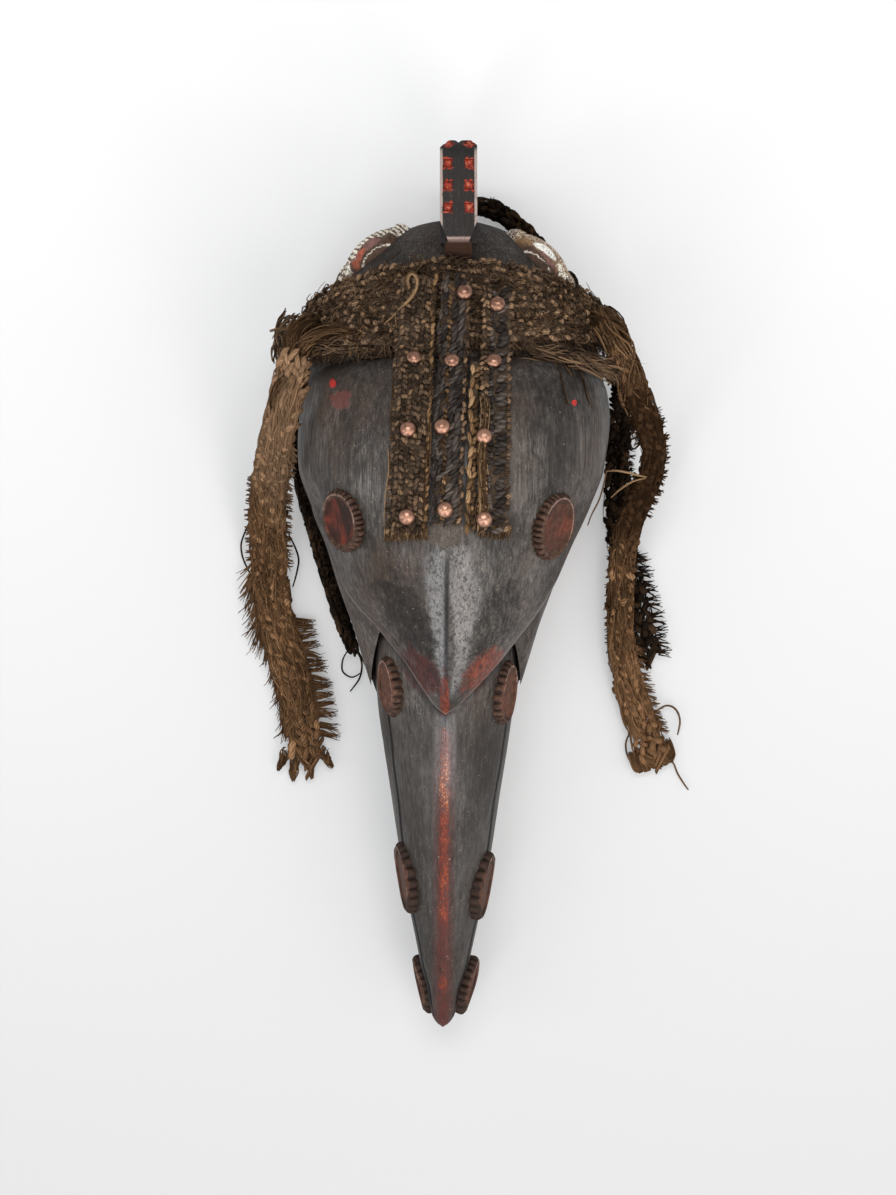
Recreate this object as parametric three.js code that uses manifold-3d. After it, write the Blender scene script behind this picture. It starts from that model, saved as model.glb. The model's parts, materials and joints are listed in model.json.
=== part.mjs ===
// A carved wooden mask of a long-beaked bird, lying on its back rim with the face upwards.
// It is carved from one block: a hollow head with raised eyes and a notched crest, a bulging
// casque that ends in a pointed tongue over the root of the beak, and the beak itself, with four
// notched roundels down each side. A plaited fibre headband and three plaited straps lie on it,
// held down by copper-headed tacks, and loose plaits hang from the ends of the headband.
//
// Millimetres. X runs to the right as seen from in front, Y from the beak's tip to the crest,
// and Z from the back rim towards the viewer. The solids are made in the carver's frame, whose
// Y = 0 is half way along the mask, and are moved at the end so that the origin is under the
// middle of the wooden part's box.

import * as THREE from 'three';
import { mergeVertices } from 'three/addons/utils/BufferGeometryUtils.js';
import Module from 'manifold-3d';

const wasm = await Module();
wasm.setup();

// Driving dimensions
const BEAK_TIP_Y = -267;
const CREST_TOP_Y = 268;
const TONGUE_TIP_Y = -73;
const CASQUE_TOP_Y = 148;
const CHIN_Y = -68;
const CHEEK_TOP_Y = 140;
const WALL = 15;
const GAP = 0.5;
const BAND_GAP = 1.2;
const FAR = 400;

// The dome of the head is an ellipsoid, deeper below its widest level than above it.
const DOME_CENTRE = new THREE.Vector3(-0.5, 110, 52);
const DOME_RADII = new THREE.Vector3(92, 116, 80);
const DOME_DEPTH_BELOW = 100;

// Outlines and profiles, each a list of [Y, value] that a smooth curve passes through.
const CENTRE_LINE = curve([[BEAK_TIP_Y, -7.4], [-200, -6], [20, -5.5], [110, -1], [CREST_TOP_Y, 2.5]]);
const CASQUE_CENTRE = curve([
  [TONGUE_TIP_Y, -5.8], [-56, -3.6], [-39, -1.8], [-23, -2], [0, -4], [28, -3.2], [52, -2.6],
  [76, -2.2], [110, 0], [CASQUE_TOP_Y, 1],
]);

const CASQUE_HALF_WIDTH = curve([
  [TONGUE_TIP_Y, 0], [-68.5, 6.4], [-56.5, 17], [-39, 31], [-23.5, 43.5], [-8, 56.5], [4, 64], [28, 74],
  [52, 84.5], [76, 92.5], [100, 94], [120, 91.5], [134, 83], [143, 62], [CASQUE_TOP_Y, 0],
]);
const CASQUE_HEIGHT = curve([
  [TONGUE_TIP_Y, 119], [-62, 129], [-50, 135], [-28, 146], [0, 157], [30, 164], [60, 165], [85, 161],
  [110, 153], [128, 142], [140, 126], [CASQUE_TOP_Y, 96],
]);
const CASQUE_WIDEST_Z = curve([
  [TONGUE_TIP_Y, 114], [-60, 111], [-40, 99], [-10, 76], [20, 62], [CASQUE_TOP_Y, 62],
]);
const CASQUE_BOTTOM_Z = curve([[TONGUE_TIP_Y, 90], [-40, 60], [-10, 20], [15, -40], [CASQUE_TOP_Y, -40]]);
const CASQUE_ROUNDNESS = curve([
  [TONGUE_TIP_Y, 1.55], [-30, 1.8], [20, 2.15], [70, 2.35], [CASQUE_TOP_Y, 2.3],
]);

const CHEEK_HALF_WIDTH = curve([
  [CHIN_Y, 34], [-64, 42], [-56.6, 45.5], [-44, 49.5], [-20, 56.8], [4, 65.5], [28, 73], [52, 83],
  [90, 88], [140, 74],
]);
const CHEEK_HEIGHT = curve([[CHIN_Y, 48], [-60, 66], [-40, 90], [-20, 104], [20, 128], [140, 110]]);

const BEAK_HALF_WIDTH = curve([
  [BEAK_TIP_Y, 0], [-264.5, 3.6], [-260, 6.6], [-253, 9.6], [-241, 12.6], [-216, 17.2], [-192, 22.2],
  [-167, 26.6], [-118, 34], [-94, 37.8], [-69, 41.3], [-40, 43.5], [20, 44],
]);
const BEAK_RIDGE_Z = curve([
  [BEAK_TIP_Y, 38], [-264, 44], [-255, 51], [-240, 60], [-200, 77], [-160, 90], [-120, 101], [-77, 111],
  [-40, 120], [20, 125],
]);
const BEAK_WIDEST_Z = curve([[BEAK_TIP_Y, 36], [-240, 38], [-160, 43], [20, 45]]);
const BEAK_UNDERSIDE_Z = curve([
  [BEAK_TIP_Y, 34], [-263, 27], [-250, 22], [-200, 18], [-120, 11], [-80, 5], [-50, -4], [20, -10],
]);
const CHEEK_WIDEST_Z = 56;
const CHEEK_ROUNDNESS = 2.4;
const BURIED_Z = -40;
const BURIED_ROUNDNESS = 2.3;
const KEEL = { height: 2, width: 6, fadesFrom: -60, fadesTo: 40, narrowest: 8, atTip: 0.2 };

const BEAK_ROUNDNESS = 2.25;
const UNDERSIDE_ROUNDNESS = 2.6;
const BEAK_ROOT_Y = 20;
const RIDGE_FADE = 30;
const RIDGE_HEIGHT = 2.6;
const RIDGE_WIDTH = 4.2;
const MOUTH_ABOVE_WIDEST = 15;
const MOUTH_GROOVE = 3.2;
const MOUTH_HALF_OPEN = 3;
const MOUTH_TOP_Y = -30;
const CHEEK_CLEARANCE = 3.2;
const CHEEK_RECESS_Z = 30;

// The hollow behind the face: where it starts above the chin, how it closes there, and its heights.
const HOLLOW = {
  lowY: -38, closesOver: 45, lowTop: 40, highest: 148, widest: 30, bottom: -80, domeDepth: 130,
};

// Crest: a comb in the mask's middle plane, whose outer edge carries paired square pockets.
const CREST_THICKNESS = 22;
const CREST_FRONT_Z = 131;
const CREST_BACK_Z = 60;
const CREST_LIP_Y = 207;
const CREST_NECK = 8;
const CREST_MIDDLE_Y = 240;
const CREST_FALL = { to: 256, by: 8 };
const POCKET = {
  side: 5.4, depth: 2.4, fromMiddle: 6.3, pitch: 13.2,
  firstY: 226, rowsInFront: 3, belowFront: 16, rowsOnTop: 4,
};
const LIP_CHAMFER = { fromMiddle: 12.4, y: 211, turn: 22 };

// Eyes: raised almonds that follow the dome.
const EYE = { length: 55, width: 35, lid: 3.4, ball: 6, ballShare: 0.7 };
const EYES = [
  { place: new THREE.Vector2(-49.5, 203), turn: 34 },
  { place: new THREE.Vector2(52, 198.5), turn: -42 },
];

// Roundels: thick discs with a notched edge, facing outwards. on is where each stands on the
// casque or the beak, proud is how far its face stands out there, and tilt is how far it looks up.
const NOTCHES = 14;
const NOTCH_DEPTH = 1.5;
const DISH_DEPTH = 1.4;
const ROUNDELS = [
  { on: [-64, 42], seat: 'casque', across: 36, along: 37, thickness: 18, proud: 7, tilt: 36, taper: -12 },
  { on: [56, 38.5], seat: 'casque', across: 35, along: 40, thickness: 18, proud: 7, tilt: 36, taper: -14 },
  { on: [-36.5, -56.5], seat: 'beak', across: 31, along: 36, thickness: 18, proud: 6, tilt: 17, taper: -7 },
  { on: [27.5, -60.5], seat: 'beak', across: 31, along: 38, thickness: 18, proud: 6, tilt: 17, taper: -7 },
  { on: [-27, -173], seat: 'beak', across: 31, along: 43, thickness: 16, proud: 6, tilt: 12, taper: -9 },
  { on: [14, -178], seat: 'beak', across: 31, along: 42, thickness: 16, proud: 6, tilt: 12, taper: -11 },
  { on: [-15, -241], seat: 'beak', across: 26, along: 36, thickness: 12, proud: 6.5, tilt: 6, taper: -12 },
  { on: [4, -241], seat: 'beak', across: 26, along: 36, thickness: 12, proud: 6.5, tilt: 6, taper: -14 },
];

// Headband over the dome, by the angle from the middle plane.
const BAND = { thickness: 9, endThickness: 12, halfAngle: 80, lowY: 147.5, highY: 192, endHighY: 169 };

// Straps down the casque, and the tacks that hold them. x is at the low end and topX at the top.
const STRAP_LOW_Y = 36;
const STRAP_TOP_Y = 186;
const STRAP_THICKNESS = 6;
const STRAPS = [
  { name: 'strap_left', x: -27, topX: -21.2, width: 22.6, lowY: 34, topY: 184 },
  { name: 'strap_middle', x: -5.5, topX: 0.4, width: 17.2, lowY: 40, topY: 182 },
  { name: 'strap_edge_roll', x: 7.9, topX: 13.2, width: 6, lowY: 35, topY: 133 },
  { name: 'strap_right', x: 20.6, topX: 24.5, width: 17.5, lowY: 35, topY: 176 },
];
const TACK_RADIUS = 4.6;
const TACK_HEIGHT = 3.4;
const TACK_RIM = 0.5;
const TACK_LIFT = 0.9;
const TACKS = [
  [5.4, 175], [24.5, 168],
  [-24, 136], [-2, 134], [22.3, 134],
  [-27.4, 93.5], [-7.7, 95], [16.5, 89.5],
  [-28, 43], [-6, 47], [16.5, 41.5],
];

// Loose plaits: hand-set routes, with the section's width and thickness. side is the direction
// in which the width lies at each point, as degrees up from level.
const PLAITS = [
  {
    name: 'plait_left_front', width: 24, thickness: 8,
    route: [
      [-93, 141, 119, 30], [-97, 123, 113, 32], [-101, 106, 106.5, 32], [-105, 92, 96.5, 32],
      [-108.5, 80, 81, 28], [-111.5, 68, 62, 22], [-113.5, 56, 44, 16], [-114.8, 42, 28, 10],
      [-115, 26, 15, 4], [-114.4, 9, 7.6, 0], [-112, -10, 5.2, 0], [-108, -28, 5, 0],
      [-103, -44, 5, 0], [-98.5, -62, 5, 0], [-94.5, -84, 5, 0], [-92.5, -104, 5, 0],
    ],
  },
  {
    name: 'plait_left_back', width: 22, thickness: 8,
    route: [
      [-101, 141, 52, 80], [-101, 122, 32, 84], [-98, 100, 16, 86], [-95, 76, 13, 86],
      [-91, 56, 12.5, 86], [-86.5, 40, 12.5, 86], [-79.5, 16, 12.5, 86], [-72, -8, 12.5, 86],
      [-64.5, -32, 12.5, 86],
    ],
  },
  {
    name: 'plait_right_front', width: 17, thickness: 8,
    route: [
      [96, 146, 100, -25], [102, 134, 98, -25], [109, 117, 92, -22], [116, 99, 80, -18],
      [119, 84, 66, -14], [117, 68, 52, -10], [110.5, 52, 40, -6], [105.5, 36, 30, -2],
      [103, 18, 21.5, 0], [102.5, 0, 15.5, 0], [102.3, -18, 12.5, 0], [103.5, -36, 11, 0],
      [107, -54, 8, 0], [112.4, -72, 5.2, 0], [118.5, -90, 5, 0], [124, -106, 5, 0],
    ],
  },
  {
    name: 'plait_right_back', width: 18, thickness: 7,
    route: [
      [99, 140, 48, -80], [101, 124, 28, -60], [102, 106, 10, -20], [101.5, 88, 4.6, 0],
      [101, 66, 4.6, 0], [101, 44, 4.6, 0], [104, 24, 4.6, 0], [109.5, 4, 4.6, 0], [115, -18, 4.6, 0],
      [119.5, -40, 4.6, 0],
    ],
  },
  {
    name: 'plait_crown', width: 20, thickness: 8,
    route: [
      [-2, 238, 13, 84], [12, 239.5, 13, 80], [25, 237, 13, 78], [39, 227.5, 13, 78],
      [53, 213, 13, 80], [68, 195, 13, 82], [82, 175, 20, 84], [93, 158, 36, 84],
    ],
  },
];

// Mesh density
const RING_POINTS = 24;
const CASQUE_RINGS = 19;
const CHEEK_RINGS = 8;
const BEAK_RINGS = 15;
const GROOVE_RINGS = 10;
const HOLLOW_RINGS = 9;
const SPHERE_SIDES = 28;
const SPHERE_BANDS = 16;
const PLAIT_STEPS = 17;

// A smooth curve through [position, value] pairs that never overshoots them.
function curve(points) {
  const n = points.length;
  const x = points.map((p) => p[0]);
  const y = points.map((p) => p[1]);
  const slope = x.slice(1).map((v, i) => (y[i + 1] - y[i]) / (v - x[i]));
  const tangent = x.map((_, i) => {
    if (i === 0) return slope[0];
    if (i === n - 1) return slope[n - 2];
    return slope[i - 1] * slope[i] <= 0 ? 0 : (2 * slope[i - 1] * slope[i]) / (slope[i - 1] + slope[i]);
  });
  return (at) => {
    const t = Math.min(Math.max(at, x[0]), x[n - 1]);
    let i = 0;
    while (i < n - 2 && t > x[i + 1]) i += 1;
    const h = x[i + 1] - x[i];
    const s = (t - x[i]) / h;
    const a = y[i] * (1 + 2 * s) * (1 - s) ** 2 + h * tangent[i] * s * (1 - s) ** 2;
    return a + y[i + 1] * s * s * (3 - 2 * s) + h * tangent[i + 1] * s * s * (s - 1);
  };
}

const mix = (a, b, t) => a + (b - a) * t;
const radians = (degrees) => (degrees * Math.PI) / 180;

// Positions along Y that crowd together towards both ends, where a form closes.
function stations(from, to, count) {
  const share = (i) => (1 - Math.cos((Math.PI * i) / count)) / 2;
  return Array.from({ length: count + 1 }, (_, i) => mix(from, to, share(i)));
}

// One closed section across the mask: a superellipse with its own height above and below.
function section(y, form, centre = CENTRE_LINE(y)) {
  return Array.from({ length: RING_POINTS }, (_, i) => {
    const angle = (2 * Math.PI * i) / RING_POINTS;
    const power = Math.sin(angle) >= 0 ? form.roundness : form.roundnessBelow;
    const across = Math.sign(Math.cos(angle)) * Math.abs(Math.cos(angle)) ** (2 / power);
    const up = Math.sign(Math.sin(angle)) * Math.abs(Math.sin(angle)) ** (2 / power);
    const x = form.halfWidth * across;
    const rise = up >= 0 ? (form.top - form.widest) * up : (form.widest - form.bottom) * up;
    const ridge = up > 0 ? form.ridge * Math.exp(-((x / form.ridgeWidth) ** 2)) : 0;
    return new THREE.Vector3(centre + x, y, form.widest + rise + ridge);
  });
}

function casqueForm(y, inset = 0) {
  const fade = 1 - THREE.MathUtils.smoothstep(y, KEEL.fadesFrom, KEEL.fadesTo);
  const share = CASQUE_HALF_WIDTH(y) > KEEL.narrowest ? 1 : KEEL.atTip;
  return {
    halfWidth: Math.max(CASQUE_HALF_WIDTH(y) - inset, 0.05),
    top: CASQUE_HEIGHT(y) - inset,
    widest: CASQUE_WIDEST_Z(y),
    bottom: CASQUE_BOTTOM_Z(y),
    roundness: CASQUE_ROUNDNESS(y),
    roundnessBelow: BURIED_ROUNDNESS,
    ridge: inset ? 0 : KEEL.height * fade * share,
    ridgeWidth: KEEL.width,
  };
}

function cheekForm(y) {
  return {
    halfWidth: CHEEK_HALF_WIDTH(y), top: CHEEK_HEIGHT(y), widest: CHEEK_WIDEST_Z, bottom: BURIED_Z,
    roundness: CHEEK_ROUNDNESS, roundnessBelow: BURIED_ROUNDNESS, ridge: 0, ridgeWidth: 1,
  };
}

function beakForm(y, grow = 0) {
  return {
    halfWidth: Math.max(BEAK_HALF_WIDTH(y), 0.05) + grow,
    top: BEAK_RIDGE_Z(y) - RIDGE_HEIGHT + grow,
    widest: BEAK_WIDEST_Z(y),
    bottom: BEAK_UNDERSIDE_Z(y) - grow,
    roundness: BEAK_ROUNDNESS,
    roundnessBelow: UNDERSIDE_ROUNDNESS,
    ridge: grow ? 0 : RIDGE_HEIGHT * THREE.MathUtils.smoothstep(y, BEAK_TIP_Y, BEAK_TIP_Y + RIDGE_FADE),
    ridgeWidth: RIDGE_WIDTH,
  };
}

// A closed mesh through rings of equal length, each capped end meeting at the ring's middle.
function loft(rings) {
  const size = rings[0].length;
  const points = rings.flat();
  const middles = [rings[0], rings.at(-1)].map((ring) =>
    ring.reduce((sum, p) => sum.add(p), new THREE.Vector3()).divideScalar(size));
  points.push(...middles);
  const faces = [];
  for (let i = 0; i < rings.length - 1; i += 1) {
    for (let j = 0; j < size; j += 1) {
      const k = (j + 1) % size;
      const [a, b, c, d] = [i * size + j, i * size + k, (i + 1) * size + k, (i + 1) * size + j];
      faces.push(a, b, c, a, c, d);
    }
  }
  const last = (rings.length - 1) * size;
  for (let j = 0; j < size; j += 1) {
    const k = (j + 1) % size;
    faces.push(points.length - 2, k, j);
    faces.push(points.length - 1, last + j, last + k);
  }
  return outwards(points, faces);
}

// A geometry from points and triangles, turned over if its triangles face inwards.
function outwards(points, faces) {
  let volume = 0;
  for (let i = 0; i < faces.length; i += 3) {
    const [a, b, c] = [points[faces[i]], points[faces[i + 1]], points[faces[i + 2]]];
    volume += a.dot(new THREE.Vector3().crossVectors(b, c));
  }
  const geometry = new THREE.BufferGeometry().setFromPoints(points);
  geometry.setIndex(volume > 0 ? faces : faces.reverse());
  return geometry;
}

// A closed slab between two surfaces, each a function of u and v from 0 to 1.
function slab(lower, upper, stepsU, stepsV) {
  const points = [];
  const faces = [];
  const row = stepsV + 1;
  const layer = (stepsU + 1) * row;
  for (const surface of [lower, upper]) {
    for (let i = 0; i <= stepsU; i += 1) {
      for (let j = 0; j <= stepsV; j += 1) points.push(surface(i / stepsU, j / stepsV));
    }
  }
  for (let i = 0; i < stepsU; i += 1) {
    for (let j = 0; j < stepsV; j += 1) {
      const [a, b, c, d] = [i * row + j, i * row + j + 1, (i + 1) * row + j + 1, (i + 1) * row + j];
      faces.push(a, b, c, a, c, d);
      faces.push(layer + a, layer + c, layer + b, layer + a, layer + d, layer + c);
    }
  }
  const border = [];
  for (let j = 0; j < stepsV; j += 1) border.push(j);
  for (let i = 0; i < stepsU; i += 1) border.push(i * row + stepsV);
  for (let j = stepsV; j > 0; j -= 1) border.push(stepsU * row + j);
  for (let i = stepsU; i > 0; i -= 1) border.push(i * row);
  border.forEach((a, i) => {
    const b = border[(i + 1) % border.length];
    faces.push(a, layer + a, b, b, layer + a, layer + b);
  });
  return outwards(points, faces);
}

// Between three.js meshes and the solids that can be joined and cut.
function toSolid(geometry) {
  const bare = geometry.clone();
  bare.deleteAttribute('normal');
  bare.deleteAttribute('uv');
  const merged = mergeVertices(bare, 1e-4);
  return new wasm.Manifold(new wasm.Mesh({
    numProp: 3,
    vertProperties: new Float32Array(merged.attributes.position.array),
    triVerts: new Uint32Array(merged.index.array),
  }));
}

function toGeometry(solid) {
  const { vertProperties, triVerts } = solid.getMesh();
  const geometry = new THREE.BufferGeometry();
  geometry.setAttribute('position', new THREE.BufferAttribute(vertProperties, 3));
  geometry.setIndex(new THREE.BufferAttribute(triVerts, 1));
  return geometry;
}

function boxBetween(low, high) {
  const size = high.map((v, i) => v - low[i]);
  return new THREE.BoxGeometry(...size).translate(...high.map((v, i) => (v + low[i]) / 2));
}

// The dome as a mesh, grown or shrunk by a constant distance, with its pole at the crown.
function dome(grow, below = DOME_DEPTH_BELOW) {
  const geometry = new THREE.SphereGeometry(1, SPHERE_SIDES, SPHERE_BANDS);
  const p = geometry.attributes.position;
  for (let i = 0; i < p.count; i += 1) {
    const depth = p.getZ(i) > 0 ? DOME_RADII.z + grow : below + grow;
    p.setXYZ(
      i,
      DOME_CENTRE.x + p.getX(i) * (DOME_RADII.x + grow),
      DOME_CENTRE.y + p.getY(i) * (DOME_RADII.y + grow),
      DOME_CENTRE.z + p.getZ(i) * depth,
    );
  }
  return geometry;
}

// Where the dome's surface is above a place, and which way it faces there.
function domePoint(x, y) {
  const u = (x - DOME_CENTRE.x) / DOME_RADII.x;
  const v = (y - DOME_CENTRE.y) / DOME_RADII.y;
  const w = Math.sqrt(Math.max(1 - u * u - v * v, 0));
  const normal = new THREE.Vector3(u / DOME_RADII.x, v / DOME_RADII.y, w / DOME_RADII.z).normalize();
  return { place: new THREE.Vector3(x, y, DOME_CENTRE.z + DOME_RADII.z * w), normal };
}

function frameAt(place, xAxis, yAxis, zAxis) {
  return new THREE.Matrix4().makeBasis(xAxis, yAxis, zAxis).setPosition(place);
}

// The height of a section's upper surface at a distance x from its middle.
function heightOf(form, x) {
  const across = Math.abs(x) / form.halfWidth;
  if (across >= 1) return form.widest;
  const ridge = form.ridge * Math.exp(-((x / form.ridgeWidth) ** 2));
  const share = (1 - across ** form.roundness) ** (1 / form.roundness);
  return form.widest + (form.top - form.widest) * share + ridge;
}

function casqueTop(x, y) {
  return y > CASQUE_TOP_Y ? 0 : heightOf(casqueForm(y), x - CASQUE_CENTRE(y));
}

function beakTop(x, y) {
  return heightOf(beakForm(y), x - CENTRE_LINE(y));
}

function headAndCasque() {
  const rings = stations(TONGUE_TIP_Y, CASQUE_TOP_Y, CASQUE_RINGS);
  const casque = loft(rings.map((y) => section(y, casqueForm(y), CASQUE_CENTRE(y))));
  return toSolid(dome(0)).add(toSolid(casque));
}

function beakLoft(grow) {
  const rings = stations(BEAK_TIP_Y - grow, BEAK_ROOT_Y, BEAK_RINGS);
  return toSolid(loft(rings.map((y) => section(y, beakForm(y, grow)))));
}

// The cheeks stand clear of the beak on both sides, but close under it.
function cheeks() {
  const form = loft(stations(CHIN_Y, CHEEK_TOP_Y, CHEEK_RINGS).map((y) => section(y, cheekForm(y))));
  const underBeak = toSolid(boxBetween([-FAR, -FAR, -FAR], [FAR, FAR, CHEEK_RECESS_Z]));
  return toSolid(form).subtract(beakLoft(CHEEK_CLEARANCE).subtract(underBeak));
}

// The line of the closed mouth: a V-shaped groove along each side of the beak.
function mouthGroove(side) {
  const rings = stations(BEAK_TIP_Y - 6, MOUTH_TOP_Y, GROOVE_RINGS).map((y) => {
    const form = beakForm(Math.max(y, BEAK_TIP_Y + 4));
    const fade = 1 - THREE.MathUtils.smoothstep(y, -250, BEAK_TIP_Y);
    const z = form.widest + MOUTH_ABOVE_WIDEST * fade;
    const rise = THREE.MathUtils.clamp((z - form.widest) / (form.top - form.widest), 0, 0.9);
    const reach = form.halfWidth * (1 - rise ** form.roundness) ** (1 / form.roundness);
    const x = CENTRE_LINE(y) + side * reach;
    const corners = [[-MOUTH_GROOVE, 0], [4, -MOUTH_HALF_OPEN], [4, MOUTH_HALF_OPEN]];
    return corners.map(([out, up]) => new THREE.Vector3(x + side * out, y, z + up));
  });
  return toSolid(loft(rings));
}

function beak() {
  return beakLoft(0).subtract(mouthGroove(-1)).subtract(mouthGroove(1));
}

// A roundel: an oval disc whose edge is notched all round, with a dished face.
function roundel({ on, seat, across, along, thickness, proud, tilt, taper }) {
  const outline = new THREE.Shape();
  for (let i = 0; i < 2 * NOTCHES; i += 1) {
    const angle = (Math.PI * i) / NOTCHES;
    const cut = i % 2 ? NOTCH_DEPTH : 0;
    const point = [(across / 2 - cut) * Math.cos(angle), (along / 2 - cut) * Math.sin(angle)];
    if (i === 0) outline.moveTo(...point);
    else outline.lineTo(...point);
  }
  const disc = new THREE.ExtrudeGeometry(outline, { depth: thickness, bevelEnabled: false });
  const dish = new THREE.CylinderGeometry(1, 0.86, DISH_DEPTH * 2, 12).rotateX(Math.PI / 2);
  dish.scale(across / 2 - 3.4, along / 2 - 3.4, 1).translate(0, 0, thickness);
  const out = new THREE.Vector3(
    Math.sign(on[0] - CENTRE_LINE(on[1])) * Math.cos(radians(tilt)) * Math.cos(radians(taper)),
    Math.sin(radians(taper)),
    Math.sin(radians(tilt)) * Math.cos(radians(taper)),
  ).normalize();
  const lengthwise = new THREE.Vector3(0, 1, 0).addScaledVector(out, -out.y).normalize();
  const height = seat === 'casque' ? casqueTop(...on) : beakTop(...on);
  const place = new THREE.Vector3(...on, height).addScaledVector(out, proud - thickness);
  const frame = frameAt(place, new THREE.Vector3().crossVectors(lengthwise, out), lengthwise, out);
  return toSolid(disc.applyMatrix4(frame)).subtract(toSolid(dish.applyMatrix4(frame)));
}

// An almond outline, pointed at both ends.
function almond(length, width) {
  const shape = new THREE.Shape();
  shape.moveTo(-length / 2, 0);
  shape.quadraticCurveTo(-length / 4, -width / 2, 0, -width / 2);
  shape.quadraticCurveTo(length / 4, -width / 2, length / 2, 0);
  shape.quadraticCurveTo(length / 4, width / 2, 0, width / 2);
  shape.quadraticCurveTo(-length / 4, width / 2, -length / 2, 0);
  return shape;
}

function eye({ place, turn }) {
  const on = domePoint(place.x, place.y);
  const lengthwise = new THREE.Vector3(Math.cos(radians(turn)), Math.sin(radians(turn)), 0);
  lengthwise.addScaledVector(on.normal, -lengthwise.dot(on.normal)).normalize();
  const crosswise = new THREE.Vector3().crossVectors(on.normal, lengthwise);
  const frame = frameAt(on.place, lengthwise, crosswise, on.normal);
  const prism = (share) => {
    const outline = almond(EYE.length * share, EYE.width * share);
    const geometry = new THREE.ExtrudeGeometry(outline, { depth: 40, bevelEnabled: false, curveSegments: 5 });
    return toSolid(geometry.translate(0, 0, -20).applyMatrix4(frame));
  };
  const lids = prism(1).intersect(toSolid(dome(EYE.lid)));
  return lids.add(prism(EYE.ballShare).intersect(toSolid(dome(EYE.ball))));
}

// The crest's outline in the middle plane, as [Y, Z] from the neck round to the back.
function crestOutline() {
  const shape = new THREE.Shape();
  shape.moveTo(190, 96);
  shape.lineTo(197, 112);
  shape.lineTo(204, 120);
  shape.lineTo(CREST_LIP_Y, CREST_FRONT_Z);
  shape.lineTo(CREST_FALL.to, CREST_FRONT_Z - CREST_FALL.by);
  shape.quadraticCurveTo(CREST_TOP_Y, CREST_FRONT_Z - 12, CREST_TOP_Y, CREST_FRONT_Z - 25);
  shape.lineTo(CREST_TOP_Y - 4, CREST_BACK_Z + 14);
  shape.quadraticCurveTo(CREST_TOP_Y - 8, CREST_BACK_Z, 246, CREST_BACK_Z - 4);
  shape.lineTo(214, CREST_BACK_Z - 12);
  shape.lineTo(190, CREST_BACK_Z - 10);
  return shape;
}

function crest() {
  const centre = CENTRE_LINE(CREST_MIDDLE_Y);
  // The outline is drawn in X and Y, then stood up so that it lies in Y and Z.
  const upright = new THREE.Matrix4().makeBasis(
    new THREE.Vector3(0, 1, 0), new THREE.Vector3(0, 0, 1), new THREE.Vector3(1, 0, 0));
  const body = new THREE.ExtrudeGeometry(crestOutline(), {
    depth: CREST_THICKNESS, bevelEnabled: false, curveSegments: 4,
  }).translate(0, 0, -CREST_THICKNESS / 2).applyMatrix4(upright).translate(centre, 0, 0);
  let solid = toSolid(body);
  for (const side of [-1, 1]) {
    for (let row = 0; row < POCKET.rowsInFront; row += 1) {
      const y = POCKET.firstY + row * POCKET.pitch;
      const z = CREST_FRONT_Z - (CREST_FALL.by * (y - CREST_LIP_Y)) / (CREST_FALL.to - CREST_LIP_Y);
      const pocket = new THREE.BoxGeometry(POCKET.side, POCKET.side, POCKET.depth * 2);
      solid = solid.subtract(toSolid(pocket.translate(centre + side * POCKET.fromMiddle, y, z)));
    }
    for (let row = 0; row < POCKET.rowsOnTop; row += 1) {
      const z = CREST_FRONT_Z - POCKET.belowFront - row * POCKET.pitch;
      const pocket = new THREE.BoxGeometry(POCKET.side, POCKET.depth * 2, POCKET.side);
      pocket.translate(centre + side * POCKET.fromMiddle, CREST_TOP_Y - 1, z);
      solid = solid.subtract(toSolid(pocket));
    }
    const chamfer = new THREE.BoxGeometry(8, 14, 30).rotateZ(radians(-side * LIP_CHAMFER.turn));
    chamfer.translate(centre + side * LIP_CHAMFER.fromMiddle, LIP_CHAMFER.y, CREST_FRONT_Z);
    const besideNeck = new THREE.BoxGeometry(8, 22, 50);
    besideNeck.translate(centre + side * (CREST_NECK + 4), 195, CREST_FRONT_Z);
    solid = solid.subtract(toSolid(chamfer)).subtract(toSolid(besideNeck));
  }
  const groove = new THREE.BoxGeometry(5, 5, 120).rotateZ(Math.PI / 4);
  return solid.subtract(toSolid(groove.translate(centre, CREST_TOP_Y + 1.6, 90)));
}

// The hollow behind the face: the head's own forms, drawn in by the wall's thickness.
function hollow() {
  const inner = stations(HOLLOW.lowY, CASQUE_TOP_Y - WALL, HOLLOW_RINGS).map((y) => {
    const form = casqueForm(y, WALL);
    const closing = Math.sqrt(THREE.MathUtils.clamp((y - HOLLOW.lowY + 0.5) / HOLLOW.closesOver, 0, 1));
    form.halfWidth = Math.max(Math.min(form.halfWidth, CHEEK_HALF_WIDTH(y) - WALL + 2) * closing, 0.5);
    form.top = mix(HOLLOW.lowTop, Math.min(form.top, HOLLOW.highest), closing);
    form.widest = Math.min(form.widest, HOLLOW.widest);
    form.bottom = HOLLOW.bottom;
    return section(y, form);
  });
  return toSolid(dome(-WALL, HOLLOW.domeDepth)).add(toSolid(loft(inner)));
}

function maskWood() {
  let solid = headAndCasque().add(cheeks()).add(beak()).add(crest());
  for (const part of EYES) solid = solid.add(eye(part));
  for (const part of ROUNDELS) solid = solid.add(roundel(part));
  solid = solid.subtract(hollow());
  return solid.subtract(toSolid(boxBetween([-FAR, -FAR, -FAR], [FAR, FAR, 0])));
}

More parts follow.
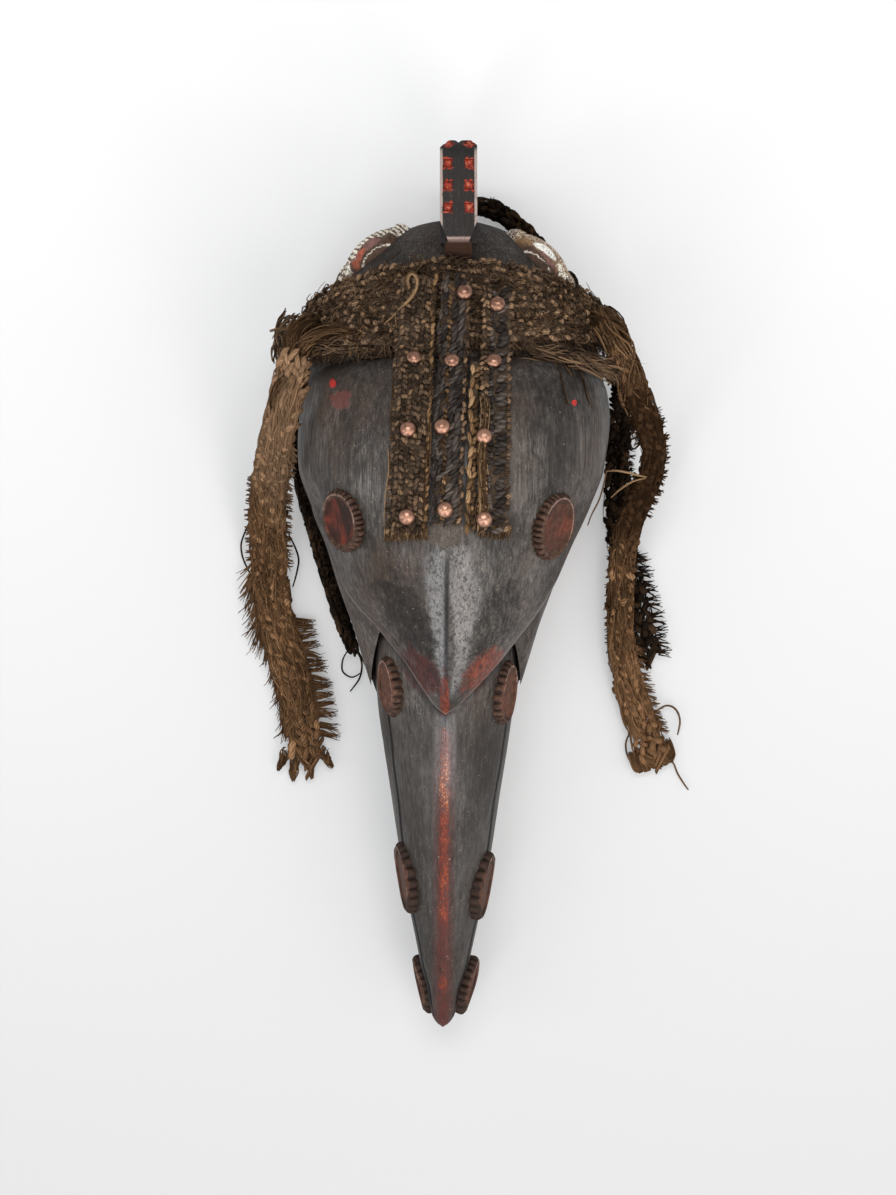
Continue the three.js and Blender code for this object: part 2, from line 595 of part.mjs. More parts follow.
// The headband: a curved slab over the dome, thicker at its knotted ends.
function headband() {
  const surface = (lift) => (u, v) => {
    const share = 2 * u - 1;
    const angle = radians(BAND.halfAngle * share);
    const low = BAND.lowY + 3 * share;
    const high = mix(BAND.highY, BAND.endHighY, share * share);
    const y = mix(low, high, v);
    const ring = Math.sqrt(1 - ((y - DOME_CENTRE.y) / DOME_RADII.y) ** 2);
    const normal = new THREE.Vector3(
      (Math.sin(angle) * ring) / DOME_RADII.x,
      (y - DOME_CENTRE.y) / DOME_RADII.y ** 2,
      (Math.cos(angle) * ring) / DOME_RADII.z,
    ).normalize();
    const place = new THREE.Vector3(
      DOME_CENTRE.x + DOME_RADII.x * ring * Math.sin(angle), y,
      DOME_CENTRE.z + DOME_RADII.z * ring * Math.cos(angle),
    );
    return place.addScaledVector(normal, lift(share));
  };
  const outer = (share) => BAND_GAP + mix(BAND.thickness, BAND.endThickness, share ** 4);
  return slab(surface(() => BAND_GAP), surface(outer), 20, 3);
}

// The height of what a strap lies on: the wood, or the headband where that is higher.
function support(x, y) {
  const bare = domePoint(x, y);
  const banded = y > BAND.lowY - 4 ? (BAND.thickness + BAND_GAP) / bare.normal.z : 0;
  return Math.max(casqueTop(x, y), bare.place.z + banded);
}

function strapSupport(x, y) {
  const reach = [-10, -5, 0, 5, 10];
  return Math.max(...reach.map((step) => support(x, y + step) - Math.abs(step) * 0.12)) + GAP;
}

function strap({ x, topX, width, lowY, topY }) {
  const surface = (lift) => (u, v) => {
    const y = mix(lowY, topY, u);
    const middle = mix(x, topX, (y - STRAP_LOW_Y) / (STRAP_TOP_Y - STRAP_LOW_Y));
    const here = middle + (v - 0.5) * width;
    return new THREE.Vector3(here, y, strapSupport(here, y) + lift);
  };
  return slab(surface(0), surface(STRAP_THICKNESS), 16, 2);
}

// A tack's domed head, sitting on its strap.
function tackHead(x, y) {
  const profile = [new THREE.Vector2(0, 0), new THREE.Vector2(TACK_RADIUS, 0)];
  for (let i = 0; i <= 2; i += 1) {
    const angle = (Math.PI / 2) * (i / 2);
    const height = TACK_RIM + (TACK_HEIGHT - TACK_RIM) * Math.sin(angle);
    profile.push(new THREE.Vector2(i === 2 ? 0 : TACK_RADIUS * Math.cos(angle), height));
  }
  const head = new THREE.LatheGeometry(profile, 9).rotateX(Math.PI / 2);
  const step = 4;
  const rise = (dx, dy) => strapSupport(x + dx, y + dy);
  const slope = [rise(-step, 0) - rise(step, 0), rise(0, -step) - rise(0, step)];
  const normal = new THREE.Vector3(slope[0], slope[1], 2 * step).normalize();
  const turn = new THREE.Quaternion().setFromUnitVectors(new THREE.Vector3(0, 0, 1), normal);
  const seat = strapSupport(x, y) + STRAP_THICKNESS + TACK_LIFT;
  return { geometry: head, turn, place: new THREE.Vector3(x, y, seat) };
}

// A plait's path, with its width held in a chosen direction instead of turning freely.
class PlaitPath extends THREE.CatmullRomCurve3 {
  constructor(route) {
    super(route.map(([x, y, z]) => new THREE.Vector3(x, y, z)), false, 'centripetal');
    this.sides = route.map((point) => radians(point[3]));
  }

  computeFrenetFrames(segments) {
    const frames = { tangents: [], normals: [], binormals: [] };
    for (let i = 0; i <= segments; i += 1) {
      const t = this.getUtoTmapping(i / segments);
      const tangent = this.getTangent(t).normalize();
      const at = t * (this.sides.length - 1);
      const low = Math.min(Math.floor(at), this.sides.length - 2);
      const angle = mix(this.sides[low], this.sides[low + 1], at - low);
      const level = new THREE.Vector3(-tangent.y, tangent.x, 0).normalize();
      if (level.x < 0) level.negate();
      const normal = level.multiplyScalar(Math.cos(angle)).add(new THREE.Vector3(0, 0, Math.sin(angle)));
      normal.addScaledVector(tangent, -normal.dot(tangent)).normalize();
      frames.tangents.push(tangent);
      frames.normals.push(normal);
      frames.binormals.push(new THREE.Vector3().crossVectors(tangent, normal));
    }
    return frames;
  }
}

function plait({ route, width, thickness }) {
  const outline = new THREE.Shape();
  const sides = 8;
  for (let i = 0; i < sides; i += 1) {
    const angle = (2 * Math.PI * (i + 0.5)) / sides;
    const point = [(width / 2) * Math.cos(angle), (thickness / 2) * Math.sin(angle)];
    if (i === 0) outline.moveTo(...point);
    else outline.lineTo(...point);
  }
  const extrudePath = new PlaitPath(route);
  return new THREE.ExtrudeGeometry(outline, { steps: PLAIT_STEPS, bevelEnabled: false, extrudePath });
}

// Materials
const material = (colour, roughness, metalness = 0) =>
  new THREE.MeshStandardMaterial({ color: colour, roughness, metalness });
const blackenedWood = material(0x36322f, 0.5);
const plaitedFibre = material(0x3d2f22, 0.9);
const palerFibre = material(0x75502f, 0.9);
const copper = material(0xa9705a, 0.35, 1);

const mask = new THREE.Group();

function addPiece(name, geometry, finish) {
  const mesh = new THREE.Mesh(geometry, finish);
  mesh.name = name;
  mask.add(mesh);
  return mesh;
}

addPiece('mask_wood', toGeometry(maskWood()), blackenedWood);
addPiece('headband', headband(), plaitedFibre);
for (const part of STRAPS) {
  const finish = part.name.endsWith('roll') ? palerFibre : plaitedFibre;
  addPiece(part.name, strap(part), finish);
}
TACKS.forEach(([x, y], i) => {
  const head = tackHead(x, y);
  const mesh = addPiece(`tack_${String(i + 1).padStart(2, '0')}`, head.geometry, copper);
  mesh.quaternion.copy(head.turn);
  mesh.position.copy(head.place);
});
for (const part of PLAITS) addPiece(part.name, plait(part), palerFibre);

// The origin goes under the middle of everything but the loose plaits.
const held = new THREE.Box3();
mask.updateMatrixWorld(true);
for (const mesh of mask.children) if (!mesh.name.startsWith('plait_')) held.expandByObject(mesh, true);
const middle = held.getCenter(new THREE.Vector3());
mask.position.set(-middle.x, -middle.y, -held.min.z);

export default mask;
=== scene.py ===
# %% [markdown]
# # A beaked mask, dressed over its CAD model
# The mask is a carved wooden bird's head with a long beak, lying on its back. Fibre bands and
# tacks are fastened over its brow, and loose plaits hang from the ends of the band. The packed
# CAD model gives every piece its place and size; this script gives each piece its real surface.
# Loading comes first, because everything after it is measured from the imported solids.

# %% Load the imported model
import itertools
import json
import math
from functools import partial

import bmesh
import bpy
import numpy as np
from mathutils import Matrix, Vector

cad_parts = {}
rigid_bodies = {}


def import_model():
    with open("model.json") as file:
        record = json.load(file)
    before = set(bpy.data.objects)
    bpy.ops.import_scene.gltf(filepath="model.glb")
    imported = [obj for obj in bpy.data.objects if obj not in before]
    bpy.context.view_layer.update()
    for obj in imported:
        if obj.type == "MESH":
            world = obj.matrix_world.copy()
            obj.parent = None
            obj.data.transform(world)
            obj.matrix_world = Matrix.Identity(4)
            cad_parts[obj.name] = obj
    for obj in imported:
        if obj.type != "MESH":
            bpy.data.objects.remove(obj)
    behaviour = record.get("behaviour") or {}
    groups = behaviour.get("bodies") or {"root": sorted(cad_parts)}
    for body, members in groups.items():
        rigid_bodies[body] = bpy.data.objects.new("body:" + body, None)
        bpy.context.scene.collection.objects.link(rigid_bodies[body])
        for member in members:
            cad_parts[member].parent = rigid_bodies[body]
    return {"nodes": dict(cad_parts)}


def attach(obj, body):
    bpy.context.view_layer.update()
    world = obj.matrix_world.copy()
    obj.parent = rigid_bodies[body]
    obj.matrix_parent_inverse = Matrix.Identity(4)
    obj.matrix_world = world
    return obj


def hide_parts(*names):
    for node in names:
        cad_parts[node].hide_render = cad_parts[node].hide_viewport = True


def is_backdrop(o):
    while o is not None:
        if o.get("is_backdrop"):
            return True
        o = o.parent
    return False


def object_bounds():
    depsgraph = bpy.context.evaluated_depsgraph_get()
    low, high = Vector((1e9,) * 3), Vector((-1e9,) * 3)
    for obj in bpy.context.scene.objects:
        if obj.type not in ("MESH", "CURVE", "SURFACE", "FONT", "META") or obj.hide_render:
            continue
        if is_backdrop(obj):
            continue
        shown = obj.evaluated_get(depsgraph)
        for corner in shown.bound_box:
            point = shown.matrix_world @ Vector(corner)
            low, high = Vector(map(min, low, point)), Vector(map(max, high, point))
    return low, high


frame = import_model()
CAD_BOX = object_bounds()
print("solids:", len(frame["nodes"]), "box:", CAD_BOX)

# %% [markdown]
# ## One frame for everything
# The CAD source works in the carver's millimetres, and ends by moving the whole mask so that its
# origin is under the middle of the wood. Every number below is in those same millimetres, and
# `row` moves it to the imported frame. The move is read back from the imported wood: its top edge is
# the crest's, and the crest is symmetrical about the carver's centre line.

# %% The curves that the carver's outlines follow
MM = 0.001
BEAK_TIP_Y = -267
CREST_TOP_Y = 268
TONGUE_TIP_Y = -73
CASQUE_TOP_Y = 148
CHIN_Y = -68
CREST_MIDDLE_Y = 240


def curve(points):
    """A smooth curve through (position, value) pairs that never overshoots them."""
    x, y = np.array(points, float).T
    slope = np.diff(y) / np.diff(x)
    product = slope[:-1] * slope[1:]
    total = np.where(product > 0, slope[:-1] + slope[1:], 1)
    inner = np.where(product > 0, 2 * product / total, 0)
    tangent = np.concatenate([slope[:1], inner, slope[-1:]])

    def value(at):
        t = np.clip(at, x[0], x[-1])
        i = np.clip(np.searchsorted(x, t) - 1, 0, len(x) - 2)
        h = x[i + 1] - x[i]
        s = (t - x[i]) / h
        rising = y[i] * (1 + 2 * s) * (1 - s) ** 2 + h * tangent[i] * s * (1 - s) ** 2
        return rising + y[i + 1] * s * s * (3 - 2 * s) + h * tangent[i + 1] * s * s * (s - 1)

    return value


centre_line = curve([(BEAK_TIP_Y, -7.4), (-200, -6), (20, -5.5), (110, -1), (CREST_TOP_Y, 2.5)])
wood_points = np.array([v.co for v in frame["nodes"]["mask_wood"].data.vertices]) / MM
crest_points = wood_points[wood_points[:, 1] > 250]
crest_x = (crest_points[:, 0].min() + crest_points[:, 0].max()) / 2
SHIFT = np.array([crest_x - centre_line(CREST_MIDDLE_Y), wood_points[:, 1].max() - CREST_TOP_Y, 0])


def row(points):
    """Points in the carver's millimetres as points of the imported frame, in metres."""
    return (np.asarray(points, float) + SHIFT) * MM


print("carver's frame moved by", np.round(SHIFT, 3), "mm")

# %% [markdown]
# ## Camera and light
# The mask is looked at square on, so the camera hangs straight above it, far enough away that
# the beak's height hardly distorts it. Dark glossy wood shows its shape by what it reflects:
# two tall soft boxes at the left and right leave long highlights beside each ridge, and the
# darker space overhead keeps the ridge itself dark. The left box is a little cool and the right
# one a little warm, which parts the two sides of the beak.

# %% Camera
EYE_HEIGHT = 2300
VIEW_WIDTH_PER_HEIGHT = 0.6 * 1195 / 2215
SENSOR = 36

camera_data = bpy.data.cameras.new("camera")
camera_data.sensor_width = SENSOR
camera_data.lens = SENSOR / VIEW_WIDTH_PER_HEIGHT
camera_data.clip_end = 20
camera = bpy.data.objects.new("camera", camera_data)
camera.location = row((-4.3, -3.6, EYE_HEIGHT))
bpy.context.scene.collection.objects.link(camera)
bpy.context.scene.camera = camera
bpy.context.scene.view_settings.view_transform = "Standard"
print("lens:", round(camera_data.lens, 1), "mm")

# %% Soft boxes
AIM = (0, 0, 0.08)
# Each: name, place, width and height, power in watts, and a tint where it has one.
LIGHTS = [
    ("left_box", (-0.60, -0.92, 1.25), (0.22, 2.2), 13, (0.93, 0.96, 1.0)),
    ("right_box", (0.58, -0.97, 1.25), (0.66, 1.7), 18, (1.0, 0.955, 0.93)),
    ("far_left_box", (-1.7, -0.2, 1.25), (0.35, 1.6), 9),
    ("far_right_box", (1.7, -0.2, 1.25), (0.35, 1.6), 7),
    ("low_left_box", (-1.5, -0.95, 1.25), (0.30, 0.7), 3.5),
    ("low_right_box", (1.5, -0.95, 1.25), (0.40, 0.7), 4.5),
    ("ceiling", (0.0, 0.95, 2.45), (1.6, 0.9), 34),
]


def aim(thing, target):
    thing.rotation_euler = (Vector(target) - thing.location).to_track_quat("-Z", "Y").to_euler()


for name, place, size, power, *tint in LIGHTS:
    light = bpy.data.lights.new(name, "AREA")
    light.shape = "RECTANGLE"
    light.size, light.size_y = size
    light.energy = power
    light.color = tint[0] if tint else (1, 1, 1)
    lamp = bpy.data.objects.new(name, light)
    lamp.location = place
    aim(lamp, AIM)
    bpy.context.scene.collection.objects.link(lamp)
print("lights:", len(LIGHTS))

# %% [markdown]
# ## Writing materials as sums
# A material is a graph of nodes, but most of it is arithmetic: masks, noise and distances that
# are added and multiplied. `Value` wraps one output socket, so that `1 - mask * noise` adds the
# Math nodes by itself. Colours can't pass through Math nodes without turning grey, so they go
# through `blend_colours`, and `cover` lays one more colour over what a material has so far.
# Geometry nodes use the same class.


# %% Values that can be added and multiplied
class Value:
    """A node's output that can be used in sums."""

    def __init__(self, graph, socket):
        self.graph, self.socket = graph, socket

    def out(self, name):
        """Another output of the same node."""
        outputs = [s for s in self.socket.node.outputs if s.enabled and s.name == name]
        return Value(self.graph, outputs[0])

    def maths(self, operation, *values):
        return self.graph.node("ShaderNodeMath", {"operation": operation}, *values)

    def __add__(self, other):
        return self.maths("ADD", self, other)

    def __sub__(self, other):
        return self.maths("SUBTRACT", self, other)

    def __rsub__(self, other):
        return self.maths("SUBTRACT", other, self)

    def __mul__(self, other):
        return self.maths("MULTIPLY", self, other)

    def __truediv__(self, other):
        return self.maths("DIVIDE", self, other)

    def __pow__(self, other):
        return self.maths("POWER", self, other)

    def __neg__(self):
        return self.maths("MULTIPLY", self, -1)

    def __abs__(self):
        return self.maths("ABSOLUTE", self)

    def __gt__(self, other):
        return self.maths("GREATER_THAN", self, other)

    def __lt__(self, other):
        return self.maths("LESS_THAN", self, other)

    __radd__ = __add__
    __rmul__ = __mul__

    def sine(self):
        return self.maths("SINE", self)

    def least(self, other):
        return self.maths("MINIMUM", self, other)

    def most(self, other):
        return self.maths("MAXIMUM", self, other)

    def ramp(self, low, high, to_low=0.0, to_high=1.0):
        """Smoothly from to_low to to_high as this goes from low to high."""
        settings = {"interpolation_type": "SMOOTHSTEP"}
        return self.graph.node("ShaderNodeMapRange", settings, self, low, high, to_low, to_high)


print("values ready")


# %% A tree of nodes
class Graph:
    """A node tree that is built with node(type, settings, inputs)."""

    def __init__(self, tree):
        self.tree = tree

    def feed(self, socket, value):
        if isinstance(value, Value):
            self.tree.links.new(value.socket, socket)
        elif isinstance(value, tuple) and socket.type == "RGBA" and len(value) == 3:
            socket.default_value = (*value, 1)
        else:
            socket.default_value = value

    def node(self, kind, settings=None, *values, **named):
        """Adds a node. Values go to its inputs in order, and named ones by name, _ for a space."""
        made = self.tree.nodes.new(kind)
        for key, value in (settings or {}).items():
            if key == "stops":
                while len(made.color_ramp.elements) < len(value):
                    made.color_ramp.elements.new(0.5)
                for element, (at, colour) in zip(made.color_ramp.elements, value):
                    element.position, element.color = at, (*colour, 1)
            else:
                setattr(made, key, value)
        free = [s for s in made.inputs if s.enabled]
        for socket, value in zip(free, values):
            if value is not None:
                self.feed(socket, value)
        for key, value in named.items():
            name = key.replace("_", " ")
            self.feed(next(s for s in free if s.name.lower() == name.lower()), value)
        outputs = [s for s in made.outputs if s.enabled]
        return Value(self, outputs[0]) if outputs else made


print("trees ready")


# %% A material's tree
class Shader(Graph):
    """A material's graph, with the textures that the finishes below share."""

    shine = 0.35

    def __init__(self, name):
        self.material = bpy.data.materials.new(name)
        self.material.use_nodes = True
        super().__init__(self.material.node_tree)
        self.tree.nodes.clear()
        place = self.node("ShaderNodeTexCoord").out("Object")
        shift = tuple(SHIFT)
        scaled = self.node("ShaderNodeVectorMath", {"operation": "SCALE"}, place, Scale=1 / MM)
        self.place = self.node("ShaderNodeVectorMath", {"operation": "SUBTRACT"}, scaled, shift)
        self.x = self.node("ShaderNodeSeparateXYZ", None, self.place)
        self.y, self.z = self.x.out("Y"), self.x.out("Z")

    def stretched(self, scale, place=None):
        """The place with each axis scaled, so that a texture on it is drawn out along the others."""
        settings = {"operation": "MULTIPLY"}
        return self.node("ShaderNodeVectorMath", settings, place or self.place, scale)

    def noise(self, scale, place=None, detail=3.0, roughness=0.55, distortion=0.0):
        """Soft random numbers from 0 to 1; scale is in waves per millimetre, one or one an axis."""
        place = self.stretched(scale if isinstance(scale, tuple) else (scale,) * 3, place)
        return self.node(
            "ShaderNodeTexNoise", None, place,
            Scale=1.0, Detail=detail, Roughness=roughness, Distortion=distortion,
        )

    def blend_colours(self, share, first, second):
        settings = {"data_type": "RGBA"}
        return self.node("ShaderNodeMix", settings, share, first, second)

    def colours(self, share, *stops):
        """A colour that changes with share through (position, colour) stops."""
        return self.node("ShaderNodeValToRGB", {"stops": stops}, share)

    def cover(self, share, colour):
        """Lays a colour over the material's own, as thick as share says."""
        self.colour = self.blend_colours(share, self.colour, colour)

    def mark(self, name, kind="Fac"):
        """A number, or with "Vector" a vector, that the mesh holds for each of its points."""
        return self.node("ShaderNodeAttribute", {"attribute_name": name}).out(kind)

    def bump(self, height, depth, under=None):
        """A normal for relief whose height goes from 0 to 1 over depth millimetres."""
        named = {"Normal": under} if under else {}
        return self.node("ShaderNodeBump", None, 1.0, depth * MM, None, height, **named)

    def finish(self, **inputs):
        inputs = {"Specular_IOR_Level": self.shine, **inputs}
        surface = self.node("ShaderNodeBsdfPrincipled", None, **inputs)
        self.node("ShaderNodeOutputMaterial", None, surface)
        return self.material


print("materials ready")

# %% [markdown]
# ## The floor and the air
# The mask lies on a plain pale floor. It is a wide sheet that isn't part of the object, so it is
# marked as stage. The air is brighter towards the horizon, as in a white room.

# %% Floor and world
FLOOR_HALF, FLOOR_BELOW = 6, 0.0006
floor_mesh = bpy.data.meshes.new("floor")
corners = [(-1, -1), (1, -1), (1, 1), (-1, 1)]
corners = [(x * FLOOR_HALF, y * FLOOR_HALF, 0) for x, y in corners]
floor_mesh.from_pydata(corners, [], [(0, 1, 2, 3)])
floor = bpy.data.objects.new("floor", floor_mesh)
floor.location.z = -FLOOR_BELOW
bpy.context.scene.collection.objects.link(floor)
floor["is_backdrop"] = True
paint = Shader("pale_floor")
glow = {"Emission_Color": (1.0, 1.0, 1.0), "Emission_Strength": 0.27}
grey = paint.y.ramp(-520, 520, 0.272, 0.488)
paint.shine = 0.2
grey = paint.node("ShaderNodeCombineColor", None, grey, grey, grey)
floor_mesh.materials.append(paint.finish(Base_Color=grey, Roughness=0.8, **glow))

world = bpy.data.worlds.new("air")
world.use_nodes = True
bpy.context.scene.world = world
air = Graph(world.node_tree)
world.node_tree.nodes.clear()
direction = air.node("ShaderNodeTexCoord").out("Generated")
up = air.node("ShaderNodeSeparateXYZ", None, direction).out("Z")
strength = up.ramp(0.15, 0.95, 0.62, 0.36)
shine = air.node("ShaderNodeBackground", None, (0.97, 0.98, 1.0), strength)
air.node("ShaderNodeOutputWorld", None, shine)
print("floor and air ready")

# %% [markdown]
# ## Building meshes from numbers
# A mesh made in code is a list of points and a list of faces. `mesh_object` fills both straight
# from numpy arrays, which stays quick for a hundred thousand faces. Texture coordinates are
# given per face corner, and any other number per point becomes a named attribute that a
# material can read. Nearly every mesh here is a stack of rings, so `shell_faces` knows how to
# join rings and close both ends.


# %% Meshes from arrays
def mesh_object(name, points, faces, uv=None, materials=(), smooth=True, **attributes):
    """A mesh object from points in metres and arrays of faces, each array with one face size."""
    mesh = bpy.data.meshes.new(name)
    mesh.vertices.add(len(points))
    mesh.vertices.foreach_set("co", np.asarray(points, np.float32).ravel())
    if faces:
        sizes = np.concatenate([np.full(len(f), f.shape[1]) for f in faces])
        loops = np.concatenate([f.ravel() for f in faces])
        starts = np.concatenate([[0], np.cumsum(sizes)[:-1]])
        mesh.loops.add(len(loops))
        mesh.loops.foreach_set("vertex_index", loops.astype(np.int32))
        mesh.polygons.add(len(sizes))
        mesh.polygons.foreach_set("loop_start", starts.astype(np.int32))
    if uv is not None:
        layer = mesh.uv_layers.new(name="UVMap")
        flat = np.concatenate([u.reshape(-1, 2) for u in uv])
        layer.data.foreach_set("uv", flat.astype(np.float32).ravel())
    for key, values in attributes.items():
        values = np.asarray(values, np.float32)
        kind = "FLOAT_VECTOR" if values.ndim == 2 else "FLOAT"
        attribute = mesh.attributes.new(key, kind, "POINT")
        attribute.data.foreach_set("vector" if values.ndim == 2 else "value", values.ravel())
    for material in materials:
        mesh.materials.append(material)
    mesh.update(calc_edges=True)
    mesh.validate()
    mesh.shade_smooth() if smooth else mesh.shade_flat()
    made = bpy.data.objects.new(name, mesh)
    bpy.context.scene.collection.objects.link(made)
    return made


def count(made):
    made.data.calc_loop_triangles()
    return len(made.data.loop_triangles)


def unit(vectors):
    vectors = np.asarray(vectors, float)
    length = np.linalg.norm(vectors, axis=-1, keepdims=True)
    return vectors / np.maximum(length, 1e-9)


print("meshes ready")


# %% Stacks of rings, and tubes
def shell_faces(rings, size, turned=False):
    """Quads between rings of points, and fans that close both ends with two points after them."""
    k, j = (a.ravel() for a in np.meshgrid(np.arange(rings - 1), np.arange(size), indexing="ij"))
    after = (j + 1) % size
    quads = np.stack([k * size + j, k * size + after, (k + 1) * size + after, (k + 1) * size + j], 1)
    j = np.arange(size)
    after = (j + 1) % size
    end, pole = (rings - 1) * size, rings * size
    first = np.stack([after, j, np.full(size, pole)], 1)
    last = np.stack([end + j, end + after, np.full(size, pole + 1)], 1)
    caps = np.concatenate([first, last])
    if turned:
        return [quads[:, [0, 3, 2, 1]], caps[:, [1, 0, 2]]]
    return [quads, caps]


def tubes(lines, radius, sides=3, flat=1.0):
    """Closed round tubes along many lines at once. lines is (tubes, points, 3) in millimetres.

    Returns points, faces, texture coordinates and how many points one tube has. Three sides are
    enough for a strand, because no picture shows more of it.
    """
    lines = np.asarray(lines, float)
    many, steps, _ = lines.shape
    radius = np.broadcast_to(radius, (many, steps))
    tangent = unit(np.gradient(lines, axis=1))
    guess = np.where(np.abs(tangent[:, :1, 2:]) < 0.8, [[[0, 0, 1.0]]], [[[1.0, 0, 0]]])
    normal = np.zeros_like(lines)
    last = guess[:, 0]
    for k in range(steps):
        last = last - (last * tangent[:, k]).sum(-1, keepdims=True) * tangent[:, k]
        last = unit(last)
        normal[:, k] = last
    side = np.cross(tangent, normal)
    angle = 2 * np.pi * np.arange(sides) / sides
    ring = np.cos(angle)[:, None] * side[:, :, None] + flat * np.sin(angle)[:, None] * normal[:, :, None]
    points = lines[:, :, None] + radius[:, :, None, None] * ring
    size = steps * sides + 2
    ends = np.stack([lines[:, 0] - tangent[:, 0] * radius[:, :1] * 0.6,
                     lines[:, -1] + tangent[:, -1] * radius[:, -1:] * 0.6], axis=1)
    points = np.concatenate([points.reshape(many, steps * sides, 3), ends], axis=1)
    quads, caps = shell_faces(steps, sides)
    offset = (np.arange(many) * size)[:, None, None]
    pieces = np.linalg.norm(np.diff(lines, axis=1), axis=2)
    along = np.concatenate([np.zeros((many, 1)), np.cumsum(pieces, 1)], 1)
    k, j = quads[:, 0] // sides, quads[:, 0] % sides
    around = np.stack([j, j + 1, j + 1, j], 1) / sides
    rows = np.stack([k, k, k + 1, k + 1], 1)
    quad_uv = np.stack([np.broadcast_to(around, (many, *around.shape)), along[:, rows]], -1)
    j = np.arange(sides)
    cap_around = np.tile(np.stack([(j + 1) / sides, j / sides, (j + 0.5) / sides], 1), (2, 1))
    cap_along = np.stack([np.zeros((many, 2 * sides))] * 3, -1)
    cap_along[:, sides:] = along[:, -1:, None]
    cap_uv = np.stack([np.broadcast_to(cap_around, (many, *cap_around.shape)), cap_along], -1)
    faces = [(quads + offset).reshape(-1, 4), (caps + offset).reshape(-1, 3)]
    uv = [quad_uv.reshape(-1, 4, 2), cap_uv.reshape(-1, 3, 2)]
    return points.reshape(-1, 3), faces, uv, size


def gather(parts):
    """Several (points, faces, uv, size) results as one, with a tone for each tube."""
    points, faces, uv, tones, start = [], [[], []], [[], []], [], 0
    rng = np.random.default_rng(5)
    for some, some_faces, some_uv, size in parts:
        points.append(some)
        for kind in (0, 1):
            faces[kind].append(some_faces[kind] + start)
            uv[kind].append(some_uv[kind])
        tones.append(np.repeat(rng.random(len(some) // size), size))
        start += len(some)
    joined = [np.concatenate(f) for f in faces], [np.concatenate(u) for u in uv]
    return np.concatenate(points), joined[0], joined[1], np.concatenate(tones)


def tube_object(name, parts, material):
    points, faces, uv, tone = gather(parts)
    return mesh_object(name, row(points), faces, uv, [material], tone=tone)


print("tubes ready")

# %% [markdown]
# ## Fibre
# The plaits are raffia or bark fibre, darkened by handling. Seen close, a yarn is a bundle of
# fine fibres with a slight twist, so the bump is a set of slanting lines in the yarn's own
# texture coordinates: u goes round it and v along it. Each yarn has its own tone, and some
# yarns are a lighter tan. The low lines of the twist are darkened as painted shade between the fibres.


# %% Fibre material
def fibre(name, deep, worn, tan, tan_share=0.3, lines=7.0, depth=0.35, variety=0.55, places=()):
    """Fibre in three tones. places lists ovals of the mask as (middle, reach, tone, share)."""
    s = Shader(name)
    s.shine = 0.05
    uv = s.node("ShaderNodeTexCoord").out("UV")
    around = s.node("ShaderNodeSeparateXYZ", None, uv)
    along = around.out("Y")
    tone = s.mark("tone")
    twist = ((around * lines + along * 0.45) * (2 * math.pi)).sine() * 0.5 + 0.5
    strand = s.noise((1.6, 0.10, 0), s.stretched((6.0, 1.0, 0), uv), 4.0, 0.65)
    dirt = s.noise(0.055, detail=4.0)
    fine = s.noise(0.9, detail=2.0)
    start = 0.42 - (0.55 - variety) / 2
    share = (tone * variety + strand * 0.5 + dirt * 0.45 + fine * 0.25 - start - 0.05).ramp(0.05, 1.0)
    s.colour = s.colours(share, (0.0, deep), (0.55, worn), (1.0, tan))
    light = ((tone - (1 - tan_share)) * 5).ramp(0, 1) * strand.ramp(0.35, 0.7)
    s.cover(light * 0.6, tan)
    # Painted shade: the low lines of the twist are darkened, as the gaps between the fibres.
    s.cover((1 - twist) * 0.55, tuple(c * 0.3 for c in deep))
    for middle, reach, hue, amount in places:
        along_x, along_y = (s.x - middle[0]) / reach[0], (s.y - middle[1]) / reach[1]
        near = 1 - (along_x * along_x + along_y * along_y) ** 0.5 + (dirt - 0.5) * 0.8
        s.cover(near.ramp(-0.1, 0.5) * amount, hue)
    rough = strand.ramp(0, 1, 0.98, 0.72)
    normal = s.bump(twist * 0.6 + strand * 0.4, depth)
    return s.finish(Base_Color=s.colour, Roughness=rough, Normal=normal)


# Ovals where the plaits are paler or darker: middle, reach, colour and how much of it.
PALE_AND_DARK_PLACES = [
    ((-104, 104), (26, 70), (0.32, 0.205, 0.125), 0.32),
    ((112, 78), (26, 62), (0.022, 0.010, 0.004), 0.88),
    ((118, -80), (30, 60), (0.26, 0.135, 0.066), 0.20),
]
plait_fibre = fibre(
    "plait_fibre", (0.042, 0.022, 0.010), (0.235, 0.125, 0.060), (0.46, 0.275, 0.145),
    tan_share=0.25, variety=0.3, places=PALE_AND_DARK_PLACES,
)
# Painted shade: a much darker copy of the plait fibre, for the plaits that hang in shadow behind the
# head, and for some of their loose threads.
shade_fibre = fibre(
    "shade_fibre", (0.008, 0.005, 0.003), (0.028, 0.016, 0.009), (0.09, 0.05, 0.024), 0.08
)
print("fibre materials ready")
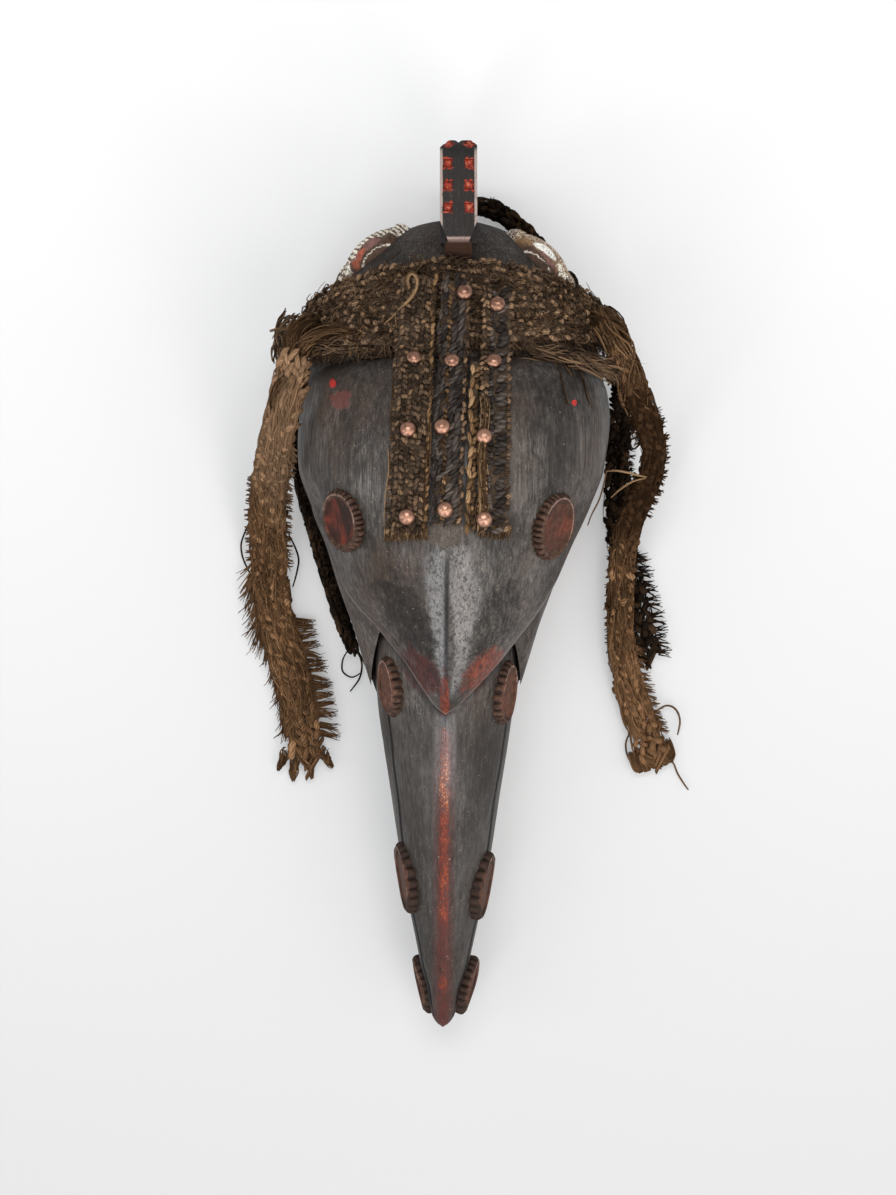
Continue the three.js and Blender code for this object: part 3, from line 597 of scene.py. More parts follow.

# %% [markdown]
# ## The plaits' routes
# Five loose plaits hang from the ends of the headband. Each is a flat cord whose whole length
# shows, so its length is the length of its route. The routes are the same points as in
# the CAD source: x, y, z and the direction in which the width lies, in degrees up from level.
# A flare says how many times as wide a plait is at each share of its length.

# %% Routes
PLAITS = {
    "plait_left_front": {
        "width": 24, "thickness": 8,
        "route": [
            (-93, 141, 119, 30), (-97, 123, 113, 32), (-101, 106, 106.5, 32), (-105, 92, 96.5, 32),
            (-108.5, 80, 81, 28), (-111.5, 68, 62, 22), (-113.5, 56, 44, 16), (-114.8, 42, 28, 10),
            (-115, 26, 15, 4), (-114.4, 9, 7.6, 0), (-112, -10, 5.2, 0), (-108, -28, 5, 0),
            (-103, -44, 5, 0), (-98.5, -62, 5, 0), (-94.5, -84, 5, 0), (-92.5, -104, 5, 0),
        ],
    },
    "plait_left_back": {
        "width": 22, "thickness": 8,
        "route": [
            (-101, 141, 52, 80), (-101, 122, 32, 84), (-98, 100, 16, 86), (-95, 76, 13, 86),
            (-91, 56, 12.5, 86), (-86.5, 40, 12.5, 86), (-79.5, 16, 12.5, 86), (-72, -8, 12.5, 86),
            (-64.5, -32, 12.5, 86),
        ],
    },
    "plait_right_front": {
        "width": 17, "thickness": 8,
        "route": [
            (96, 146, 100, -25), (102, 134, 98, -25), (109, 117, 92, -22), (116, 99, 80, -18),
            (119, 84, 66, -14), (117, 68, 52, -10), (110.5, 52, 40, -6), (105.5, 36, 30, -2),
            (103, 18, 21.5, 0), (102.5, 0, 15.5, 0), (102.3, -18, 12.5, 0), (103.5, -36, 11, 0),
            (107, -54, 8, 0), (112.4, -72, 5.2, 0), (118.5, -90, 5, 0), (124, -106, 5, 0),
        ],
        "flare": ((0, 0.68, 0.80, 0.92, 1.0), (1, 1, 1.10, 1.26, 1.36)),
    },
    "plait_right_back": {
        "width": 18, "thickness": 7,
        "route": [
            (99, 140, 48, -80), (101, 124, 28, -60), (102, 106, 10, -20), (101.5, 88, 4.6, 0),
            (101, 66, 4.6, 0), (101, 44, 4.6, 0), (104, 24, 4.6, 0), (109.5, 4, 4.6, 0),
            (115, -18, 4.6, 0), (119.5, -40, 4.6, 0),
        ],
    },
    "plait_crown": {
        "width": 20, "thickness": 8,
        "route": [
            (-2, 238, 13, 84), (12, 239.5, 13, 80), (25, 237, 13, 78), (39, 227.5, 13, 78),
            (53, 213, 13, 80), (68, 195, 13, 82), (82, 175, 20, 84), (93, 158, 36, 84),
        ],
    },
}

print("routes:", {name: len(plait["route"]) for name, plait in PLAITS.items()}, "points")


# %% A path through a route
EVEN_WIDTH = ((0, 1), (1, 1))


class Path:
    """A smooth path through a route, with its width held in the route's own directions."""

    def __init__(self, route, flare=EVEN_WIDTH, step=1.0):
        self.flare = flare
        p = np.array([r[:3] for r in route], float)
        sides = np.radians([r[3] for r in route])
        before, after = 2 * p[0] - p[1], 2 * p[-1] - p[-2]
        knots = np.concatenate([[before], p, [after]])
        gaps = np.sqrt(np.linalg.norm(np.diff(knots, axis=0), axis=1))
        fine, turn = [], []
        for i in range(len(p) - 1):
            a, b, c, d = knots[i : i + 4]
            t0, t1, t2 = gaps[i : i + 3]
            m1 = (b - a) / t0 - (c - a) / (t0 + t1) + (c - b) / t1
            m2 = (c - b) / t1 - (d - b) / (t1 + t2) + (d - c) / t2
            m1, m2 = m1 * t1, m2 * t1
            s = np.linspace(0, 1, 40, endpoint=False)[:, None]
            fine.append(
                b * (2 * s**3 - 3 * s**2 + 1) + m1 * (s**3 - 2 * s**2 + s)
                + c * (3 * s**2 - 2 * s**3) + m2 * (s**3 - s**2)
            )
            turn.append(sides[i] + (sides[i + 1] - sides[i]) * s[:, 0])
        fine = np.concatenate([*fine, p[-1:]])
        turn = np.append(np.concatenate(turn), sides[-1])
        along = np.concatenate([[0], np.cumsum(np.linalg.norm(np.diff(fine, axis=0), axis=1))])
        self.length = along[-1]
        self.at = np.arange(0, self.length + step / 2, step)
        self.points = np.stack([np.interp(self.at, along, fine[:, k]) for k in range(3)], 1)
        tangent = unit(np.gradient(self.points, axis=0))
        angle = np.interp(self.at, along, turn)[:, None]
        level = unit(np.stack([-tangent[:, 1], tangent[:, 0], 0 * tangent[:, 0]], 1))
        level *= np.where(level[:, :1] < 0, -1, 1)
        across = level * np.cos(angle) + np.array([0, 0, 1.0]) * np.sin(angle)
        across = unit(across - (across * tangent).sum(1, keepdims=True) * tangent)
        self.tangent, self.across, self.out = tangent, across, np.cross(across, tangent)
        self.out *= np.where(self.out[:, 2:] < 0, -1, 1)

    def place(self, along, across, out):
        """Points of the space round the path: along it, across its width and out of its face."""
        along, across, out = np.broadcast_arrays(along, across, out)
        across = across * np.interp(along / self.length, *self.flare)

        def read(table):
            return np.stack([np.interp(along, self.at, table[:, k]) for k in range(3)], -1)

        beyond = (along - np.clip(along, 0, self.at[-1]))[..., None]
        return (
            read(self.points) + read(self.tangent) * beyond
            + read(self.across) * across[..., None] + read(self.out) * out[..., None]
        )


paths = {}
for name, plait in PLAITS.items():
    paths[name] = Path(plait["route"], plait.get("flare", EVEN_WIDTH))
    print(name, "is", round(paths[name].length), "mm long")

# %% [markdown]
# ## Plaiting
# These are flat plaits of many narrow strips. Each strip comes from under the middle, turns
# round one edge and slants back over the top to the middle, where the next strip from the other
# side covers its end. Repeating that left and right gives the fishbone pattern, and the turns
# leave a row of small teeth down each edge. One strip is a bundle of a few yarns, and every
# bundle is nudged a little, because a plait this old isn't even.


# %% A flat plait as bundles of yarn
def plait_yarns(path, width, thickness, pitch, yarns, slant, seed, loose, wave):
    """Lines and radii of every yarn, in millimetres: (yarns, points, 3) and (yarns, points)."""
    rng = np.random.default_rng(seed)
    turns = np.arange(pitch * 0.3, path.length - slant * 0.4, pitch)
    start = np.concatenate([turns, turns + pitch / 2])
    side = np.repeat([-1.0, 1.0], len(turns))
    many = len(start)
    start = start + rng.normal(0, 0.10 * pitch * loose, many)
    reach = width / 2 * rng.normal(1.0, 0.045 * loose, many)
    q = np.linspace(-1, 1, 12)
    angle = q * math.radians(158)
    radius = pitch * 0.36 * rng.normal(1, 0.10, many)
    inner = -0.10 * width
    middle, half = (reach - radius + inner) / 2, (reach - radius - inner) / 2
    swing = width * 0.10 * wave * np.sin(start / (pitch * 2.4))
    across = side[:, None] * (middle[:, None] + half[:, None] * np.cos(angle)) + swing[:, None]
    out = (thickness / 2 - radius[:, None]) * np.sin(angle)
    out = out * rng.normal(1.0, 0.10 * loose, (many, 1))
    out = out * (1.05 - 0.25 * np.abs(across) / width)
    lean = slant * (1 - np.cos(angle)) / 2
    along = start[:, None] + lean
    lines, radii = [], []
    for k in range(yarns):
        phase = 2 * math.pi * (k / yarns) + rng.uniform(0, 6.28, (many, 1))
        twist = phase + q * 2.2
        gap = radius[:, None] * 0.62 * rng.normal(1, 0.12 * loose, (many, 1))
        lines.append(path.place(along + gap * np.cos(twist), across, out + gap * np.sin(twist)))
        taper = 1 - 0.35 * np.abs(q) ** 3
        radii.append(radius[:, None] * 0.56 * taper * rng.normal(1, 0.08, (many, 1)))
    return np.concatenate(lines), np.concatenate(radii)


LOOSENESS = 1.9
# Each: pitch of the strips, yarns in one, how far it slants, seed, wave and finish.
BRAIDS = {
    "plait_left_front": (4.6, 4, 19.0, 11, 0.3, plait_fibre),
    "plait_left_back": (5.0, 3, 15.0, 12, 0.3, shade_fibre),
    "plait_right_front": (4.2, 4, 13.5, 13, 0.6, plait_fibre),
    "plait_right_back": (4.6, 3, 13.0, 14, 0.3, shade_fibre),
    "plait_crown": (4.8, 3, 13.0, 15, 0.2, shade_fibre),
}
cords = {}
for name, (*facts, wave, material) in BRAIDS.items():
    plait = PLAITS[name]
    made = plait_yarns(paths[name], plait["width"], plait["thickness"], *facts, LOOSENESS, wave)
    cords[name] = tube_object(name + "_yarns", [tubes(*made, sides=4)], material)
    print(name, count(cords[name]), "triangles")

# %% [markdown]
# ## The carver's forms
# The wood is one block, but a carver sees it as a few forms that run into each other: the dome
# of the head, the casque that narrows to a tongue, the cheeks and the beak. Each form but the
# dome is a row of cross sections along the mask. A section is a superellipse, a rounded shape
# whose power says how square its shoulders are, with its own height above and below its widest
# level. These are the CAD source's own outlines, cut into many more sections.

# %% Outlines and profiles
WALL = 15
DOME_CENTRE = np.array([-0.5, 110, 52])
DOME_RADII = np.array([92, 116, 80])
DOME_DEPTH_BELOW = 100
RIDGE_HEIGHT = 2.6

casque_centre = curve([
    (TONGUE_TIP_Y, -5.8), (-56, -3.6), (-39, -1.8), (-23, -2), (0, -4), (28, -3.2), (52, -2.6),
    (76, -2.2), (110, 0), (CASQUE_TOP_Y, 1),
])
casque_half_width = curve([
    (TONGUE_TIP_Y, 0), (-68.5, 6.4), (-56.5, 17), (-39, 31), (-23.5, 43.5), (-8, 56.5), (4, 64),
    (28, 74), (52, 84.5), (76, 92.5), (100, 94), (120, 91.5), (134, 83), (143, 62), (CASQUE_TOP_Y, 0),
])
casque_height = curve([
    (TONGUE_TIP_Y, 119), (-62, 129), (-50, 135), (-28, 146), (0, 157), (30, 164), (60, 165),
    (85, 161), (110, 153), (128, 142), (140, 126), (CASQUE_TOP_Y, 96),
])
casque_widest = curve([
    (TONGUE_TIP_Y, 114), (-60, 111), (-40, 99), (-10, 76), (20, 62), (CASQUE_TOP_Y, 62),
])
casque_bottom = curve([(TONGUE_TIP_Y, 90), (-40, 60), (-10, 20), (15, -40), (CASQUE_TOP_Y, -40)])
casque_roundness = curve([
    (TONGUE_TIP_Y, 2.1), (-50, 2.2), (-30, 2.1), (0, 2.05), (20, 2.15), (70, 2.35), (CASQUE_TOP_Y, 2.3),
])
cheek_half_width = curve([
    (CHIN_Y, 34), (-64, 42), (-56.6, 45.5), (-44, 49.5), (-20, 56.8), (4, 65.5), (28, 73), (52, 83),
    (90, 88), (140, 74),
])
cheek_height = curve([(CHIN_Y, 48), (-60, 66), (-40, 90), (-20, 104), (20, 128), (140, 110)])
beak_half_width = curve([
    (BEAK_TIP_Y, 0), (-264.5, 3.6), (-260, 6.6), (-253, 8.8), (-241, 11.1), (-229, 14.5), (-216, 17.2),
    (-192, 22.2), (-167, 26.6), (-118, 34), (-94, 37.8), (-69, 41.3), (-40, 43.5), (20, 44),
])
beak_ridge = curve([
    (BEAK_TIP_Y, 38), (-264, 44), (-255, 51), (-240, 60), (-200, 77), (-160, 90), (-120, 101),
    (-77, 111), (-40, 120), (20, 125),
])
beak_widest = curve([(BEAK_TIP_Y, 36), (-240, 38), (-160, 43), (20, 45)])
beak_underside = curve([
    (BEAK_TIP_Y, 34), (-263, 27), (-250, 22), (-200, 18), (-120, 11), (-80, 5), (-50, -4), (20, -10),
])


print("beak's ridge at the tongue:", float(beak_ridge(TONGUE_TIP_Y)), "mm high")


# %% Forms and their heights
def smoothstep(value, low, high):
    t = np.clip((value - low) / (high - low), 0, 1)
    return t * t * (3 - 2 * t)


def casque_form(y, inset=0.0):
    fade = 1 - smoothstep(y, -60, 40)
    keel = 1.5 * fade * np.where(casque_half_width(y) > 8, 1, 0.2)
    return {
        "half_width": np.maximum(casque_half_width(y) - inset, 0.05),
        "top": casque_height(y) - inset, "widest": casque_widest(y), "bottom": casque_bottom(y),
        "roundness": casque_roundness(y), "below": 2.3,
        "ridge": keel * (inset == 0), "ridge_width": 6.0,
    }


def cheek_form(y):
    return {
        "half_width": cheek_half_width(y), "top": cheek_height(y), "widest": 56 + 0 * y,
        "bottom": -40 + 0 * y, "roundness": 2.4 + 0 * y, "below": 2.3, "ridge": 0 * y,
        "ridge_width": 1.0,
    }


def beak_form(y, grow=0.0):
    return {
        "half_width": np.maximum(beak_half_width(y), 0.05) + grow,
        "top": beak_ridge(y) - RIDGE_HEIGHT + grow, "widest": beak_widest(y),
        "bottom": beak_underside(y) - grow, "roundness": 2.25 + 0 * y, "below": 2.6,
        "ridge": RIDGE_HEIGHT * smoothstep(y, BEAK_TIP_Y, BEAK_TIP_Y + 30) * (grow == 0),
        "ridge_width": 4.2,
    }


def height_of(form, x):
    """The height of a section's upper surface at a distance x from its middle."""
    across = np.clip(np.abs(x) / form["half_width"], 0, 1)
    share = (1 - across ** form["roundness"]) ** (1 / form["roundness"])
    ridge = form["ridge"] * np.exp(-((x / form["ridge_width"]) ** 2)) * (across < 1)
    return form["widest"] + (form["top"] - form["widest"]) * share + ridge


def dome_height(x, y):
    u, v = (x - DOME_CENTRE[0]) / DOME_RADII[0], (y - DOME_CENTRE[1]) / DOME_RADII[1]
    return DOME_CENTRE[2] + DOME_RADII[2] * np.sqrt(np.maximum(1 - u * u - v * v, 0))


def casque_surface(x, y):
    return np.where(y > CASQUE_TOP_Y, 0, height_of(casque_form(y), x - casque_centre(y)))


def beak_surface(x, y):
    return height_of(beak_form(y), x - centre_line(y))


print("casque is", float(casque_height(60)), "mm high")

# %% [markdown]
# ## Lofting and carving
# A loft joins the sections with faces. The lofts overlap, and a boolean unites them: where two
# forms meet it leaves a crisp line, as a knife does, such as the one along the tongue's edge.
# Blender's manifold solver is quick and exact on closed meshes, so every loft here is closed.
# Before that, each loft's surface is disturbed by a very low, long-grained relief, because a
# surface cut with an adze is never quite fair.


# %% Relief
def lattice_noise(points, size, seed):
    """Smooth random numbers from -1 to 1 on a lattice with the given cell size along each axis."""
    table = np.random.default_rng(seed).uniform(-1, 1, 4096)
    cell = np.asarray(points) / np.asarray(size, float)
    base = np.floor(cell).astype(np.int64)
    part = cell - base
    part = part * part * (3 - 2 * part)
    total = np.zeros(cell.shape[:-1])
    for corner in itertools.product((0, 1), repeat=3):
        key = (base + corner) @ np.array([73856093, 19349663, 83492791])
        weight = np.prod(np.where(corner, part, 1 - part), axis=-1)
        total += weight * table[key & 4095]
    return total


def adze(points, amount):
    """How far a cut surface stands from the fair one: long facets, and finer grain on them."""
    facets = lattice_noise(points, (7, 34, 9), 3)
    waves = lattice_noise(points, (19, 48, 23), 4)
    grain = lattice_noise(points, (1.8, 22, 2.2), 6)
    return amount * (0.55 * facets + 0.6 * waves + 0.16 * grain)


print("relief at the middle:", np.round(adze(np.zeros((1, 3)), 1.0), 3))


# %% Sections and lofts
def sections(y, form, centre, angles):
    """Rings of points, one closed section for each y."""
    sine, cosine = np.sin(angles), np.cos(angles)
    power = np.where(sine >= 0, form["roundness"][:, None], form["below"])
    across = np.sign(cosine) * np.abs(cosine) ** (2 / power)
    up = np.sign(sine) * np.abs(sine) ** (2 / power)
    x = form["half_width"][:, None] * across
    top, widest, bottom = (form[k][:, None] for k in ("top", "widest", "bottom"))
    rise = np.where(up >= 0, (top - widest) * up, (widest - bottom) * up)
    ridge = np.where(up > 0, form["ridge"][:, None] * np.exp(-((x / form["ridge_width"]) ** 2)), 0)
    return np.stack([centre[:, None] + x, y[:, None] + 0 * x, widest + rise + ridge], -1)


def angles_round(above, below):
    return np.concatenate([
        np.linspace(0, math.pi, above, endpoint=False),
        np.linspace(math.pi, 2 * math.pi, below, endpoint=False),
    ])


def stations(low, high, many, crowd=0.5):
    """Positions that crowd together towards both ends, where a form closes."""
    t = np.linspace(0, 1, many)
    return low + (high - low) * ((1 - crowd) * t + crowd * (1 - np.cos(math.pi * t)) / 2)


def with_ends(rings):
    """The rings' points, and after them the middle of the first ring and of the last."""
    return np.concatenate([rings.reshape(-1, 3), [rings[0].mean(0)], [rings[-1].mean(0)]])


def loft(name, rings, relief=0.0):
    """A closed mesh through rings of points in millimetres."""
    many, size, _ = rings.shape
    points = with_ends(rings)
    faces = shell_faces(many, size)
    corners = points[faces[0][:, :3]] - points.mean(0)
    cross = np.cross(corners[:, 1], corners[:, 2])
    if (corners[:, 0] * cross).sum() < 0:
        faces = [f[:, ::-1] for f in faces]
    made = mesh_object(name, row(points), faces)
    if relief:
        relieve(made, relief)
    return made


def relieve(made, amount):
    """Moves a mesh's points along their normals by the adze's relief."""
    mesh = made.data
    co = np.zeros(len(mesh.vertices) * 3, np.float32)
    mesh.vertices.foreach_get("co", co)
    normal = np.zeros_like(co)
    mesh.vertex_normals.foreach_get("vector", normal)
    co, normal = co.reshape(-1, 3), normal.reshape(-1, 3)
    co = co + normal * (adze(co / MM, amount) * MM)[:, None]
    mesh.vertices.foreach_set("co", co.astype(np.float32).ravel())
    mesh.update()


print("lofts ready")


# %% Cutting, uniting and plain blocks
def carve(block, tool, operation="DIFFERENCE"):
    """Unites a tool with a block, cuts it away or keeps what they share, and drops the tool."""
    modifier = block.modifiers.new("carve", "BOOLEAN")
    modifier.operation = operation
    modifier.solver = "MANIFOLD"
    modifier.object = tool
    shaped = block.evaluated_get(bpy.context.evaluated_depsgraph_get())
    mesh = bpy.data.meshes.new_from_object(shaped)
    block.modifiers.clear()
    old = block.data
    block.data = mesh
    bpy.data.meshes.remove(old)
    drop(tool)
    return block


def drop(made):
    mesh = made.data
    bpy.data.objects.remove(made)
    bpy.data.meshes.remove(mesh)


def block_between(low, high, turn=0.0):
    """A closed box, turned about its own middle in the plane of X and Y."""
    low, high = np.array(low, float), np.array(high, float)
    middle, half = (low + high) / 2, (high - low) / 2
    signs = np.array(list(itertools.product((-1, 1), repeat=3)))
    points = signs * half
    c, s = math.cos(turn), math.sin(turn)
    points = points @ np.array([[c, s, 0], [-s, c, 0], [0, 0, 1]]) + middle
    quads = [(0, 1, 3, 2), (4, 6, 7, 5), (0, 4, 5, 1), (2, 3, 7, 6), (0, 2, 6, 4), (1, 5, 7, 3)]
    return mesh_object("block", row(points), [np.array(quads)], smooth=False)


def beak_loft(grow, above, below, many, relief=0.0):
    y = stations(BEAK_TIP_Y - grow, 20, many)
    rings = sections(y, beak_form(y, grow), centre_line(y), angles_round(above, below))
    return loft("beak", rings, relief)


print("carving helpers ready")

# %% [markdown]
# ## The head, casque, cheeks and beak
# The dome is an ellipsoid. The cheeks stand clear of the beak, so a slightly grown beak is cut
# out of them. The closed mouth is a narrow groove high on each flank of the beak, cut square to
# its surface. At the end the hollow behind the face and everything under the back rim are cut
# away.


# %% Carve the block
def dome(grow, columns, rows, below=DOME_DEPTH_BELOW):
    """The head's ellipsoid, grown by a distance, as a mesh with its poles at crown and chin."""
    polar = stations(0.02, math.pi - 0.02, rows, 0)
    turn = 2 * math.pi * np.arange(columns) / columns
    ring = np.stack([np.cos(turn), 0 * turn, np.sin(turn)], 1)
    unit_points = ring[None] * np.sin(polar)[:, None, None]
    unit_points[:, :, 1] = -np.cos(polar)[:, None]
    radii = DOME_RADII + grow
    points = unit_points * radii
    lower = unit_points[:, :, 2] * (below + grow)
    points[:, :, 2] = np.where(points[:, :, 2] > 0, points[:, :, 2], lower)
    return points + DOME_CENTRE


# How far inside the beak's outline the closed mouth runs, on each side.
MOUTH = {
    -1: curve([
        (BEAK_TIP_Y, 0.6), (-240, 1.5), (-200, 2.2), (-150, 3.2), (-108, 5.0), (-76, 6.8), (20, 8),
    ]),
    1: curve([
        (BEAK_TIP_Y, 0.5), (-240, 1.2), (-200, 2.0), (-156, 2.6), (-108, 3.2), (-70, 3.6), (20, 4),
    ]),
}
# The groove's cross section: how far out of the wood and how far across, in millimetres.
GROOVE = [(-2.6, 0.0), (2.0, -1.9), (2.0, 1.9)]


def mouth_reach(side, y):
    """How far from the beak's middle the mouth runs."""
    wander = 0.30 * np.sin(y / 17.0) + 0.15 * np.sin(y / 6.3)
    return np.maximum(beak_half_width(y) - MOUTH[side](y) + wander, 0.5)


def mouth_groove(side):
    """A V-shaped cut along one side of the beak, square to its surface."""
    y = np.linspace(BEAK_TIP_Y + 7, -30, 110)
    form = beak_form(y)
    reach = mouth_reach(side, y)
    z = height_of(form, reach)
    slope = (height_of(form, reach + 0.1) - height_of(form, reach - 0.1)) / 0.2
    out = unit(np.stack([-side * slope, 0 * y, 0 * y + 1], 1))
    down = unit(np.stack([0 * y + side, 0 * y, slope], 1))
    middle = np.stack([centre_line(y) + side * reach, y, z], 1)
    return loft("groove", np.stack([middle + out * lift + down * wide for lift, wide in GROOVE], 1))


y = stations(TONGUE_TIP_Y, CASQUE_TOP_Y, 118, 0.35)
rings = sections(y, casque_form(y), casque_centre(y), angles_round(170, 46))
wood = loft("mask_wood_carved", rings, 0.22)
carve(wood, loft("dome", dome(0, 132, 68), 0.2), "UNION")

y = stations(CHIN_Y, 140, 64, 0.4)
cheeks = loft("cheeks", sections(y, cheek_form(y), centre_line(y), angles_round(84, 36)), 0.2)
recess = beak_loft(3.2, 60, 24, 60)
carve(recess, block_between((-100, -320, -60), (100, 60, 30)))
carve(cheeks, recess)
carve(wood, cheeks, "UNION")

beak = beak_loft(0, 116, 40, 150, 0.2)
for side in (-1, 1):
    carve(beak, mouth_groove(side))
carve(wood, beak, "UNION")
print("wood:", count(wood), "triangles")

# %% [markdown]
# ## The crest
# The crest is a comb in the mask's middle plane. Its profile is drawn in Y and Z and given a
# thickness, its front lip is chamfered at both sides, and pairs of small square pockets are cut
# into its front and over its top. A narrow bevel wears its edges, before the pockets are cut
# crisply into the faces.


# %% Carve the crest
CREST = {"thickness": 22, "front": 131, "back": 60, "lip": 207, "neck": 8, "fall": 8}
POCKET = {"half": 2.7, "depth": 2.4, "aside": 6.3, "pitch": 13.2, "first": 226, "below": 16}


def bow(start, handle, end, many=8):
    t = np.linspace(0, 1, many)[1:, None]
    return (1 - t) ** 2 * np.array(start) + 2 * t * (1 - t) * np.array(handle) + t * t * np.array(end)


def crest_outline():
    front, back, top = CREST["front"], CREST["back"], CREST_TOP_Y
    points = [
        [(190, 96), (197, 112), (204, 120), (CREST["lip"], front), (256, front - CREST["fall"])],
        bow((256, front - CREST["fall"]), (top, front - 12), (top, front - 25)),
        [(top - 4, back + 14)],
        bow((top - 4, back + 14), (top - 8, back), (246, back - 4)),
        [(214, back - 12), (190, back - 10)],
    ]
    return np.concatenate(points)


outline = crest_outline()
crest_centre = float(centre_line(CREST_MIDDLE_Y))
half = CREST["thickness"] / 2
rings = np.stack([
    np.column_stack([np.full(len(outline), crest_centre + side * half), outline]) for side in (-1, 1)
])
crest = loft("crest", rings)
for side in (-1, 1):
    x = crest_centre + side * 12.4
    turn = -side * math.radians(22)
    carve(crest, block_between((x - 4, 204, 116), (x + 4, 218, 146), turn))
    x = crest_centre + side * (CREST["neck"] + 4)
    carve(crest, block_between((x - 4, 184, 106), (x + 4, 206, 156)))
groove = block_between((-3, -3, 30), (3, 3, 150), math.pi / 4)
groove.data.transform(
    Matrix.Translation((crest_centre * MM, (CREST_TOP_Y + 1.9) * MM, 0))
)
carve(crest, groove)
for side, half in ((-1, 6.3), (1, 5.2)):
    x, y = crest_centre + side * (CREST["thickness"] / 2 + 1.6), CREST_TOP_Y + 1.6
    carve(crest, block_between((x - half, y - half, 40), (x + half, y + half, 150), math.pi / 4))
bevel = crest.modifiers.new("wear", "BEVEL")
bevel.width = 0.9 * MM
bevel.segments = 3
bevel.limit_method = "ANGLE"
bevel.angle_limit = math.radians(28)
worn = bpy.data.meshes.new_from_object(crest.evaluated_get(bpy.context.evaluated_depsgraph_get()))
crest.modifiers.clear()
crest.data = worn
for side in (-1, 1):
    x = crest_centre + side * POCKET["aside"]
    h, depth = POCKET["half"], POCKET["depth"]
    for k in range(3):
        y = POCKET["first"] + k * POCKET["pitch"]
        z = CREST["front"] - CREST["fall"] * (y - CREST["lip"]) / (256 - CREST["lip"])
        carve(crest, block_between((x - h, y - h, z - depth), (x + h, y + h, z + 4), 0.05 * side))
    for k in range(4):
        z = CREST["front"] - POCKET["below"] - k * POCKET["pitch"]
        carve(crest, block_between((x - h, CREST_TOP_Y - 3.4, z - h), (x + h, CREST_TOP_Y + 4, z + h)))
carve(wood, crest, "UNION")
print("wood with its crest:", count(wood), "triangles")

# %% Hollow the back
y = stations(-38, CASQUE_TOP_Y - WALL, 44, 0.5)
form = casque_form(y, WALL)
closing = np.sqrt(np.clip((y + 38.5) / 45, 0, 1))
inner_width = np.minimum(form["half_width"], cheek_half_width(y) - WALL + 2)
form["half_width"] = np.maximum(inner_width * closing, 0.5)
form["top"] = 40 + (np.minimum(form["top"], 148) - 40) * closing
form["widest"] = np.minimum(form["widest"], 30)
form["bottom"] = -80 + 0 * y
hollow = loft("hollow", sections(y, form, centre_line(y), angles_round(60, 12)), 0.5)
carve(hollow, loft("inner_dome", dome(-WALL, 72, 40, DOME_DEPTH_BELOW + 30), 0.5), "UNION")
carve(wood, hollow)
carve(wood, block_between((-200, -400, -200), (200, 400, 0)))
print("hollowed wood:", count(wood), "triangles")

# %% [markdown]
# ## Old blackened wood
# The wood has been blackened, oiled and handled for years. Its colour moves between near black
# and grey brown where it is worn, in streaks along the grain. Two dark patches beside the tongue
# are painted shade, for the tongue's dark flanks. Every mark is a mask made from the object's own
# coordinates, with an edge that noise has broken. `Wood` keeps the noises that all the marks
# share: long grain, clouds, mottle, grit and streaks.


# %% The wood's shader
# Colours that are laid over the ground, as linear red, green and blue.
# Near black: the painted shade beside the tongue, and the darker head above the headband.
SHADE_AND_HEAD_BLACK = (0.0062, 0.0046, 0.0036)
# Near black: the crazing's pits, and the painted shade along the tongue's keel.
PIT_AND_KEEL_SHADE_BLACK = (0.006, 0.005, 0.0045)
CRACK_BLACK = (0.005, 0.004, 0.004)
# Near black: the painted shade in the crease under the tongue's edge, and the mouth's line.
SHADE_AND_MOUTH_BLACK = (0.004, 0.003, 0.003)
SOFT_BLACK = (0.014, 0.0125, 0.012)
BEAK_GREY = (0.0195, 0.0168, 0.0148)
SCUFF_GREY = (0.185, 0.168, 0.155)
BROWN_TINGE = (0.070, 0.038, 0.023)
NECK_BROWN = (0.050, 0.022, 0.012)
CHIP_BROWN = (0.19, 0.105, 0.065)
SPECK_TAN = (0.34, 0.25, 0.17)
# Pale tan: wear and a painted highlight along the tongue's edge.
EDGE_WEAR_AND_HIGHLIGHT = (0.24, 0.20, 0.175)
# Pale: the crest's rubbed edges, with a painted highlight on their bevels.
RUBBED_EDGE_HIGHLIGHT = (0.34, 0.27, 0.245)
# Pale: the crest's rubbed lip, with a painted highlight along it.
RUBBED_LIP_HIGHLIGHT = (0.34, 0.24, 0.21)
RUST = (0.50, 0.24, 0.09)
ORANGE_RED = (0.27, 0.062, 0.016)
SPOT_RED = (0.42, 0.022, 0.018)
SMEAR_RED = (0.13, 0.035, 0.028)


class Wood(Shader):
    """The mask's shader, with the noises and the mask of the hollow that its marks share."""

    shine = 0.2

    def __init__(self, name):
        super().__init__(name)
        self.grain = self.noise((0.50, 0.013, 0.32), detail=6.0, roughness=0.62)
        self.fine = self.noise((2.4, 0.05, 1.5), detail=4.0)
        self.cloud = self.noise((0.022, 0.010, 0.02), detail=4.0, distortion=0.4)
        self.mottle = self.noise((0.30, 0.16, 0.25), detail=5.0, roughness=0.68)
        self.grit = self.noise((0.95, 0.55, 0.9), detail=3.0, roughness=0.7)
        self.speckle = self.noise((1.0, 0.55, 1.0), detail=3.0, roughness=0.75)
        self.streak = self.noise((0.9, 0.030, 0.6), detail=5.0, roughness=0.7)
        self.inside = self.mark("inside")
        self.outside = 1 - self.inside

    def patch(self, middle, reach, turn=0.0, rough=0.3, scale=0.22):
        """A worn patch: 1 inside an oval in X and Y, with a broken edge."""
        dx, dy = self.x - middle[0], self.y - middle[1]
        c, n = math.cos(math.radians(turn)), math.sin(math.radians(turn))
        along, wide = (dx * c + dy * n) / reach[0], (dy * c - dx * n) / reach[1]
        inside = 1 - (along * along + wide * wide) ** 0.5
        return (inside + (self.noise(scale, detail=4.0) - 0.5) * rough * 2).ramp(0.0, 0.35)


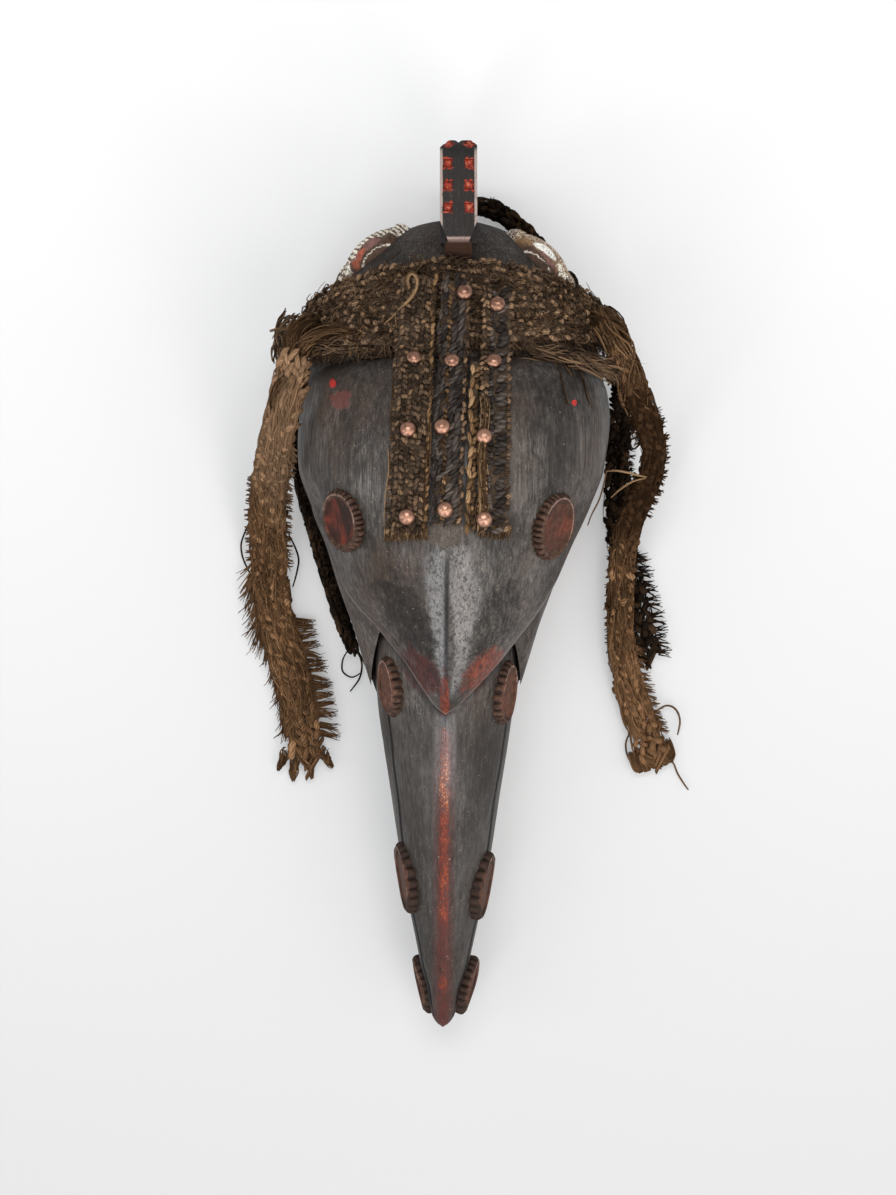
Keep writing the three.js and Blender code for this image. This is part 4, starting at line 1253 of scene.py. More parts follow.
def linear(value, low, high, to_low, to_high):
    return value.graph.node("ShaderNodeMapRange", None, value, low, high, to_low, to_high)


def nodes(s):
    return len(s.tree.nodes)


timber = Wood("blackened_wood")
print("shared noises:", nodes(timber), "nodes")

# %% The ground, with its painted shade, scuffs, dust and crack
def paint_ground(s):
    x, y, z, grain, mottle, grit = s.x, s.y, s.z, s.grain, s.mottle, s.grit
    worn = grain * 0.46 + s.cloud * 0.62 + mottle * 0.46 + grit * 0.30 + s.fine * 0.16 - 0.99
    s.colour = s.colours(
        worn.ramp(-0.23, 0.40),
        (0.0, (0.0110, 0.0092, 0.0078)), (0.36, (0.0360, 0.0305, 0.0262)),
        (0.7, (0.084, 0.073, 0.064)), (1.0, (0.19, 0.167, 0.147)),
    )
    brown = (s.noise((0.03, 0.014, 0.03), detail=3.0) + mottle * 0.3).ramp(0.55, 0.95)
    s.cover(brown * 0.40, BROWN_TINGE)
    bare = s.colours(grain, (0.3, (0.035, 0.020, 0.012)), (0.75, (0.14, 0.085, 0.05)))
    s.cover(s.inside * 0.85, bare)
    on_casque = y.ramp(-66, -40) * z.ramp(70, 100)
    # Painted shade: two dark patches beside the tongue stand in for its dark flanks. The head above the
    # headband is darkened as well.
    shade_patch_left = s.patch((-28, -16), (33, 14), 118, 0.8, 0.12)
    shade_patch_right = s.patch((24, -16), (29, 12), 62, 0.9, 0.12) * 0.8
    s.quiet = shade_patch_left.most(shade_patch_right) * (mottle * 0.6 + grit * 0.4).ramp(0.66, 0.36, 0.35, 1.0)
    s.head = y.ramp(180, 192) * s.outside
    s.cover((s.quiet * on_casque * 0.92).most(s.head * 0.46), SHADE_AND_HEAD_BLACK)
    scuffs = s.noise((1.3, 0.040, 0.8), detail=4.0, roughness=0.7).ramp(0.54, 0.68)
    scuffs = scuffs * s.cloud.ramp(0.36, 0.58)
    s.cover(scuffs * 0.54 * s.outside * (1 - s.quiet * 0.8), SCUFF_GREY)
    s.dust = s.patch((-5.5, 33), (15, 9), 0, 1.1, 0.22)
    powder = s.colours(grit, (0.3, (0.045, 0.033, 0.024)), (0.7, (0.16, 0.12, 0.088)))
    s.cover(s.dust * 0.36, powder)
    crack = (0.30 - abs(x - 18.2 + (mottle - 0.5) * 1.4)).ramp(0, 0.2)
    s.cover(crack * y.ramp(12, 14) * y.ramp(29, 27) * z.ramp(80, 90) * 0.8, CRACK_BLACK)


paint_ground(timber)
print("with the ground:", nodes(timber), "nodes")

# %% [markdown]
# Down the beak's ridge runs a red stripe, brightest near the tongue and faded towards the tip,
# with a halo of wine red beside it where the paint has spread. The tongue's point and its two
# shoulders hold red as well. The dark mouth follows `to_mouth`, the distance from the mouth's
# line, which is stored for each point of the mesh.

# %% Paint on the beak
def paint_beak(s):
    y, mottle, speckle, streak = s.y, s.mottle, s.speckle, s.streak
    s.axis = s.x - linear(y, BEAK_TIP_Y, 20, -7.4, -5.5)
    wobble = (s.noise((0.10, 0.05, 0.1), detail=3.0) - 0.5) * 1.6
    half_width = linear(y, -80, -120, 2.0, 3.1)
    on_beak = y.ramp(-79, -84)
    s.cover(y.ramp(-60, -90) * 0.66, BEAK_GREY)
    edge = half_width - abs(s.axis + wobble * 0.5)
    stripe = (edge + (speckle - 0.5) * 2.2).ramp(-0.9, 1.3) * on_beak
    s.stripe = stripe * (speckle * 0.5 + streak * 0.7).ramp(0.44, 0.68, 0.25, 0.95)
    faded = y.ramp(-194, -208) * (1 - s.patch((-7.4, -237), (3.4, 6.5), rough=0.8))
    s.red = s.colours(
        s.noise((0.35, 0.05, 0.3), detail=4.0) * 0.55 + speckle * 0.45,
        (0.32, (0.024, 0.006, 0.004)), (0.50, (0.105, 0.015, 0.006)), (0.70, (0.24, 0.044, 0.013)),
    )
    maroon = s.colours(
        mottle * 0.5 + speckle * 0.5, (0.32, (0.020, 0.007, 0.006)), (0.68, (0.090, 0.019, 0.013))
    )
    halo = (half_width + 4.2 - abs(s.axis + wobble)).ramp(-1.5, 4.5) * on_beak * y.ramp(-76, -92)
    s.cover(halo * (speckle * 0.5 + streak * 0.5).ramp(0.34, 0.60, 0.35, 1.0) * 0.72, maroon)
    s.cover(s.stripe, s.blend_colours(faded, s.red, maroon))
    golden = s.patch((-6.2, -116), (4.6, 20), rough=0.7)
    s.cover(golden * s.stripe * speckle.ramp(0.42, 0.64) * 0.55, ORANGE_RED)
    rust = (speckle + streak * 0.25 + golden * 0.08).ramp(0.79, 0.83) * (edge + 0.6).ramp(0, 1)
    s.cover(rust * on_beak * (1 - faded * 0.8) * 0.75, RUST)


paint_beak(timber)
print("with the beak's paint:", nodes(timber), "nodes")


# %% Paint on the tongue and in the mouth
def paint_tongue(s):
    y, mottle = s.y, s.mottle
    s.on_tongue = s.z.ramp(103, 108) * y.ramp(-75, -72)
    s.point = s.patch((-6.2, -64), (3.4, 21), rough=0.7) * s.on_tongue
    s.left = s.patch((-20, -48), (20, 11), -56, 0.5, 0.12) * s.on_tongue
    s.right = s.patch((16, -46), (19, 9), 50, 0.6, 0.14) * s.on_tongue
    wine = s.colours(mottle, (0.3, (0.010, 0.004, 0.003)), (0.7, (0.062, 0.010, 0.008)))
    s.cover(s.left * 0.85, wine)
    tired = s.colours(mottle, (0.3, (0.045, 0.010, 0.006)), (0.7, (0.22, 0.040, 0.017)))
    s.cover(s.right * s.streak.ramp(0.36, 0.58, 0.25, 0.95), tired)
    s.cover(s.point * s.speckle.ramp(0.36, 0.52, 0.4, 0.95), s.red)
    to_edge, over = s.mark("to_edge"), s.mark("over_beak")
    near_tongue = y.ramp(14, -8) * y.ramp(-82, -78)
    # A pale line along the tongue's edge: wear, and a painted highlight on the edge.
    tongue_edge_wear_and_highlight = (0.75 - abs(to_edge - 0.9)).ramp(0.0, 0.5) * (over > 2.0) * near_tongue
    s.cover(tongue_edge_wear_and_highlight * mottle.ramp(0.25, 0.5) * 0.45, EDGE_WEAR_AND_HIGHLIGHT)
    # Painted shade in the crease under the tongue's overhanging edge.
    corner = to_edge.ramp(-6.0, 0.3) * (over < 2.0) * near_tongue * (to_edge < 2.5)
    s.cover(corner * 0.8, SHADE_AND_MOUTH_BLACK)
    mouth = (1.0 - abs(s.mark("to_mouth") + (s.fine - 0.5) * 0.5)).ramp(0.0, 0.45)
    mouth = mouth * y.ramp(-257, -250) * s.outside
    s.mouth = mouth * (over < 2.0) * (over > -14.0) * y.ramp(-52, -58)
    s.cover(s.mouth * 0.94, SHADE_AND_MOUTH_BLACK)


paint_tongue(timber)
print("with the tongue's paint:", nodes(timber), "nodes")


# %% Crazing, specks, spots, chips and painted shade along the keel
def paint_wear(s):
    x, y, z, mottle = s.x, s.y, s.z, s.mottle
    specks = s.noise(0.75, detail=2.0).ramp(0.70, 0.74) * s.outside
    s.cover(specks * 0.6, SPECK_TAN)
    s.crazed = s.patch((-4, -18), (27, 58), rough=0.40, scale=0.06) * z.ramp(100, 112)
    s.crazed = s.crazed * y.ramp(-75, -72)
    craze = s.noise((0.62, 0.34, 0.6), detail=5.0, roughness=0.72, distortion=0.9)
    s.craze = craze.ramp(0.47, 0.64)
    # Painted shade: a dark line down the tongue's keel, between its two highlights.
    valley = (2.3 - abs(x + 4.8 + linear(y, 20, -60, 0, 0.7))).ramp(0, 1.9)
    s.valley = valley * z.ramp(108, 116) * y.ramp(34, 10)
    s.cover((s.craze * s.crazed * 0.5).most(s.valley * y.ramp(-60, -46) * 0.92), PIT_AND_KEEL_SHADE_BLACK)
    left_spot = s.patch((-72.5, 123), (2.4, 3.3), 10, 0.4, 0.6)
    spots = left_spot.most(s.patch((70, 111), (1.8, 2.2), 0, 0.4, 0.6))
    s.cover(s.patch((-68, 113), (7.5, 6.0), 20, 1.2, 0.3) * 0.6, SMEAR_RED)
    s.cover(spots * s.speckle.ramp(0.3, 0.5, 0.4, 0.95), SPOT_RED)
    chips = s.noise((0.16, 0.12, 0.16), detail=4.0, roughness=0.75).ramp(0.705, 0.735)
    s.cover(chips * 0.55 * (1 - s.on_tongue), CHIP_BROWN)


paint_wear(timber)
print("with its wear:", nodes(timber), "nodes")

# %% [markdown]
# The pockets of the crest are painted red. Their masks repeat the carving's own numbers, so the
# paint stays in the pockets: a fraction of the pitch says where in its cell a place is.

# %% Paint in the crest's pockets, and its rubbed edges and lip with their painted highlights
def paint_crest(s):
    y, z, mottle = s.y, s.z, s.mottle
    half, pitch = POCKET["half"], POCKET["pitch"]
    aside = s.x - crest_centre
    warp = (s.noise(0.42, detail=3.0) - 0.5) * 2.6
    column = abs(abs(aside) - POCKET["aside"]) / half
    step = (y - (POCKET["first"] - pitch / 2)) / pitch
    near = abs(step - step.maths("FLOOR", step) - 0.5) * pitch
    from_middle = column.most(near * (0.78 / half)) + warp * 0.6
    in_front = from_middle.ramp(1.10, 0.82) * (y > 218.5) * (y < 260) * (z > 100)
    step = (z - (CREST["front"] - POCKET["below"] - 3.5 * pitch)) / pitch
    near = abs(step - step.maths("FLOOR", step) - 0.5) * pitch
    on_top = (column.most(near / half) + warp * 0.4).ramp(1.10, 0.9) * (y > 262) * (z > 71)
    shoulder = (5.4 - abs(abs(aside) - 6.4) - abs(y - 264.5) * 1.6 + warp).ramp(0, 0.8) * (z > 71)
    pocket = in_front.most(on_top).most(shoulder * 0.85)
    on_crest = y.ramp(203, 207) * z.ramp(96, 104) * s.outside
    s.cover(on_crest * 0.72, SOFT_BLACK)
    face_z = CREST["front"] - (y - CREST["lip"]) * (CREST["fall"] / (256 - CREST["lip"]))
    # The crest's edges are pale: rubbed wear, and a painted highlight on their bevels.
    rubbed_edge_highlight = (abs(aside) + (mottle - 0.5) * 1.2).ramp(9.1, 9.8) * (z - face_z).ramp(-2.6, -0.8)
    s.cover(rubbed_edge_highlight * on_crest * mottle.ramp(0.28, 0.46) * 0.85, RUBBED_EDGE_HIGHLIGHT)
    daub = s.noise(0.45, detail=3.0) * 0.45 + s.speckle * 0.40 + (1 - from_middle) * 0.12
    pocket_red = s.colours(
        daub,
        (0.36, (0.040, 0.009, 0.006)), (0.50, (0.30, 0.030, 0.015)), (0.62, (0.52, 0.19, 0.115)),
    )
    s.cover(pocket, pocket_red)
    # A pale line along the crest's lip: rubbed wear, and a painted highlight along the edge.
    lip = (y > 205.5) * (y + (mottle - 0.5) * 2).ramp(209.0, 207.6) * z.ramp(124, 127)
    s.cover(lip * mottle.ramp(0.28, 0.5) * 0.8, RUBBED_LIP_HIGHLIGHT)
    neck = y.ramp(186, 190) * y.ramp(208, 205) * (8.6 - abs(aside)).ramp(0, 0.4) * z.ramp(106, 112)
    s.cover(neck * 0.8, NECK_BROWN)


paint_crest(timber)
print("with the crest's paint:", nodes(timber), "nodes")

# %% [markdown]
# The shine is a clear coat. It is strong on the crazed gloss in the middle of the casque and on
# the shoulders of the beak, and it is a thin satin along the streaks everywhere else. Dust, red
# paint, the mouth and the patches of painted shade stay dull.

# %% The wood's shine
def wood_coat(s):
    x, y, grit = s.x, s.y, s.grit
    shoulder = (9 - abs(s.axis)).ramp(0, 5) * y.ramp(-70, -76) * y.ramp(-142, -100)
    left_limit = (x - linear(y, 25, -55, -20.5, -9.5)).ramp(-2.5, 2.5)
    right_limit = (linear(y, 5, -60, 18, 4.5) - x).ramp(-2.5, 4)
    s.crazed = s.crazed * (left_limit * right_limit * 0.85 + 0.15)
    gloss = (s.crazed * (1 - s.craze * 0.85)).most(shoulder * (1 - s.craze * 0.7))
    for dull, much in ((s.valley, 0.85), (s.point, 0.5), (s.left, 0.7), (s.right, 0.5), (s.quiet, 0.95)):
        gloss = gloss * (1 - dull * much)
    satin = (s.streak * 0.5 + s.grain * 0.3 + s.cloud * 0.35).ramp(0.50, 0.70) * 0.42
    for dull, much in ((s.head, 1), (s.quiet, 1), (s.stripe, 0.9), (y.ramp(-60, -90), 0.45)):
        satin = satin * (1 - dull * much)
    coat = gloss.most(satin)
    for dull, much in ((s.inside, 1), (s.mouth, 1), (s.dust, 1), (grit.ramp(0.55, 0.75), 0.5)):
        coat = coat * (1 - dull * much)
    return coat


def finish_wood(s):
    coat = wood_coat(s)
    rough = 0.46 + 0.20 * s.mottle + 0.10 * s.fine + 0.2 * s.inside + 0.15 * s.head
    soft = s.noise((0.11, 0.045, 0.1), detail=2.0)
    height = s.grain * 0.35 + s.fine * 0.14 + s.mottle * 0.40 + s.grit * 0.25
    height = height - s.craze * s.crazed * 0.5
    normal = s.bump(soft, 0.9, s.bump(height, 0.32))
    return s.finish(
        Base_Color=s.colour, Roughness=rough, Normal=normal, Coat_Weight=coat,
        Coat_Roughness=0.30, Coat_IOR=1.6,
    )


blackened = finish_wood(timber)
print("with its shine:", nodes(timber), "nodes")

# %% [markdown]
# The shader needs four numbers that only the carving knows: whether a point is inside the
# hollow, how far it is from the casque's outline, how far from the mouth's line and how high over
# the beak. They are worked out for every point of the finished block.

# %% Store the marks on the block
mesh = wood.data
co = np.zeros(len(mesh.vertices) * 3, np.float32)
mesh.vertices.foreach_get("co", co)
p = co.reshape(-1, 3) / MM - SHIFT
shrunk = ((p - DOME_CENTRE) / (DOME_RADII - 6)) ** 2
below = p[:, 2] < DOME_CENTRE[2]
shrunk[below, 2] = ((p[below, 2] - DOME_CENTRE[2]) / (DOME_DEPTH_BELOW - 6)) ** 2
in_dome = shrunk.sum(1) < 1
form = casque_form(np.clip(p[:, 1], -34, 138), 6)
across = np.clip(np.abs(p[:, 0] - casque_centre(p[:, 1])) / form["half_width"], 0, 2)
up = np.clip((p[:, 2] - form["widest"]) / (form["top"] - form["widest"]), 0, 2)
in_casque = (across ** 2.2 + up ** 2.2 < 1) & (p[:, 1] > -36) & (p[:, 1] < 139)
off_axis = p[:, 0] - centre_line(p[:, 1])
reach = np.where(off_axis < 0, mouth_reach(-1, p[:, 1]), mouth_reach(1, p[:, 1]))
marks = {
    "inside": in_dome | in_casque,
    "to_edge": casque_half_width(p[:, 1]) - np.abs(p[:, 0] - casque_centre(p[:, 1])),
    "to_mouth": reach - np.abs(off_axis),
    "over_beak": p[:, 2] - beak_surface(p[:, 0], np.clip(p[:, 1], BEAK_TIP_Y, 20)),
}
for key, values in marks.items():
    mesh.attributes.new(key, "FLOAT", "POINT").data.foreach_set("value", values.astype(np.float32))
mesh.materials.clear()
mesh.materials.append(blackened)
mesh.shade_smooth()
mesh.set_sharp_from_angle(angle=math.radians(36))
print("wood finished;", int((in_dome | in_casque).sum()), "points are inside the hollow")

# %% [markdown]
# ## Roundels
# Eight thick oval discs stand on the casque and the beak. The edge of each is cut into a ring of
# knobs, and its red face is slightly dished inside a thin rim. One disc is a set of rings, from
# the middle of the face out over the rim and down the knobbed side; the notches only pull the
# side's rings inwards, so the rim stays even. Each disc has local coordinates in millimetres as
# its texture coordinates, for the paint on its face.

# %% Roundel shape
KNOB_COLUMNS = 6


def flank(below):
    """The beak's flank, this far below its upper surface at the same place."""
    return lambda x, y: beak_surface(x, y) - below


# Each: place, what it stands on, width, length, thickness, how proud, tilt, taper, knobs, paint.
ROUNDELS = [
    ((-64.5, 42), casque_surface, 35, 37, 17, 5.4, 37, -12, 30, 1.0),
    ((56.5, 38.5), casque_surface, 34, 40, 17, 5.4, 37, -14, 30, 0.66),
    ((-37, -56.5), flank(4), 27, 36, 18, 5.6, 20, -7, 22, 0.5),
    ((28, -60.5), flank(4), 27, 38, 18, 5.6, 20, -7, 22, 0.5),
    ((-27.5, -173), flank(4), 26, 43, 16, 5.5, 14, -9, 20, 0.12),
    ((14.5, -178), flank(4), 26, 42, 16, 5.5, 14, -11, 20, 0.12),
    ((-16.4, -240), flank(19), 26, 36, 12, 6.5, 6, -13, 20, 0.0),
    ((4.8, -240), flank(3), 26, 36, 12, 6.5, 8, -14, 20, 0.0),
]
# Each ring: share of the radius, extra radius, depth below the face, and how deep the notches cut.
SIDE_RINGS = [
    (0.30, 0, 1.25, 0), (0.55, 0, 1.2, 0), (0.74, 0, 1.05, 0), (1.0, -3.6, 0.75, 0),
    (1.0, -3.0, 0.1, 0), (1.0, -2.7, -0.12, 0), (1.0, -2.1, -0.1, 0), (1.0, -1.6, 0.25, 0.1),
    (1.0, -0.8, 0.8, 0.6), (1.0, 0.1, 1.6, 1.0), (1.0, 0.55, 2.8, 1.1), (1.0, 0.5, 4.4, 1.1),
    (1.0, 0.1, 6.2, 1), (1.0, -0.4, 9.0, 0.8), (1.0, -0.4, None, 0.8),
]


def roundel(number, on, surface, across, along, thickness, proud, tilt, taper, knobs):
    rng = np.random.default_rng(40 + number)
    columns = knobs * KNOB_COLUMNS
    turn = 2 * math.pi * np.arange(columns) / columns
    wander = turn + 0.05 * np.sin(turn * 2 + number) + 0.03 * np.sin(turn * 5 + 2 * number)
    valley = (1 - np.abs(np.sin(wander * knobs / 2))) ** 1.2
    lobes = np.repeat(rng.normal(0, 0.3, knobs), KNOB_COLUMNS)
    rings, flat = [], []
    for share, extra, depth, cut in SIDE_RINGS:
        depth = thickness if depth is None else depth
        pull = cut * (2.0 * valley - lobes * (1 - valley)) - extra
        a = (across / 2 - pull) * share * np.cos(turn)
        b = (along / 2 - pull) * share * np.sin(turn)
        warp = 0.25 * np.sin(turn * 2 + number) + 0.15 * np.sin(turn * 3 + 2 * number)
        rings.append(np.stack([a, b, -depth + warp * min(share, 1)], 1))
        flat.append(np.stack([a, b], 1))
    rings = np.array(rings)
    side = math.copysign(1, on[0] - centre_line(on[1]))
    t, p = math.radians(tilt), math.radians(taper)
    out = np.array([side * math.cos(t) * math.cos(p), math.sin(p), math.sin(t) * math.cos(p)])
    lengthwise = unit(np.array([0, 1, 0]) - out * out[1])
    crosswise = np.cross(lengthwise, out)
    place = np.array([*on, float(surface(np.array(on[0]), np.array(on[1])))]) + out * proud
    points = place + rings[..., :1] * crosswise + rings[..., 1:2] * lengthwise + rings[..., 2:] * out
    cut = np.array([ring[3] for ring in SIDE_RINGS])[:, None] * valley
    return points, rings, cut


def roundel_mesh():
    points, faces, local, paint, dents, start = [], [[], []], [], [], [], 0
    for number, (*values, amount) in enumerate(ROUNDELS):
        rings, own, cut = roundel(number, *values)
        many, size, _ = rings.shape
        points.append(with_ends(rings))
        own = with_ends(own)
        local.append(own)
        paint.append(np.full(len(own), amount))
        dents.append(np.concatenate([cut.ravel(), [0, 0]]))
        for kind, some in enumerate(shell_faces(many, size, True)):
            faces[kind].append(some + start)
        start += len(points[-1])
    marks = {"local": local, "paint": paint, "notch": dents}
    marks = {key: np.concatenate(values) for key, values in marks.items()}
    return np.concatenate(points), [np.concatenate(f) for f in faces], marks


print("roundels:", len(ROUNDELS))


# %% Roundel paint
def roundel_paint():
    s = Shader("roundel_wood")
    s.shine = 0.1
    local = s.mark("local", "Vector")
    amount = s.mark("paint")
    notch = s.mark("notch")
    a = s.node("ShaderNodeSeparateXYZ", None, local)
    b, depth = a.out("Y"), -a.out("Z")
    mottle = s.noise(0.28, detail=5.0, roughness=0.7)
    fine = s.noise(1.3, detail=3.0)
    brown = s.colours(
        mottle * 0.7 + fine * 0.3,
        (0.30, (0.013, 0.008, 0.006)), (0.50, (0.046, 0.025, 0.017)), (0.72, (0.135, 0.072, 0.046)),
    )
    brown = s.blend_colours(amount.ramp(0.42, 0.2) * 0.72, brown, (0.017, 0.0095, 0.007))
    across = (a * a + b * b) ** 0.5
    on_face = (14.6 - across + (fine - 0.5) * 1.5).ramp(0, 1.2) * (1.9 - depth).ramp(0, 0.4)
    spread = s.noise((0.10, 0.05, 0.10), detail=4.0, distortion=0.8)
    red = s.colours(
        spread * 0.8 + mottle * 0.2,
        (0.40, (0.016, 0.008, 0.006)), (0.52, (0.042, 0.013, 0.009)), (0.68, (0.15, 0.026, 0.013)),
    )
    rose = s.colours(mottle, (0.3, (0.040, 0.018, 0.012)), (0.7, (0.175, 0.076, 0.050)))
    face = s.blend_colours(amount.ramp(0.3, 0.9), rose, red)
    s.colour = s.blend_colours(on_face * (0.4 + 0.55 * amount).least(0.95), brown, face)
    # Painted highlight: a pale line on the rim, on one side of the disc only.
    rim = (0.30 - abs(depth - 0.02)).ramp(0, 0.25) * (across - 11).ramp(0, 1) * (b + a * 0.6).ramp(-8, 6)
    s.cover(rim * 0.6 * mottle.ramp(0.3, 0.6), (0.30, 0.20, 0.16))
    # Painted shade in the notches between the knobs, as deep as the notches cut.
    s.cover(notch.ramp(0.15, 0.8) * 0.75, (0.010, 0.006, 0.005))
    # The side grows darker towards the disc's foot.
    darker_to_foot = (depth - 4.5).ramp(0, 3.0)
    s.cover(darker_to_foot * 0.5, (0.010, 0.006, 0.005))
    rough = 0.42 + 0.28 * mottle
    height = mottle * 0.6 + fine * 0.4
    return s.finish(Base_Color=s.colour, Roughness=rough, Normal=s.bump(height, 0.45))


points, faces, marks = roundel_mesh()
roundels = mesh_object("roundels", row(points), faces, None, [roundel_paint()], **marks)
roundels.data.set_sharp_from_angle(angle=math.radians(50))
print("roundels:", count(roundels), "triangles")

# %% [markdown]
# ## Eyes
# Each eye is a raised almond that follows the dome: a carved rim, a groove inside it and a low
# ball. Points of the almond are found on ellipsoids that are the dome grown by the height wanted
# there, along the eye's own axis, so the relief follows the head all round. The eye's own
# coordinates are kept for its paint: cream with dark cut lines, red beside the ball.

# %% Eye shape
EYES = {"length": 55, "width": 35, "places": [(-50.5, 206, 34), (53.2, 201.5, -42)]}


def almond_reach(turn):
    """How far the almond's outline is from its middle in each direction, in millimetres."""
    t = np.linspace(0, 1, 200)
    length, width = EYES["length"] / 2, EYES["width"] / 2
    ax = 2 * t * (1 - t) * length / 2 + t * t * length
    ay = (1 - t) ** 2 * width + 2 * t * (1 - t) * width
    at = np.arctan2(ay, ax)
    reach = np.hypot(ax, ay)
    folded = np.abs(np.arctan2(np.abs(np.sin(turn)), np.abs(np.cos(turn))))
    return np.interp(folded, at[::-1], reach[::-1])


# Each ring: its share of the almond's reach, and its height over the dome in millimetres.
EYE_RINGS = [
    (0.0, 8.8), (0.12, 8.7), (0.24, 8.4), (0.36, 7.9), (0.47, 7.2), (0.57, 6.3), (0.63, 5.5),
    (0.665, 4.7), (0.70, 4.3), (0.735, 4.6), (0.77, 5.1), (0.82, 5.3), (0.88, 5.0), (0.93, 4.2),
    (0.965, 3.0), (0.99, 1.4), (1.0, 0.0), (1.0, -4.0), (0.6, -6.0),
]


def eye_mesh(place_x, place_y, turn_degrees, columns=144):
    turn = 2 * math.pi * (np.arange(columns) + 0.5) / columns
    reach = almond_reach(turn)
    rim = 0.28 * np.sin(turn * 31) + 0.2 * np.sin(turn * 17 + 1)
    share = np.array([r[0] for r in EYE_RINGS[1:]])[:, None]
    height = np.array([r[1] for r in EYE_RINGS[1:]])[:, None]
    a, b = share * reach * np.cos(turn), share * reach * np.sin(turn)
    height = height + rim * ((share > 0.75) & (share < 0.97))
    pole = np.array([0.0, 0.0, EYE_RINGS[0][1]])
    local = np.stack([a, b, np.broadcast_to(height, a.shape)], -1).reshape(-1, 3)
    local = np.concatenate([local, [pole], [[0, 0, EYE_RINGS[-1][1]]]])
    base = np.array([place_x, place_y, float(dome_height(np.array(place_x), np.array(place_y)))])
    normal = unit((base - DOME_CENTRE) / DOME_RADII**2)
    heading = math.radians(turn_degrees)
    lengthwise = np.array([math.cos(heading), math.sin(heading), 0])
    lengthwise = unit(lengthwise - normal * (lengthwise @ normal))
    crosswise = np.cross(normal, lengthwise)
    start = base + local[:, :1] * lengthwise + local[:, 1:2] * crosswise - DOME_CENTRE
    radii = DOME_RADII + local[:, 2:]
    qa = ((normal / radii) ** 2).sum(1)
    qb = 2 * (start * normal / radii**2).sum(1)
    qc = ((start / radii) ** 2).sum(1) - 1
    up = (-qb + np.sqrt(np.maximum(qb * qb - 4 * qa * qc, 0))) / (2 * qa)
    points = DOME_CENTRE + start + up[:, None] * normal
    return points, shell_faces(len(EYE_RINGS) - 1, columns, True), local


print("an eye has", len(EYE_RINGS), "rings")


# %% Eye paint
def eye_paint(name, side):
    s = Shader(name)
    s.shine = 0.3
    local = s.mark("local", "Vector")
    a = s.node("ShaderNodeSeparateXYZ", None, local)
    b = a.out("Y")
    inward = a * side
    fine = s.noise(1.4, detail=3.0)
    mottle = s.noise(0.35, detail=5.0, roughness=0.7)
    broken = s.noise(0.7, detail=4.0, roughness=0.7)
    half_length, half_width = EYES["length"] / 2, EYES["width"] / 2
    across = ((a / half_length) * (a / half_length) + (b / half_width) * (b / half_width)) ** 0.5
    lean = b + a * a * 0.012
    cream = s.colours(mottle, (0.3, (0.40, 0.31, 0.20)), (0.55, (0.88, 0.82, 0.70)))
    dark = s.colours(mottle, (0.3, (0.022, 0.013, 0.009)), (0.7, (0.120, 0.062, 0.036)))
    gold = s.colours(
        mottle * 0.5 + fine * 0.5, (0.38, (0.085, 0.040, 0.018)), (0.62, (0.34, 0.20, 0.09))
    )
    ring = abs(across - 0.94 + (broken - 0.5) * 0.05)
    outline = (b.ramp(-4, 4, 0.012, 0.05) - ring).ramp(-0.004, 0.012) * broken.ramp(0.43, 0.51)
    red = s.colours(mottle, (0.3, (0.14, 0.028, 0.015)), (0.65, (0.42, 0.105, 0.055)))
    rose = s.colours(mottle, (0.3, (0.085, 0.042, 0.036)), (0.7, (0.27, 0.125, 0.10)))

    def oval(middle, reach, soft=0.25):
        da, db = (inward - middle[0]) / reach[0], (b - middle[1]) / reach[1]
        return (1 - (da * da + db * db) ** 0.5 + (fine - 0.5) * 0.5).ramp(0, soft)

    if side > 0:
        waves = (inward * 1.9 + (mottle - 0.5) * 7 + b * 0.5).sine() * 0.5
        dashes = (waves + (broken - 0.5) * 4.2).ramp(-0.35, 0.25)
        field = dashes * (lean + (fine - 0.5) * 2).ramp(-7.6, -5.6)
        s.colour = s.blend_colours(field * 0.95, dark, cream)
        s.cover(oval((-8.0, -11.2), (7.5, 3.8)) * 0.95, red)
        s.cover(oval((3.0, -10.4), (6.6, 4.8)) * 0.95, rose)
        ends = oval((-19, -6.0), (6, 4.5), 0.4) * broken.ramp(0.45, 0.55)
        s.cover(ends * 0.8, cream)
    else:
        flakes = (broken * 0.6 + fine * 0.4).ramp(0.50, 0.58)
        s.colour = s.blend_colours(lean.ramp(-13, -11) * (0.86 - across).ramp(-0.05, 0.05), dark, gold)
        s.cover(flakes * lean.ramp(-6.0, -3.0) * 0.8, cream)
        s.cover(oval((-3.0, -12.8), (9.5, 3.0)) * 0.9, rose)
        s.cover(oval((1.5, -7.8), (9.5, 3.2)) * broken.ramp(0.34, 0.44), (0.88, 0.86, 0.79))
        strokes = (fine * 0.5 + broken * 0.5).ramp(0.52, 0.57) * oval((-1.5, -7.4), (8.0, 3.2))
        s.cover(strokes * 0.9, (0.020, 0.015, 0.012))
        dabs = oval((-15, -8.0), (7.0, 5.0)) * broken.ramp(0.42, 0.50)
        s.cover(dabs * 0.9, cream)
    s.cover(outline * 0.95, cream)
    groove = (0.035 - abs(across - 0.70)).ramp(0, 0.03)
    s.cover(groove * 0.35, (0.020, 0.013, 0.010))
    grime = (s.noise(0.12, detail=4.0) + mottle * 0.3).ramp(0.66, 0.90)
    s.cover(grime * 0.3, (0.030, 0.020, 0.014))
    relief = broken * 0.5 + mottle * 0.4
    return s.finish(Base_Color=s.colour, Roughness=0.50 + 0.25 * mottle, Normal=s.bump(relief, 0.8))


